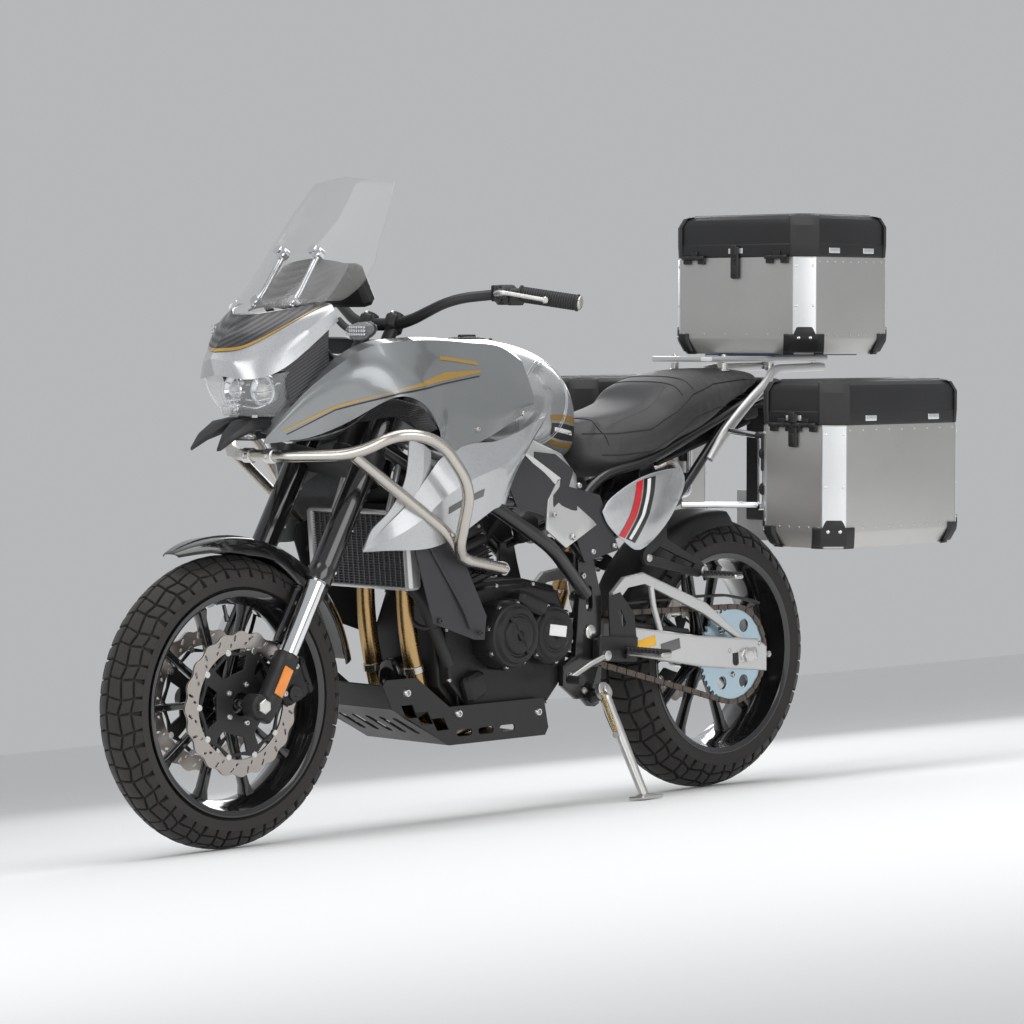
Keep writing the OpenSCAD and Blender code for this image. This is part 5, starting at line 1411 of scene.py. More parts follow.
# %% Turn signals
shells, lenses, bulbs, stalks = Shape(), Shape(), Shape(), Shape()
for side in (-1, 1):
    def oval_ring(x, y, z, r, tall, share=(0, 1)):
        turn = [math.pi * 2 * (share[0] + (share[1] - share[0]) * k / 24) for k in range(24)]
        return [Vector((x + r * math.cos(a), side * y, z + tall * math.sin(a))) for a in turn]
    front = ((528, 178, 1052, 13, 10), (531, 186, 1053, 22, 16), (533, 205, 1055, 24, 18), (533, 228, 1058,
        22, 16),
             (534, 242, 1060, 13, 10), (534, 248, 1060, 4, 3))
    lenses.skin([oval_ring(*v) for v in front])
    shells.skin([oval_ring(x - 6, y, z, r * 0.86, tall * 1.06) for x, y, z, r, tall in front])
    for k in range(7):
        for dz in (-7, 0, 7):
            bulbs.turned([(0, 3), (2, 3), (3, 1)], (548 - 0.10 * (k - 3) ** 2, side * (194 + 7 * k),
                                                    1056 + dz), (1, 0, 0), 10)
    stalks.tube([(540, side * 150, 1078), (536, side * 166, 1064), (532, side * 186, 1054)], 7.5, 8)
    stalks.tube([(-930, side * 80, 892), (-930, side * 134, 890)], 7, sides=16)
    rear = ((-930, 130, 890, 11, 9), (-930, 136, 890, 17, 14), (-930, 150, 890, 19, 15), (-930, 166, 890, 17,
        13),
            (-930, 178, 890, 6, 5))
    shells.skin([oval_ring(x + 4, y, z, r * 0.9, tall * 1.05) for x, y, z, r, tall in rear])
    bulbs.turned([(0, 9), (6, 8), (9, 3)], (-934, side * 152, 890), (-1, 0, 0), 20)
    lenses.skin([oval_ring(x - 3, y, z, r, tall) for x, y, z, r, tall in rear])
make("turn_signal_lenses", lenses, lens_clear, "chassis", "turn_signals", sharp=60)
make("turn_signal_shells", shells, satin_black, "chassis", sharp=60)
make("turn_signal_reflectors", bulbs, chrome, "chassis")
make("turn_signal_stalks", stalks, matt_black, "chassis")
print("nose done", len(made_pieces))

# %% [markdown]
# ## A padded seat
# A saddle is foam under a stretched cover, so it swells softly between its seams. A slightly
# smaller closed shape is blown up with cloth pressure while its base stays pinned. A cap on how
# far any point may move keeps it inside its true size. Seams are laid on afterwards.

# %% Seat cushion
seat_sections = [oblong(*values, 2.6, 48) for values in (
    (-240, 56, 752, 832), (-262, 88, 736, 842), (-330, 122, 730, 858), (-420, 140, 758, 878), (-470, 144, 772,
        896),
    (-510, 144, 790, 926), (-600, 142, 820, 952), (-720, 120, 884, 960), (-820, 91, 912, 954), (-846, 64, 920,
        944))]
seat_shape = loft(seat_sections, 4)
cushion = make("seat_cushion", seat_shape, matt_black, "chassis", "seat", sharp=70)
remesh = cushion.modifiers.new("remesh", "REMESH")
remesh.mode = "VOXEL"
remesh.voxel_size = 0.006
settle(cushion)
flat = [STRAIGHT @ v.co for v in cushion.data.vertices]
base = cushion.vertex_groups.new(name="base")

def pan_height(x):
    """Height of the seat's hard base."""
    marks = ((-240, 800), (-330, 775), (-420, 800), (-510, 838), (-600, 868), (-720, 918), (-846, 930))
    for (x1, z1), (x2, z2) in zip(marks, marks[1:]):
        if x >= x2:
            return z1 + (z2 - z1) * (x - x1) / (x2 - x1)
    return marks[-1][1]
pinned = [i for i, p in enumerate(flat) if p.z < pan_height(p.x) - 14]
base.add(pinned, 1.0, "REPLACE")
cloth = cushion.modifiers.new("cloth", "CLOTH")
cloth.settings.use_pressure = True
cloth.settings.uniform_pressure_force = 4
cloth.settings.effector_weights.gravity = 0
cloth.settings.vertex_group_mass = "base"
cloth.point_cache.frame_end = 20
for step in range(1, 21):
    bpy.context.scene.frame_set(step)
graph = bpy.context.evaluated_depsgraph_get()
swollen = cushion.evaluated_get(graph).data
CAP = 9 * MM
moved = []
for vertex, grown in zip(cushion.data.vertices, swollen.vertices):
    shift = grown.co - vertex.co
    moved.append(vertex.co + shift * min(1, CAP / max(shift.length, 1e-9)))
cushion.modifiers.clear()
cushion.data.vertices.foreach_set("co", [value for p in moved for value in p])
bpy.context.scene.frame_set(1)
relax = cushion.modifiers.new("relax", "SMOOTH")
relax.iterations = 4
modifier = cushion.modifiers.new("smooth", "SUBSURF")
modifier.levels = modifier.render_levels = 1
settle(cushion)
shade(cushion, 70)
on_seat = touch(cushion)
vinyl = Finish("seat_vinyl", (0.028, 0.028, 0.030), 0.5, sheen_weight=0.15)
leather = vinyl.node("ShaderNodeTexVoronoi", {"feature": "DISTANCE_TO_EDGE"}, {"Vector": vinyl.place,
    "Scale": 620.0})
worn = vinyl.noise(9, 4)
vinyl.set("Base Color", vinyl.mix(worn, (0.020, 0.020, 0.021), (0.050, 0.050, 0.052)))
vinyl.set("Roughness", 0.42 + worn * 0.22)
vinyl.bump(leather + vinyl.noise(30, 2) * 0.3, 0.0005, 0.5)
smooth_vinyl = moulded("seat_insert", (0.045, 0.045, 0.047), 0.5, 700, 0.0001)
cushion.data.materials[0] = vinyl.material


def over_seat(x, side=1):
    """Where the seat's seam runs at a given distance along it."""
    marks = ((-262, 828), (-330, 828), (-420, 836), (-500, 874), (-560, 912), (-640, 934), (-760, 944), (-840,
        940))
    for (x1, z1), (x2, z2) in zip(marks, marks[1:]):
        if x >= x2:
            return z1 + (z2 - z1) * (x - x1) / (x2 - x1)
    return marks[-1][1]


seams = Shape()
stitch_line = [on_seat(x, over_seat(x), 0.2) for x in range(-262, -836, -7)]
seams.tube(stitch_line, 1.7, sides=8)
low_line = [on_seat(x, over_seat(x) - 46 + (x + 262) * 0.02, 0.2) for x in range(-290, -812, -7)]
seams.tube(low_line, 1.5, sides=8)
top_tree = BVHTree.FromPolygons([v.co.copy() for v in cushion.data.vertices],
                                [tuple(p.vertices) for p in cushion.data.polygons])


def on_top(x, y, lift=0.3):
    """Where a line straight down meets the top of the seat."""
    down = (BIKE.to_3x3() @ Vector((0, 0, -1))).normalized()
    hit = top_tree.ray_cast(BIKE @ Vector((x, y, 1300)), down)[0]
    return (STRAIGHT @ hit) + Vector((0, 0, lift)) if hit is not None else None


for x in (-300, -520, -556):
    cross = [on_top(x - 0.0008 * y * y, y) for y in range(-120, 121, 8)]
    cross = [p for p in cross if p is not None]
    seams.tube(cross, 1.5, sides=8)
make("seat_seams", join(seams, Shape().tube([Vector((p.x, -p.y, p.z)) for p in stitch_line], 1.7, sides=8),
                        Shape().tube([Vector((p.x, -p.y, p.z)) for p in low_line], 1.5, sides=8)),
     satin_black, "chassis")
rows = []
for x in range(-312, -516, -8):
    half = 92 - 0.0006 * (x + 420) ** 2
    row = [on_top(x, half * j / 8, 0.7) for j in range(-8, 9)]
    if all(p is not None for p in row):
        rows.append(row)
make("seat_top_insert", grid(rows), smooth_vinyl, "chassis", outward=False)
print("seat done", len(cushion.data.polygons), "faces")

# %% [markdown]
# ## Frame tubes
# A trellis frame is straight tubes with short bends between welded joints. A small collar of weld
# at each joint is what makes crossed tubes look joined instead of merely overlapping.

# %% Main frame and subframe
frame_shape = Shape()
for path in ([(300, 36, 905), (150, 118, 800), (-60, 150, 690), (-205, 132, 560)],
             [(352, 36, 830), (250, 118, 745), (120, 165, 690), (-60, 172, 590), (-205, 132, 480)]):
    frame_shape.tube(path, 15, 50, 22)
for a, b in (((150, 118, 800), (120, 165, 690)), ((-60, 150, 690), (120, 165, 690))):
    frame_shape.tube([a, b], 11, sides=18)
    for end, other in ((a, b), (b, a)):
        along = (Vector(other) - Vector(end)).normalized()
        frame_shape.turned([(10, 15.5), (14, 16), (17, 14), (20, 12), (22, 10)], end, along, 18)
frame_shape.block((-60, 158, 600), (30, 18, 22), edge=4)
frame_shape.mirrored()
make("frame_trellis", frame_shape, frame_black, "chassis", "main_frame")
head = Shape().turned([(598, 27), (600, 33), (612, 33), (615, 30), (752, 30), (755, 33), (767, 33),
                       (769, 27)],
                      (STEM_X, 0, 0), (0, 0, 1), 44)
make("steering_head", head, frame_black, "chassis", space=FORK)
side_plate = [(-185, 585), (-228, 585), (-240, 540), (-262, 470), (-258, 330), (-225, 250), (-185, 250),
              (-140, 282),
              (-140, 326), (-178, 345), (-190, 470)]
plates = Shape()
for y in (120, -120):
    plates = join(plates,
                  plate([side_plate, circle(11, 28, -223, 396), slot_outline((-222, 470), 56, 20, 1.5)], 15,
                                at_side(y), 2.2))
lug = [(-262, 320), (-254, 236), (-240, 230), (-224, 232), (-190, 262), (-200, 320)]
plates = join(plates, plate([lug], 15, at_side(120), 2))
STAND = Vector((-236, 158, 266))
pin_line = Vector((0, math.cos(math.radians(25)), math.sin(math.radians(25))))
plates.turned([(-38, 13), (-36, 15), (-9, 15), (-7.6, 13)], STAND, pin_line, 30)
make("frame_side_plates", plates, frame_black, "chassis", sharp=30)
pin = Shape().turned([(-8, 6), (9, 6), (9.5, 9), (14, 9), (15, 7), (15, 3)], STAND, pin_line, 24)
for x, z in ((-210, 560), (-246, 360), (-160, 304), (-206, 268), (-200, 520)):
    for side in (-1, 1):
        pin.bolt((x, side * 127.5, z), (0, side, 0), 8)
make("frame_bolts", pin, screw_steel, "chassis")

subframe = Shape()
sub_paths = ([(-128, 141, 628), (-250, 124, 735), (-420, 120, 765), (-780, 112, 900), (-860, 90, 915)],
             [(-206, 122, 575), (-500, 122, 668), (-700, 114, 862)])
for path in sub_paths:
    subframe.tube(path, 11, 60, 18)
subframe.mirrored()
subframe.rod((-430, -116, 748), (-430, 116, 748), 9)
subframe.rod((-780, -112, 900), (-780, 112, 900), 9)
for side in (-1, 1):
    subframe.block((-500, side * 122, 690), (40, 10, 60), (0, 20, 0), 3)
    subframe.block((-420, side * 112, 750), (50, 8, 40), (0, 18, 0), 3)
make("subframe_tubes", subframe, frame_black, "chassis", "subframe")

# %% [markdown]
# ## Engine
# The crankcase is one block in the CAD model. Here it gets the cast look: a chamfered case
# with ribs, bolted round covers, and a cylinder head with stepped sides. Round covers are turned
# profiles with several small steps, since each step catches a line of light.

# %% Crankcase, head and covers
engine, engine_bolts = Shape(), Shape()
case_outline = [(-180, 300), (-120, 238), (-20, 226), (130, 226), (200, 300), (213, 420), (180, 500),
                (60, 519),
                (-60, 519), (-150, 500), (-183, 440)]
engine = plate([case_outline], 176, at_side(0), 6)
inner_case = [(x * 0.94 + 1, 400 + (z - 400) * 0.92) for x, z in case_outline]
engine = join(engine, plate([inner_case], 221, at_side(0), 9))
for side in (-1, 1):
    for k in range(5):
        engine.tube([(150 - 18 * k, side * 100, 250 + 8 * k), (176 - 26 * k, side * 108, 340), (170 - 24 * k,
            side * 98, 480)],
                    3, 20, 8)
    for i in range(0, len(inner_case)):
        a, b = inner_case[i], inner_case[(i + 1) % len(inner_case)]
        engine_bolts.bolt(((a[0] * 0.93 + b[0] * 0.07), side * 110.5, (a[1] * 0.93 + b[1] * 0.07)), (0, side,
            0), 5)
make("crankcase", engine, engine_black, "chassis", "engine_block", sharp=30)
head_place = Matrix.Translation((120, 0, 520)) @ Matrix.Rotation(math.radians(18), 4, "Y")
top_end = Shape()
for low, high, length, wide, forward in ((-14, 60, 146, 200, -80), (62, 84, 150, 208, -82), (86, 126, 148,
    204, -81),
                                         (128, 150, 162, 222, -88), (152, 196, 156, 216, -86), (197, 216, 140,
                                             196, -78)):
    middle = head_place @ Vector((forward + length / 2, 0, (low + high) / 2))
    top_end.block(middle, (length, wide, high - low), (0, 18, 0), 7)
for k in range(6):
    middle = head_place @ Vector((-6, 0, 4 + 9 * k))
    top_end.block(middle, (154, 207, 3), (0, 18, 0), 1)
for side in (-1, 1):
    top_end.turned([(0, 34), (5, 34), (7, 30), (7, 12), (10, 10)],
                   head_place @ Vector((-10, side * 106, 172)), (0, side, 0), 32)
    for a, b in ((-70, 140), (50, 140), (-70, 205), (50, 205), (-60, 106), (44, 106)):
        engine_bolts.bolt(head_place @ Vector((a, side * (110 if b > 130 else 103), b)), (0, side, 0), 5.5)
make("cylinder_head_cast", top_end, engine_black, "chassis", "cylinder_head", bevel=1.2)


def round_cover(centre, radius, base, face, screws, name_ring=True):
    """A bolted cover; face and base are distances from the centre plane."""
    x, z = centre
    side = math.copysign(1, face)
    deep = abs(face - base)
    covers.turned([(0, radius - 1), (deep * 0.45, radius), (deep * 0.6, radius - 2), (deep * 0.78,
        radius - 7),
                   (deep * 0.80, radius - 12), (deep * 0.93, radius - 16), (deep * 0.95, radius - 26),
                   (deep * 0.90, radius - 29), (deep * 0.90, radius - 33), (deep * 0.97, radius - 36), (deep,
                       radius - 44),
                   (deep, radius * 0.16), (deep * 0.94, radius * 0.12)], (x, base, z), (0, side, 0), 64)
    for k in range(screws):
        a = 2 * math.pi * (k + 0.3) / screws
        spot = Vector((x + (radius - 5) * math.cos(a), base, z + (radius - 5) * math.sin(a)))
        covers.turned([(0, 9), (deep * 0.62, 8.5), (deep * 0.64, 7)], spot, (0, side, 0), 16)
        engine_bolts.bolt(spot + Vector((0, side * deep * 0.64, 0)), (0, side, 0), 5)


covers = Shape()
round_cover((52, 407), 74, 111, 190, 8)
round_cover((-90, 400), 67, 111, 158, 6)
round_cover((40, 395), 88, -111, -181, 9)
covers.block((-20, 140, 470), (90, 44, 36), (0, -20, 0), 9)
covers.block((52, 186, 407), (8, 8, 96), (0, 34, 0), 3)
covers.block((128, 122, 300), (60, 30, 56), (0, 20, 0), 10)
covers.block((60, -124, 500), (100, 26, 30), (0, 8, 0), 8)
make("engine_covers_cast", covers, engine_black, "chassis", "engine_covers", bevel=0.8)
label = Shape().block((-92, 159, 408), (52, 1.6, 24), (0, -8, 0), 0.6)
make("cover_label", label, white_film, "chassis")
oil = Shape().turned([(0, 34), (6, 38), (60, 38), (66, 33), (68, 20)], (196, 0, 330), (1, 0, -0.12), 14)
horn = Shape()
horn.turned([(0, 20), (10, 26), (12, 44), (22, 46), (26, 44), (26, 38), (22, 34), (22, 14), (27, 12)],
            (232, 96, 470),
            (0.9, 0.42, 0), 48)
make("oil_filter", oil, gloss_black, "chassis", sharp=50)
make("horn", horn, satin_black, "chassis")
make("engine_screws", engine_bolts, screw_steel, "chassis")
print("engine done", len(made_pieces))

# %% [markdown]
# ## Radiator, exhaust and skid plate
# A radiator is a stack of very thin fins between two tanks. Real fins, only a few millimetres
# apart, shade themselves in a way that a striped picture can't. The headers are bent tubes with
# flanges, and the skid plate is bent sheet: flat plates with windows cut through them.

# %% Radiator
core, tanks = Shape(), Shape()
RADIATOR = Matrix.Translation((334, 0, 598)) @ Matrix.Rotation(math.radians(5), 4, "Y")
core.block(RADIATOR @ Vector((0, 0, 0)), (18, 270, 150), (0, 5, 0), 2)
for k in range(27):
    core.block(RADIATOR @ Vector((0, 0, -74 + k * 5.7)), (30, 272, 1.6), (0, 5, 0), 0.3)
for k in range(-8, 9):
    core.block(RADIATOR @ Vector((4, k * 16, 0)), (24, 1.6, 152), (0, 5, 0), 0.3)
for side in (-1, 1):
    tanks.block(RADIATOR @ Vector((0, side * 146, 0)), (34, 23, 164), (0, 5, 0), 6)
    tanks.tube([(341, side * 84, 672), (330, side * 82, 700), (300, side * 77, 787)], 7, 20, 16)
tanks.block(RADIATOR @ Vector((0, 0, 79)), (32, 290, 7), (0, 5, 0), 2)
tanks.block(RADIATOR @ Vector((0, 0, -79)), (32, 290, 7), (0, 5, 0), 2)
make("radiator_fins", core, fin_metal, "chassis", "radiator", sharp=20)
make("radiator_tanks", tanks, arm_silver, "chassis", bevel=0.8)
hoses = Shape()
hoses.tube([(330, -120, 664), (280, -128, 640), (220, -100, 600), (170, -90, 560)], 15, 40, 18)
hoses.tube([(322, 120, 530), (286, 124, 500), (240, 112, 440), (190, 110, 350)], 14, 40, 18)
make("coolant_hoses", hoses, matt_black, "chassis")

# %% Exhaust
headers, clamps = Shape(), Shape()
for side, last in ((1, [(130, 40, 204), (-60, -36, 204)]), (-1, [(130, -66, 204), (-60, -78, 204)])):
    path = [(196, side * 62, 628), (274, side * 62, 600), (268, side * 62, 430), (228, side * 62, 270)] + last
    headers.tube(path, 20, 70, 28)
    clamps.turned([(0, 30), (6, 32), (12, 32), (14, 27)], (206, side * 62, 624), (0.94, 0, -0.3), 32)
    clamps.turned([(-8, 21.5), (-7, 22.5), (7, 22.5), (8, 21.5)], (247, side * 62, 340), (0.25, 0, 1), 28)
    for k in (-1, 1):
        clamps.bolt((218, side * 62 + 25 * k, 620), (1, 0, -0.2), 6, False)
link = [(-60, -58, 204), (-200, -100, 206), (-310, -170, 225), (-420, -178, 400), (-500, -185, 580)]
headers.tube(link, 22, 70, 28)
make("header_pipes", headers, bronze, "chassis", "exhaust_headers")
make("header_clamps", clamps, stainless, "chassis")
link_end = (Vector(link[4]) - Vector(link[3])).normalized()
can_start = Vector(link[4]) + link_end * 10
can_bend = Vector(link[4]) + link_end * 62
can_end = Vector((-850, -185, 722))
along = (can_end - can_bend).normalized()
can = Shape()
can.tube(rounded([can_start, can_bend, can_bend + along * 40], 40, 6),
         [24 + 24 * min(1, k / 7) for k in range(9)],
         sides=32)
can.turned([(0, 45), (6, 49.5), (18, 50), (24, 47), (250, 47), (256, 50), (274, 50), (278, 47), (296, 40),
            (300, 32),
            (300, 27), (262, 26), (262, 6)], can_bend + along * 16, along, 48)
make("muffler_can", can, stainless, "chassis", "muffler", sharp=40)
heat = Shape()
for k in range(14):
    spot = can_bend + along * (48 + 15 * k)
    heat.block(spot + Vector((0, -50, 4)), (9, 5, 44), (0, math.degrees(math.atan2(along.z, -along.x)), 0),
               1.5)
make("muffler_shield", heat, satin_black, "chassis", bevel=0.5)

# %% Skid plate
skid_outline = [(386, 330), (397, 318), (371, 268), (205, 180), (-84, 180), (-94, 196), (-80, 262),
                (205, 262), (300, 330)]


def leaning(x, z, wide, tall, shift):
    """A window with slanted sides."""
    return [(x, z), (x + wide, z), (x + wide + shift, z + tall), (x + shift, z + tall)]


windows = [leaning(206, 214, 34, 26, 16), leaning(252, 230, 34, 26, 16), leaning(298, 246, 32, 28, 14),
           slot_outline((160, 204), 46, 14, 0), slot_outline((96, 204), 46, 14, 0), slot_outline((32, 204),
               46, 14, 0)]
sides = join(*[plate([skid_outline] + windows, 4, at_side(y), 0.8) for y in (126, -126)])
floor_parts = []
for (x1, z1), (x2, z2), slots in (((397, 318), (371, 268), 0), ((371, 268), (205, 180), 5), ((205, 180),
    (-84, 180), 3)):
    length = math.hypot(x2 - x1, z2 - z1)
    tilt = Matrix.Translation(((x1 + x2) / 2, 0, (z1 + z2) / 2 + 2)) @ Matrix.Rotation(
        math.atan2(z1 - z2, x2 - x1), 4, "Y")
    outline = [(-length / 2, -126), (length / 2, -126), (length / 2, 126), (-length / 2, 126)]
    holes = [slot_outline((0, (k - (slots - 1) / 2) * 42), length * 0.44, 16, 0) for k in range(slots)]
    floor_parts.append(plate([outline] + holes, 4, tilt, 0.8))
skid_bolts = Shape()
for x, z in ((330, 300), (-60, 232), (180, 246)):
    for side in (-1, 1):
        skid_bolts.bolt((x, side * 127.5, z), (0, side, 0), 10)
make("skid_plate_sheet", join(sides, *floor_parts), satin_black, "chassis", "skid_plate",
     sharp=25)
make("skid_plate_bolts", skid_bolts, screw_steel, "chassis")

# %% [markdown]
# ## Crash bars
# Each bar is one bent tube, and the two sides meet under the beak in a band clamp.

# %% Crash bars
bars, bar_fixings = Shape(), Shape()
hoop = [(620, 0, 800), (620, 60, 800), (533, 195, 804), (475, 265, 850), (386, 290, 833), (306, 298, 735),
        (284, 240, 610), (262, 224, 588)]
brace = [(533, 190, 802), (300, 224, 636), (250, 214, 580), (100, 184, 552)]
for path in (hoop, brace):
    bars.tube(rounded(path, 52, 8), 12.5, sides=24)
bars.turned([(0, 14), (4, 15), (80, 15), (84, 12)], (100, 188, 552), (0, -1, 0), 28)
bar_fixings.bolt((100, 189, 552), (0, 1, 0), 10)
bar_fixings.bolt((300, 237, 634), (0, 1, 0.3), 5)
bar_fixings.turned([(-12, 13.5), (-11, 15.5), (11, 15.5), (12, 13.5)], (620, 34, 800), (0, 1, 0), 28)
bar_fixings.block((636, 34, 800), (14, 16, 12), edge=2)
make("crash_bar_tubes", bars.mirrored(), stainless, "chassis", "crash_bars")
make("crash_bar_fixings", bar_fixings.mirrored(), screw_steel, "chassis")
print("exhaust and bars done", len(made_pieces))

# %% [markdown]
# ## Swingarm, chain and shock
# The arm is a box beam with an arched brace above it. The chain is the fun part: one function
# walks round both sprockets by arc length, and every half pitch it places a link.

# %% Swingarm
ARM_Y = 126
beam_outline = [(-276, 411), (-330, 403), (-560, 369), (-770, 349), (-799, 330), (-799, 273), (-580, 296),
                (-330, 339),
                (-276, 351)]
brace_outline = [(-300, 400), (-291, 478), (-330, 511), (-392, 519), (-600, 441), (-738, 349), (-714, 349),
                 (-590, 416),
                 (-396, 492), (-342, 486), (-322, 468), (-326, 400)]
arm = Shape()
for y in (ARM_Y, -ARM_Y):
    arm = join(arm, plate([beam_outline], 31, at_side(y), 5), plate([brace_outline], 14, at_side(y), 4))
arm.tube([(-452, ARM_Y, 386), (-430, ARM_Y, 440), (-420, ARM_Y, 494)], 7, 10, 14)
arm.tube([(-452, -ARM_Y, 386), (-430, -ARM_Y, 440), (-420, -ARM_Y, 494)], 7, 10, 14)
arm.rod((-310, -ARM_Y, 392), (-310, ARM_Y, 392), 26)
arm.turned([(-97, 22), (-95, 24), (95, 24), (97, 22)], (-223, 0, 396), (0, 1, 0), 36)
for side in (-1, 1):
    arm.block((-266, side * 63, 392), (88, 36, 38), edge=6)
make("swingarm_beams", arm, arm_silver, "chassis", "swingarm", sharp=30)
axle_set, arm_dark_and_slot_shade = Shape(), Shape()
axle_set.turned([(-150, 8), (-149, 10), (149, 10), (150, 8)], (rear_x, 0, rear_z), (0, 1, 0), 28)
axle_set.turned([(-137, 8), (-136, 10), (136, 10), (137, 8)], (-223, 0, 396), (0, 1, 0), 28)
for side in (-1, 1):
    axle_set.turned([(0, 19), (2, 20), (3, 17), (4, 16), (12, 16), (13, 14), (13, 10)], (rear_x, side * 142,
        rear_z),
                    (0, side, 0), 6)
    axle_set.block((rear_x - 4, side * 142.5, rear_z), (62, 3, 30), (0, 4, 0), 1)
    axle_set.turned([(0, 5), (24, 5), (24, 8), (32, 8), (33, 6)], (-790, side * 126, 310), (-1, 0, 0), 6)
    axle_set.turned([(0, 16), (4, 16), (6, 13), (6, 7)], (-223, side * 128, 396), (0, side, 0), 24)
    axle_set.bolt((-770, side * 142, 338), (0, side, 0), 5)
    axle_set.bolt((-668, side * 142, 328), (0, side, 0), 5)
    arm_dark_and_slot_shade.turned([(0, 10), (1.5, 10), (1.5, 4.2), (-3, 4.2)], (-690, side * 141.6, 302), (0, side, 0), 24)
    # Painted shade: a thin matt black sheet stands for the shade inside each open axle slot.
    arm_dark_and_slot_shade.block((rear_x + 4, side * 141.6, rear_z), (84, 1.2, 20), (0, 4, 0), 0.5)
make("rear_axle_set", axle_set, screw_steel, "chassis")
arm_dark_and_slot_shade.tube([(-300, 112, 408), (-420, 108, 394), (-560, 108, 374)], 9, 10, 10)
make("arm_dark_parts_and_slot_shade", arm_dark_and_slot_shade, matt_black, "chassis")
labels = Shape().block((-392, 142.2, 362), (58, 1, 22), (0, 9.5, 0), 0.4)
make("arm_label_yellow", labels, yellow_film, "chassis")
make("arm_label_grey", Shape().block((-470, 142.2, 350), (62, 1, 24), (0, 9.5, 0), 0.4), grey_film, "chassis")

# %% Chain
FRONT_R, REAR_R = 38.0, sprocket_radius
front_spot, rear_spot = Vector((-150, 0, 395)), Vector((rear_x, 0, rear_z))
gap_line = front_spot - rear_spot
distance = gap_line.length
slope = math.atan2(gap_line.z, gap_line.x)
spread_angle = math.acos((REAR_R - FRONT_R) / distance)


def on_circle(centre, radius, angle):
    return centre + Vector((radius * math.cos(angle), 0, radius * math.sin(angle)))


loop = [on_circle(rear_spot, REAR_R,
                  slope + spread_angle + (2 * math.pi - 2 * spread_angle) * k / 60) for k in range(61)]
loop += [on_circle(front_spot, FRONT_R, slope - spread_angle + 2 * spread_angle * k / 24) for k in range(25)]
loop.append(loop[0])
count = 2 * round(sum((b - a).length for a, b in zip(loop, loop[1:])) / LINK / 2)
pins = spread(loop, count + 1)[:-1]
links = Shape()
for i, (a, b) in enumerate(zip(pins, pins[1:] + pins[:1])):
    middle = (a + b) / 2
    reach = (b - a).normalized()
    turn = math.atan2(reach.z, reach.x)
    outward = 1 if i % 2 else 0
    for side in (-1, 1):
        outline = []
        for k in range(16):
            t = 2 * math.pi * k / 16
            wide = LINK / 2 + 6.6 * (1 if abs(math.cos(t)) > 0.3 else 0.7)
            u = math.copysign(LINK / 2, math.cos(t)) + 6.8 * math.cos(t)
            v = 6.8 * math.sin(t) * (0.82 if abs(math.cos(t)) < 0.35 else 1)
            outline.append((u, v))
        rings = []
        for y in (CHAIN_Y + side * (3.0 + 1.9 * outward), CHAIN_Y + side * (4.7 + 1.9 * outward)):
            rings.append([Vector((middle.x + u * math.cos(turn) - v * math.sin(turn), y,
                                  middle.z + u * math.sin(turn) + v * math.cos(turn))) for u, v in outline])
        links.skin(rings)
    links.turned([(-7.2, 2.6), (-7, 3), (-3.4, 3), (-3.3, 4.6), (3.3, 4.6), (3.4, 3), (7, 3), (7.2, 2.6)],
                 a + Vector((0, CHAIN_Y, 0)), (0, 1, 0), 10)
make("drive_chain", links, chain_steel, "chassis", "chain", sharp=30)

# %% Shock, hugger and rear brake
low, high = Vector((-314, 0, 420)), Vector((-428, 0, 738))
axis = (high - low).normalized()
shock, spring = Shape(), Shape()
reach = (high - low).length
shock.turned([(0, 12), (30, 14), (32, 26), (42, 27), (44, 14), (180, 14), (182, 20), (240, 20), (244, 27),
              (254, 27),
              (256, 18), (reach - 4, 14), (reach, 11)], low, axis, 32)
_, first, second = basis(axis)
coil = [low + axis * (44 + 198 * k / 200) + (first * math.cos(k * 0.24) + second * math.sin(k * 0.24)) * 23
        for k in range(201)]
spring.tube(coil, 4.6, sides=10)
make("shock_body", shock, satin_black, "chassis", "rear_shock")
make("shock_spring", spring, silver, "chassis")
hugger = arc_strip(rear_x, rear_z, lambda t: 331, lambda t: 86 - 10 * t, 18, 96, lambda t: 36, 36)
hugger.skin([[(x, y, z) for y in (94, 118)] + [(x, y, z - 5) for y in (118, 94)] for x, z in
             ((-347, 453), (-450, 455), (-600, 456), (-690, 454), (-760, 442), (-799, 431))])
make("hugger_shell", hugger, satin_black, "chassis", "rear_hugger", thick=3, bevel=0.6)
hugger_arms = Shape()
for side in (-1, 1):
    hugger_arms.tube([(-560, side * 118, 440), (-566, side * 92, 470), (-580, side * 80, 500)], 5, 12, 12)
make("hugger_arms", hugger_arms, satin_black, "chassis")
rear_caliper = Shape()
rear_caliper.block((rear_x + 98, -95, rear_z + 56), (62, 18, 46), (0, 10, 0), 6)
rear_caliper.block((rear_x + 98, -63, rear_z + 56), (58, 16, 42), (0, 10, 0), 5)
rear_caliper.block((rear_x + 119, -79, rear_z + 58), (14, 38, 36), (0, 10, 0), 3)
rear_caliper.turned([(0, 18), (8, 18), (10, 15), (10, 8)], (rear_x + 98, -99, rear_z + 56), (0, -1, 0), 28)
make("rear_caliper", rear_caliper, engine_black, "chassis", "rear_brake", bevel=1.2)
print("rear end done", len(made_pieces))

# %% [markdown]
# ## Pegs, levers and side stand
# Foot controls get worn first, so the metal is left bare and the rubber has grooves.

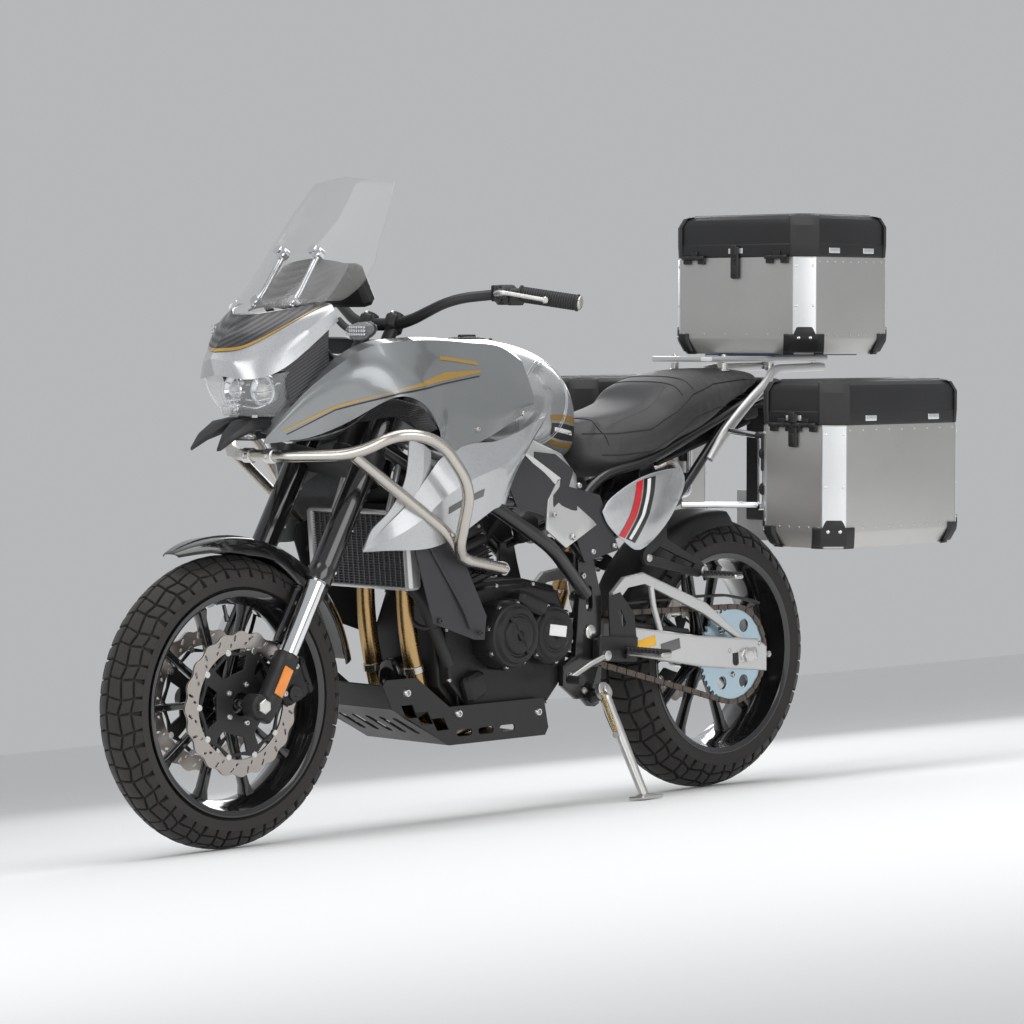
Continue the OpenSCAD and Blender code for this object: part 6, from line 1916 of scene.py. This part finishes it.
# %% Foot controls
pegs, rubbers, hangers, lever_set, lever_rubber = Shape(), Shape(), Shape(), Shape(), Shape()
for side in (-1, 1):
    hangers.block((-288, side * 151, 356), (122, 10, 56), (0, -4, 0), 4)
    hangers.block((-241, side * 141, 358), (28, 24, 50), edge=4)
    hangers.block((-320, side * 160, 346), (34, 18, 26), edge=4)
    pegs.block((-320, side * 212, 347), (34, 116, 12), edge=3)
    for k in range(9):
        rubbers.block((-320, side * (168 + 11.5 * k), 354), (38, 7, 9), edge=1.5)
    rubbers.block((-320, side * 214, 352), (34, 108, 5), edge=1)
    pegs.block((-573, side * 204, 506), (28, 106, 10), edge=3)
    for k in range(8):
        rubbers.block((-573, side * (164 + 12 * k), 512), (33, 7, 8), edge=1.5)
    hangers.turned([(0, 9), (6, 9), (7, 6)], (-438, side * 133.5, 655), (0, side, 0), 24)
    hanger_outline = [(-448, 668), (-425, 668), (-415, 610), (-375, 562), (-377, 548), (-385, 536), (-560,
        501), (-588, 508),
                      (-588, 520), (-570, 535), (-455, 590)]
    hangers = join(hangers, plate([hanger_outline, [(-430, 575), (-400, 558), (-540, 524), (-546, 531)]], 10,
                                  at_side(side * 141), 2))
    for x, z, r in ((-436, 655, 9), (-393, 551, 9), (-576, 515, 11)):
        pegs.turned([(0, r), (3, r), (5, r - 2), (5, r * 0.4)], (x, side * 146, z), (0, side, 0), 24)
    lever_set.tube([(-240, side * 162.4, 345), (-190, side * 162.4, 330), (-120, side * 162.4, 300)], 6, 12,
                   16)
    lever_set.turned([(-7, 9), (-6, 11), (6, 11), (7, 9)], (-240, side * 162.4, 345), (0, 1, 0), 24)
    lever_rubber.turned([(0, 9), (2, 10), (44, 10), (46, 8)], (-120, side * 164, 300), (0.08, side, 0), 20)
make("peg_rubbers", rubbers, matt_black, "chassis")
make("peg_bars", pegs, bare_alloy, "chassis", bevel=0.6)
make("peg_hangers", hangers, satin_black, "chassis", "footpegs", sharp=30)
make("foot_lever_arms", lever_set, bare_alloy, "chassis", "foot_levers")
make("foot_lever_rubbers", lever_rubber, matt_black, "chassis")
heel = Shape()
for side in (-1, 1):
    heel = join(heel, plate([[(-262, 470), (-300, 480), (-345, 430), (-352, 380), (-330, 372), (-268, 380)],
                             slot_outline((-305, 424), 44, 12, 1.1)], 4, at_side(side * 146), 0.8))
make("heel_guards", heel, satin_black, "chassis")

# %% Side stand
FOOT = Vector((-230, 290, 290 * math.tan(math.radians(8))))
stand, foot_plate, stand_spring = Shape(), Shape(), Shape()
knee_point = STAND + Vector((0, 22 * math.sin(math.radians(25)), -22 * math.cos(math.radians(25))))
path = [knee_point, knee_point.lerp(FOOT, 0.5), FOOT + Vector((0, -4, 8))]
stand.tube(spline(path, 8), [13 - 3.0 * k / 16 for k in range(17)], sides=22)
stand.turned([(-7, 18), (-6, 20), (6, 20), (7, 18), (7, 6.2), (-7, 6.2)], STAND, pin_line, 36)
stand.tube([STAND + Vector((0, 6, -10)), knee_point], 12, sides=16)
lug_spot = knee_point.lerp(FOOT, 0.34)
stand.turned([(0, 5), (16, 5), (17, 7), (20, 7)], lug_spot, (1, 0.2, 0), 14)
lean_in = Matrix.Rotation(math.radians(8), 4, "X")
foot_plate.block(FOOT + lean_in.to_3x3() @ Vector((-3, -1, 5)), (68, 44, 8), (8, 0, 0), 3)
foot_plate.block(FOOT + lean_in.to_3x3() @ Vector((-3, -1, 9)), (40, 24, 6), (8, 0, 0), 2)
make("side_stand_leg", stand, bare_alloy, "side_stand", "side_stand")
make("side_stand_foot", foot_plate, bare_alloy, "side_stand", bevel=0.8)
top_hook = STAND + Vector((16, 8, 4))
line = lug_spot + Vector((14, 3, 0)) - top_hook
_, first, second = basis(line)
coil = [top_hook + line * (0.04 + 0.92 * k / 220) + (first * math.cos(k * 0.55) + second * math.sin(k * 0.55)) * 4.6
        for k in range(221)]
stand_spring.tube(coil, 1.2, sides=8)
make("side_stand_spring", stand_spring, brass, "side_stand")
print("foot controls done", len(made_pieces))

# %% [markdown]
# ## Aluminium cases
# Each case is folded sheet with bright corner strips, rivets and black plastic corners. The case
# is drawn once, in its own axes with the origin at its front left lower corner, and three matrices
# place it. Rivets and ribs are small turned shapes, so they stay crisp from close by.

# %% Cases
WALL, CHAMFER, LID = 3, 38, 98


def eight(l, w, z, c, inset=0):
    """Chamfered rectangle at a height."""
    return [(inset, w - c, z), (c, w - inset, z), (l - c, w - inset, z), (l - inset, w - c, z), (l - inset, c,
        z),
            (l - c, inset, z), (c, inset, z), (inset, c, z)]


def case_pieces(name, place, l, w, h, lid_body, nodes, sides):
    """Builds one case and its lid; sides lists the faces that carry rivets."""
    body, corners, rivets, black, lid, trim, latches, pads = (Shape() for _ in range(8))
    inside = [[Vector(p) for p in eight(l, w, z, c, i)] for z, c, i in
              ((h, CHAMFER + 2, WALL), (36, CHAMFER + 2, WALL), (WALL, CHAMFER + 8, 14 + WALL))]
    outside = [[Vector(p) for p in eight(l, w, z, c, i)] for z, c, i in
               ((0, CHAMFER + 8, 16), (3, CHAMFER + 6, 14), (34, CHAMFER + 0.4, 0.6), (38, CHAMFER, 0),
                (h - 2, CHAMFER, 0),
                (h, CHAMFER, 0.6))]
    body.skin(outside + inside)
    for sx, sy in ((0, 0), (0, 1), (1, 0), (1, 1)):
        cx, cy = (l if sx else 0), (w if sy else 0)
        inx, iny = (-1 if sx else 1), (-1 if sy else 1)
        spot = Vector((cx + inx * CHAMFER / 2, cy + iny * CHAMFER / 2, 0))
        out = Vector((-inx, -iny, 0)).normalized()
        flat = Vector((out.y, -out.x, 0))
        half = CHAMFER / math.sqrt(2)
        strip = []
        for z in (40, h - 3):
            strip.append([spot + Vector((0, 0, z)) + flat * u + out * v for u, v in
                          ((-half - 1, 0), (-half + 1, 2.2), (-half * 0.5, 3.4), (half * 0.5, 3.4), (half - 1,
                              2.2), (half + 1, 0))])
        corners.skin(strip)
        for z in (58, h * 0.5, h - 20):
            for u in (-half * 0.72, half * 0.72):
                rivets.turned([(-1, 3.4), (0.8, 3.2), (1.6, 1.4)],
                              spot + Vector((0, 0, z)) + flat * u + out * 2.8, out, 10)
        outer = [(-half - 20, -13), (-half - 2, 0.6), (half + 2, 0.6), (half + 20, -13)]
        guard = []
        for z, grow, drop in ((-1.0, -12, 14), (6, 1.5, 12), (30, 4.5, 1.5), (44, 4.5, 0.2), (47, 1.5, 0)):
            guard.append([spot + Vector((0, 0, z)) + flat * u + out * (v + grow - drop) for u, v in outer]
                         + [spot + Vector((0, 0, z)) + flat * u + out * (v - 5 - drop) for u,
                            v in reversed(outer)])
        black.skin(guard)
        black.skin([[spot + Vector((0, 0, z)) + flat * (u * share) + out * v for u, v in
                     ((-half, 2), (half, 2), (half, 5.5), (-half, 5.5))]
                    for z, share in ((44, 1), (60, 0.72), (63, 0.6))])
        for u in (-half * 0.5, half * 0.5):
            rivets.turned([(-1, 4), (1, 3.8), (2, 1.6)], spot + Vector((0, 0, 38)) + flat * u + out * 4.8,
                          out, 10)
        cap = []
        for z, c, grow in ((h + 1, 0, 2.5), (h + 30, 0, 4.5), (h + LID - 26, 0, 4.5), (h + LID - 5, -9, 1),
                           (h + LID - 1.5, -24, -2)):
            cap.append([spot + Vector((0, 0, z)) + flat * u + out * (v + grow + c) for u, v in
                        ((-half - 8, -8), (-half - 6, -3), (-half * 0.6, 0), (half * 0.6, 0), (half + 6, -3),
                         (half + 8, -8))])
        pads.skin(cap)
    lid_outer = [[Vector(p) for p in eight(l, w, h + z, c, i)] for z, c, i in
                 ((0.4, CHAMFER, 0.8), (3, CHAMFER, -1.5), (28, CHAMFER, -1.5), (31, CHAMFER, 0), (LID - 24,
                     CHAMFER, 0),
                  (LID - 10, CHAMFER + 3, 6), (LID - 2, CHAMFER + 8, 18), (LID, CHAMFER + 9, 24))]
    lid_inner = [[Vector(p) for p in eight(l, w, h + z, c, i)] for z, c, i in
                 ((LID - 5, CHAMFER + 9, 24), (LID - 26, CHAMFER + 3, 6), (0.4, CHAMFER + 3, 6))]
    lid.skin(lid_outer + lid_inner)
    lid.skin([[Vector(p) for p in eight(l, w, h + LID - 1, CHAMFER + 10, 34)],
              [Vector(p) for p in eight(l, w, h + LID + 2, CHAMFER + 12, 38)]])
    for axis_name, spots in sides.items():
        for spot in spots:
            if axis_name == "front":
                trim.block((l + 1.6, spot, h + 15), (3, 44, 12), edge=1)
                latches.block((l + 4, spot, h - 12), (9, 24, 74), edge=3)
                latches.block((l + 9, spot, h + 16), (6, 18, 24), edge=2)
                latches.block((l + 8, spot, h - 30), (5, 14, 22), edge=1.5)
                latches.turned([(-1, 4), (1, 3.8), (2, 1.6)], (l + 8.4, spot, h - 4), (1, 0, 0), 10)
            else:
                y = w + 1.6 if axis_name == "left" else -1.6
                trim.block((spot, y, h + 15), (38, 3, 12), edge=1)
                rivets.turned([(-1, 3.4), (1, 3.2), (2, 1.4)], (spot, y, h + 15), (0, math.copysign(1, y), 0),
                              10)
    for k in range(9):
        x = 50 + (l - 100) * k / 8
        for y, way in ((0, -1), (w, 1)):
            rivets.turned([(-1, 3), (0.8, 2.8), (1.5, 1.2)], (x, y, 46), (0, way, 0), 8)
            rivets.turned([(-1, 3), (0.8, 2.8), (1.5, 1.2)], (x, y, h - 10), (0, way, 0), 8)
    for k in range(6):
        y = 48 + (w - 96) * k / 5
        rivets.turned([(-1, 3), (0.8, 2.8), (1.5, 1.2)], (l, y, 46), (1, 0, 0), 8)
    ribs = Shape()
    for k in range(3):
        y = w * (0.3 + 0.2 * k)
        ribs.block((l / 2, y, h + LID + 1), (l - 130, 16, 3), edge=1)
    for sy in (-1, 1):
        y = w / 2 + sy * (w / 2 - 84)
        for k in (-1, 1):
            black.turned([(-11, 4.4), (-10, 5), (10, 5), (11, 4.4)], (l + 6.5, y + 22.4 * k, h), (0, 1, 0),
                         18)
            black.block((l + 2.4, y + 22.4 * k, h - 8), (7, 21, 13), edge=1)
        lid.turned([(-11, 4.4), (-10, 5), (10, 5), (11, 4.4)], (l + 6.5, y, h), (0, 1, 0), 18)
        lid.block((l + 2.4, y, h + 8), (7, 21, 13), edge=1)
    space = BIKE @ place
    make(name + "_sheet", body, case_sheet, "chassis", nodes[0], space, sharp=20)
    make(name + "_corner_strips", corners, case_corner, "chassis", space=space, sharp=20)
    make(name + "_rivets", rivets, screw_steel, "chassis", space=space)
    make(name + "_corner_guards", black, satin_black, "chassis", space=space, bevel=0.8)
    make(name + "_lid_shell", lid, satin_black, lid_body, nodes[1], space, bevel=0.8, sharp=25)
    make(name + "_lid_pads", join(pads, ribs), matt_black, lid_body, space=space, bevel=1.2,
         sharp=30)
    make(name + "_trim", trim, case_corner, lid_body, space=space)
    make(name + "_latches", latches, satin_black, lid_body, space=space, bevel=0.8)


TOP_CASE_REAR, TOP_CASE_FLOOR = -1168, 1000
PANNIER_REAR, PANNIER_INNER, PANNIER_FLOOR = -1071, 263, 575
TOP_CASE_SIZE, PANNIER_SIZE = (322, 424, 224), (460, 237, 272)
case_pieces("top_case", Matrix.Translation((TOP_CASE_REAR, -212, TOP_CASE_FLOOR)), *TOP_CASE_SIZE,
            "top_case_lid",
            ("top_case", "top_case_lid"), {"front": (212,), "left": (100, 222), "right": (100, 222)})
pannier = Matrix.Translation((PANNIER_REAR, PANNIER_INNER, PANNIER_FLOOR))
case_pieces("left_pannier", pannier, *PANNIER_SIZE, "left_pannier_lid", ("panniers", "left_pannier_lid"),
            {"front": (118,), "left": (120, 340), "right": (120, 340)})
flip = Matrix.Scale(-1, 4, (0, 1, 0))
case_pieces("right_pannier", flip @ pannier, *PANNIER_SIZE, "right_pannier_lid", ((), "right_pannier_lid"),
            {"front": (118,), "left": (120, 340), "right": (120, 340)})

# %% [markdown]
# ## Rack, tail and carriers
# The rack's side rails double as the passenger's grab rails, so they are flattened where the hand
# goes. The tail carries a lamp, a blank number plate and its holder.

# %% Rack, tail and pannier carriers
rail = [(-600, 140, 765), (-640, 146, 820), (-722, 150, 893), (-800, 140, 938), (-862, 100, 966), (-1060, 82,
    970)]
rails = Shape()
path = rounded(rail, 44, 8)
rings = []
for i, p in enumerate(path):
    along = (path[min(i + 1, len(path) - 1)] - path[max(i - 1, 0)]).normalized()
    side_way = Vector((0, 1, 0)) - along * along.y
    side_way.normalize()
    over = along.cross(side_way)
    share = min(1, i / 6)
    rings.append([p + side_way * (7 + 2 * share) * math.cos(a) + over * (10
        + 4 * share * (1 - i / len(path))) * math.sin(a)
                  for a in (2 * math.pi * k / 18 for k in range(18))])
rails.skin(rings)
rails.mirrored()
rack_plate = plate([[(-1078, -80), (-1066, -93), (-660, -93), (-642, -76), (-642, 76), (-660, 93), (-1066,
    93), (-1078, 80)]]
                   + [slot_outline((x, y), 70, 16, 0) for x in (-1010, -900, -780) for y in (-56, 0, 56)], 12,
                   Matrix.Translation((0, 0, 990)), 3)
make("rack_rails", join(rails, rack_plate), arm_silver, "chassis", "luggage_rack",
     sharp=35)
rack_parts = Shape()
for x in (-1040, -880, -720):
    for y in (-76, 76):
        rack_parts.turned([(0, 9), (14, 9), (15, 12), (18, 12), (19, 8)], (x, y, 981), (0, 0, -1), 20)
        rack_parts.bolt((x, y, 996), (0, 0, 1), 6)
make("rack_fixings", rack_parts, screw_steel, "chassis")
make("rack_blue_strip", Shape().block((-1007, 0, 998), (300, 214, 3), edge=1), blue_strip, "chassis")

tail = loft([oblong(-856, 70, 880, 940, 4, 32), oblong(-880, 76, 874, 944, 4, 32), oblong(-930, 76, 873, 945,
    4, 32),
             oblong(-954, 68, 880, 938, 4, 32), oblong(-959, 60, 886, 932, 4, 32)], 4)
tail.block((-941, 0, 745), (7, 96, 270), edge=3)
for k in (-1, 1):
    tail.tube([(-938, k * 40, 872), (-942, k * 34, 740), (-946, k * 30, 680)], 5, 10, 12)
make("tail_housing", tail, satin_black, "chassis", "tail_unit", bevel=1, sharp=45)
lamp = Shape()
for k in range(-3, 4):
    lamp.block((-959, k * 17, 910), (8, 15, 30), edge=3)
make("tail_lamp", lamp, red_lens, "chassis", bevel=0.8)
number = plate([[(-84, -58), (84, -58), (84, 58), (-84, 58)]], 2,
               Matrix.Translation((-948, 0, 620)) @ Matrix.Rotation(
    math.radians(90), 4, "Y") @ Matrix.Rotation(math.radians(90), 4, "Z"), 0.4)
make("number_plate_blank", number, white_film, "chassis")
reflector = Shape().block((-947, 0, 690), (5, 60, 18), edge=2)
make("rear_reflector", reflector, red_lens, "chassis")

carriers, pads = Shape(), Shape()
CARRIER_Y = 263 - 8 - 0.8 - 6
for side in (-1, 1):
    y = side * CARRIER_Y
    carriers.tube([(-640, y, 660), (-960, y, 660), (-960, y, 820), (-640, y, 820)], 8, 26, 18)
    carriers.rod((-652, y, 660), (-652, y, 820), 7)
    carriers.tube([(-650, y - side * 4, 820), (-648, side * 158, 828)], 7, sides=16)
    for x in (-652, -950):
        for z in (700, 780):
            pads.turned([(0, 14), (6, 14), (8, 11)], (x, side * (CARRIER_Y + 6), z), (0, side, 0), 20)
        pads.block((x, side * (CARRIER_Y + 10), 783), (18, 8, 84), edge=2)
carriers.tube([(-648, CARRIER_Y, 664), (-505, 141, 666)], 7, sides=16)
carriers.tube([(-652, -CARRIER_Y, 660), (-642, 4 - CARRIER_Y, 588), (-577, -154, 522)], 7, 20, 16)
make("carrier_tubes", carriers, chrome, "chassis", "pannier_frames")
make("carrier_pads", pads, matt_black, "chassis")
under = Shape()
under.block((-640, 0, 800), (330, 180, 8), (0, 16, 0), 3)
under.block((-470, 0, 690), (150, 150, 60), (0, 20, 0), 12)
under.block((-800, 0, 862), (90, 150, 30), (0, 8, 0), 6)
for side in (-1, 1):
    under.block((-250, side * 96, 610), (70, 30, 50), (0, 12, 0), 8)
    under.tube([(-120, side * 118, 560), (-180, side * 128, 620), (-250, side * 110, 690)], 8, 30, 12)
make("under_seat_parts", under, matt_black, "chassis", bevel=1.5)
print("luggage done", len(made_pieces))

# %% [markdown]
# ## Floor, light and camera
# A plain pale floor and broad soft lights keep attention on the finishes. The floor is flat and
# wide: a curved backdrop would hide the motorcycle from a camera on its far side. The camera
# stands at the left front, low and far away, with a long lens, and it leans with the bike.

# %% Stage
floor = Finish("floor", (0.9, 0.9, 0.9), 0.8)
floor.set("Roughness", 0.7 + floor.noise(3, 3) * 0.2)
FLOOR_REACH = 60
corners = [Vector((x, y, -0.001)) for x, y in ((-FLOOR_REACH, -FLOOR_REACH), (FLOOR_REACH, -FLOOR_REACH),
                                               (FLOOR_REACH, FLOOR_REACH), (-FLOOR_REACH, FLOOR_REACH))]
backdrop = bpy.data.meshes.new("studio_floor")
backdrop.from_pydata(corners, [], [(0, 1, 2, 3)])
backdrop.materials.append(floor.material)
ground = bpy.data.objects.new("studio_floor", backdrop)
bpy.context.scene.collection.objects.link(ground)

world = bpy.data.worlds.new("studio")
world.use_nodes = True
world.node_tree.nodes["Background"].inputs[0].default_value = (0.93, 0.95, 0.97, 1)
world.node_tree.nodes["Background"].inputs[1].default_value = 0.5
bpy.context.scene.world = world


def softbox(name, place, aim, size, power):
    """A large rectangular light that points at a spot."""
    light = bpy.data.lights.new(name, "AREA")
    light.shape = "RECTANGLE"
    light.size, light.size_y = size
    light.energy = power
    holder = bpy.data.objects.new(name, light)
    bpy.context.scene.collection.objects.link(holder)
    holder.location = place
    holder.rotation_euler = (Vector(aim) - Vector(place)).to_track_quat("-Z", "Y").to_euler()


softbox("overhead", (0.2, 0.6, 4.2), (0, 0, 0.5), (4.5, 3.0), 95)
softbox("left_side", (0.6, 4.6, 1.9), (0, 0, 0.7), (3.5, 2.2), 55)
softbox("front", (4.6, 1.6, 1.8), (0.3, 0, 0.7), (2.4, 2.4), 40)
softbox("rear_rim", (-3.6, -2.6, 2.6), (-0.4, 0, 0.8), (2.5, 2.0), 50)

camera_data = bpy.data.cameras.new("camera")
camera_data.sensor_width = 36
FOCAL_WIDTHS = 3704 / 1024
camera_data.lens = camera_data.sensor_width * FOCAL_WIDTHS
camera = bpy.data.objects.new("camera", camera_data)
bpy.context.scene.collection.objects.link(camera)
eye = Vector((5621, 5731, 1066))
azimuth, dip = math.radians(135), math.radians(2.88)
look = Vector((-math.sin(azimuth) * math.cos(dip), math.cos(azimuth) * math.cos(dip), -math.sin(dip)))
right = look.cross(Vector((0, 0, 1))).normalized()
turn = Matrix((right, right.cross(look), -look)).transposed()
lean = BIKE.to_3x3().normalized()
camera.matrix_world = Matrix.Translation(BIKE @ eye) @ (lean @ turn).to_4x4()
bpy.context.scene.camera = camera
bpy.context.scene.view_settings.view_transform = "Standard"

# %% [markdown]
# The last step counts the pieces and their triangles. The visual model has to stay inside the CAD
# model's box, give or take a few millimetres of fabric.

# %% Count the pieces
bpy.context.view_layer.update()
triangles = sum(len(p.vertices) - 2 for piece in made_pieces.values() for p in piece.data.polygons)
print(len(made_pieces), "pieces,", triangles, "triangles")
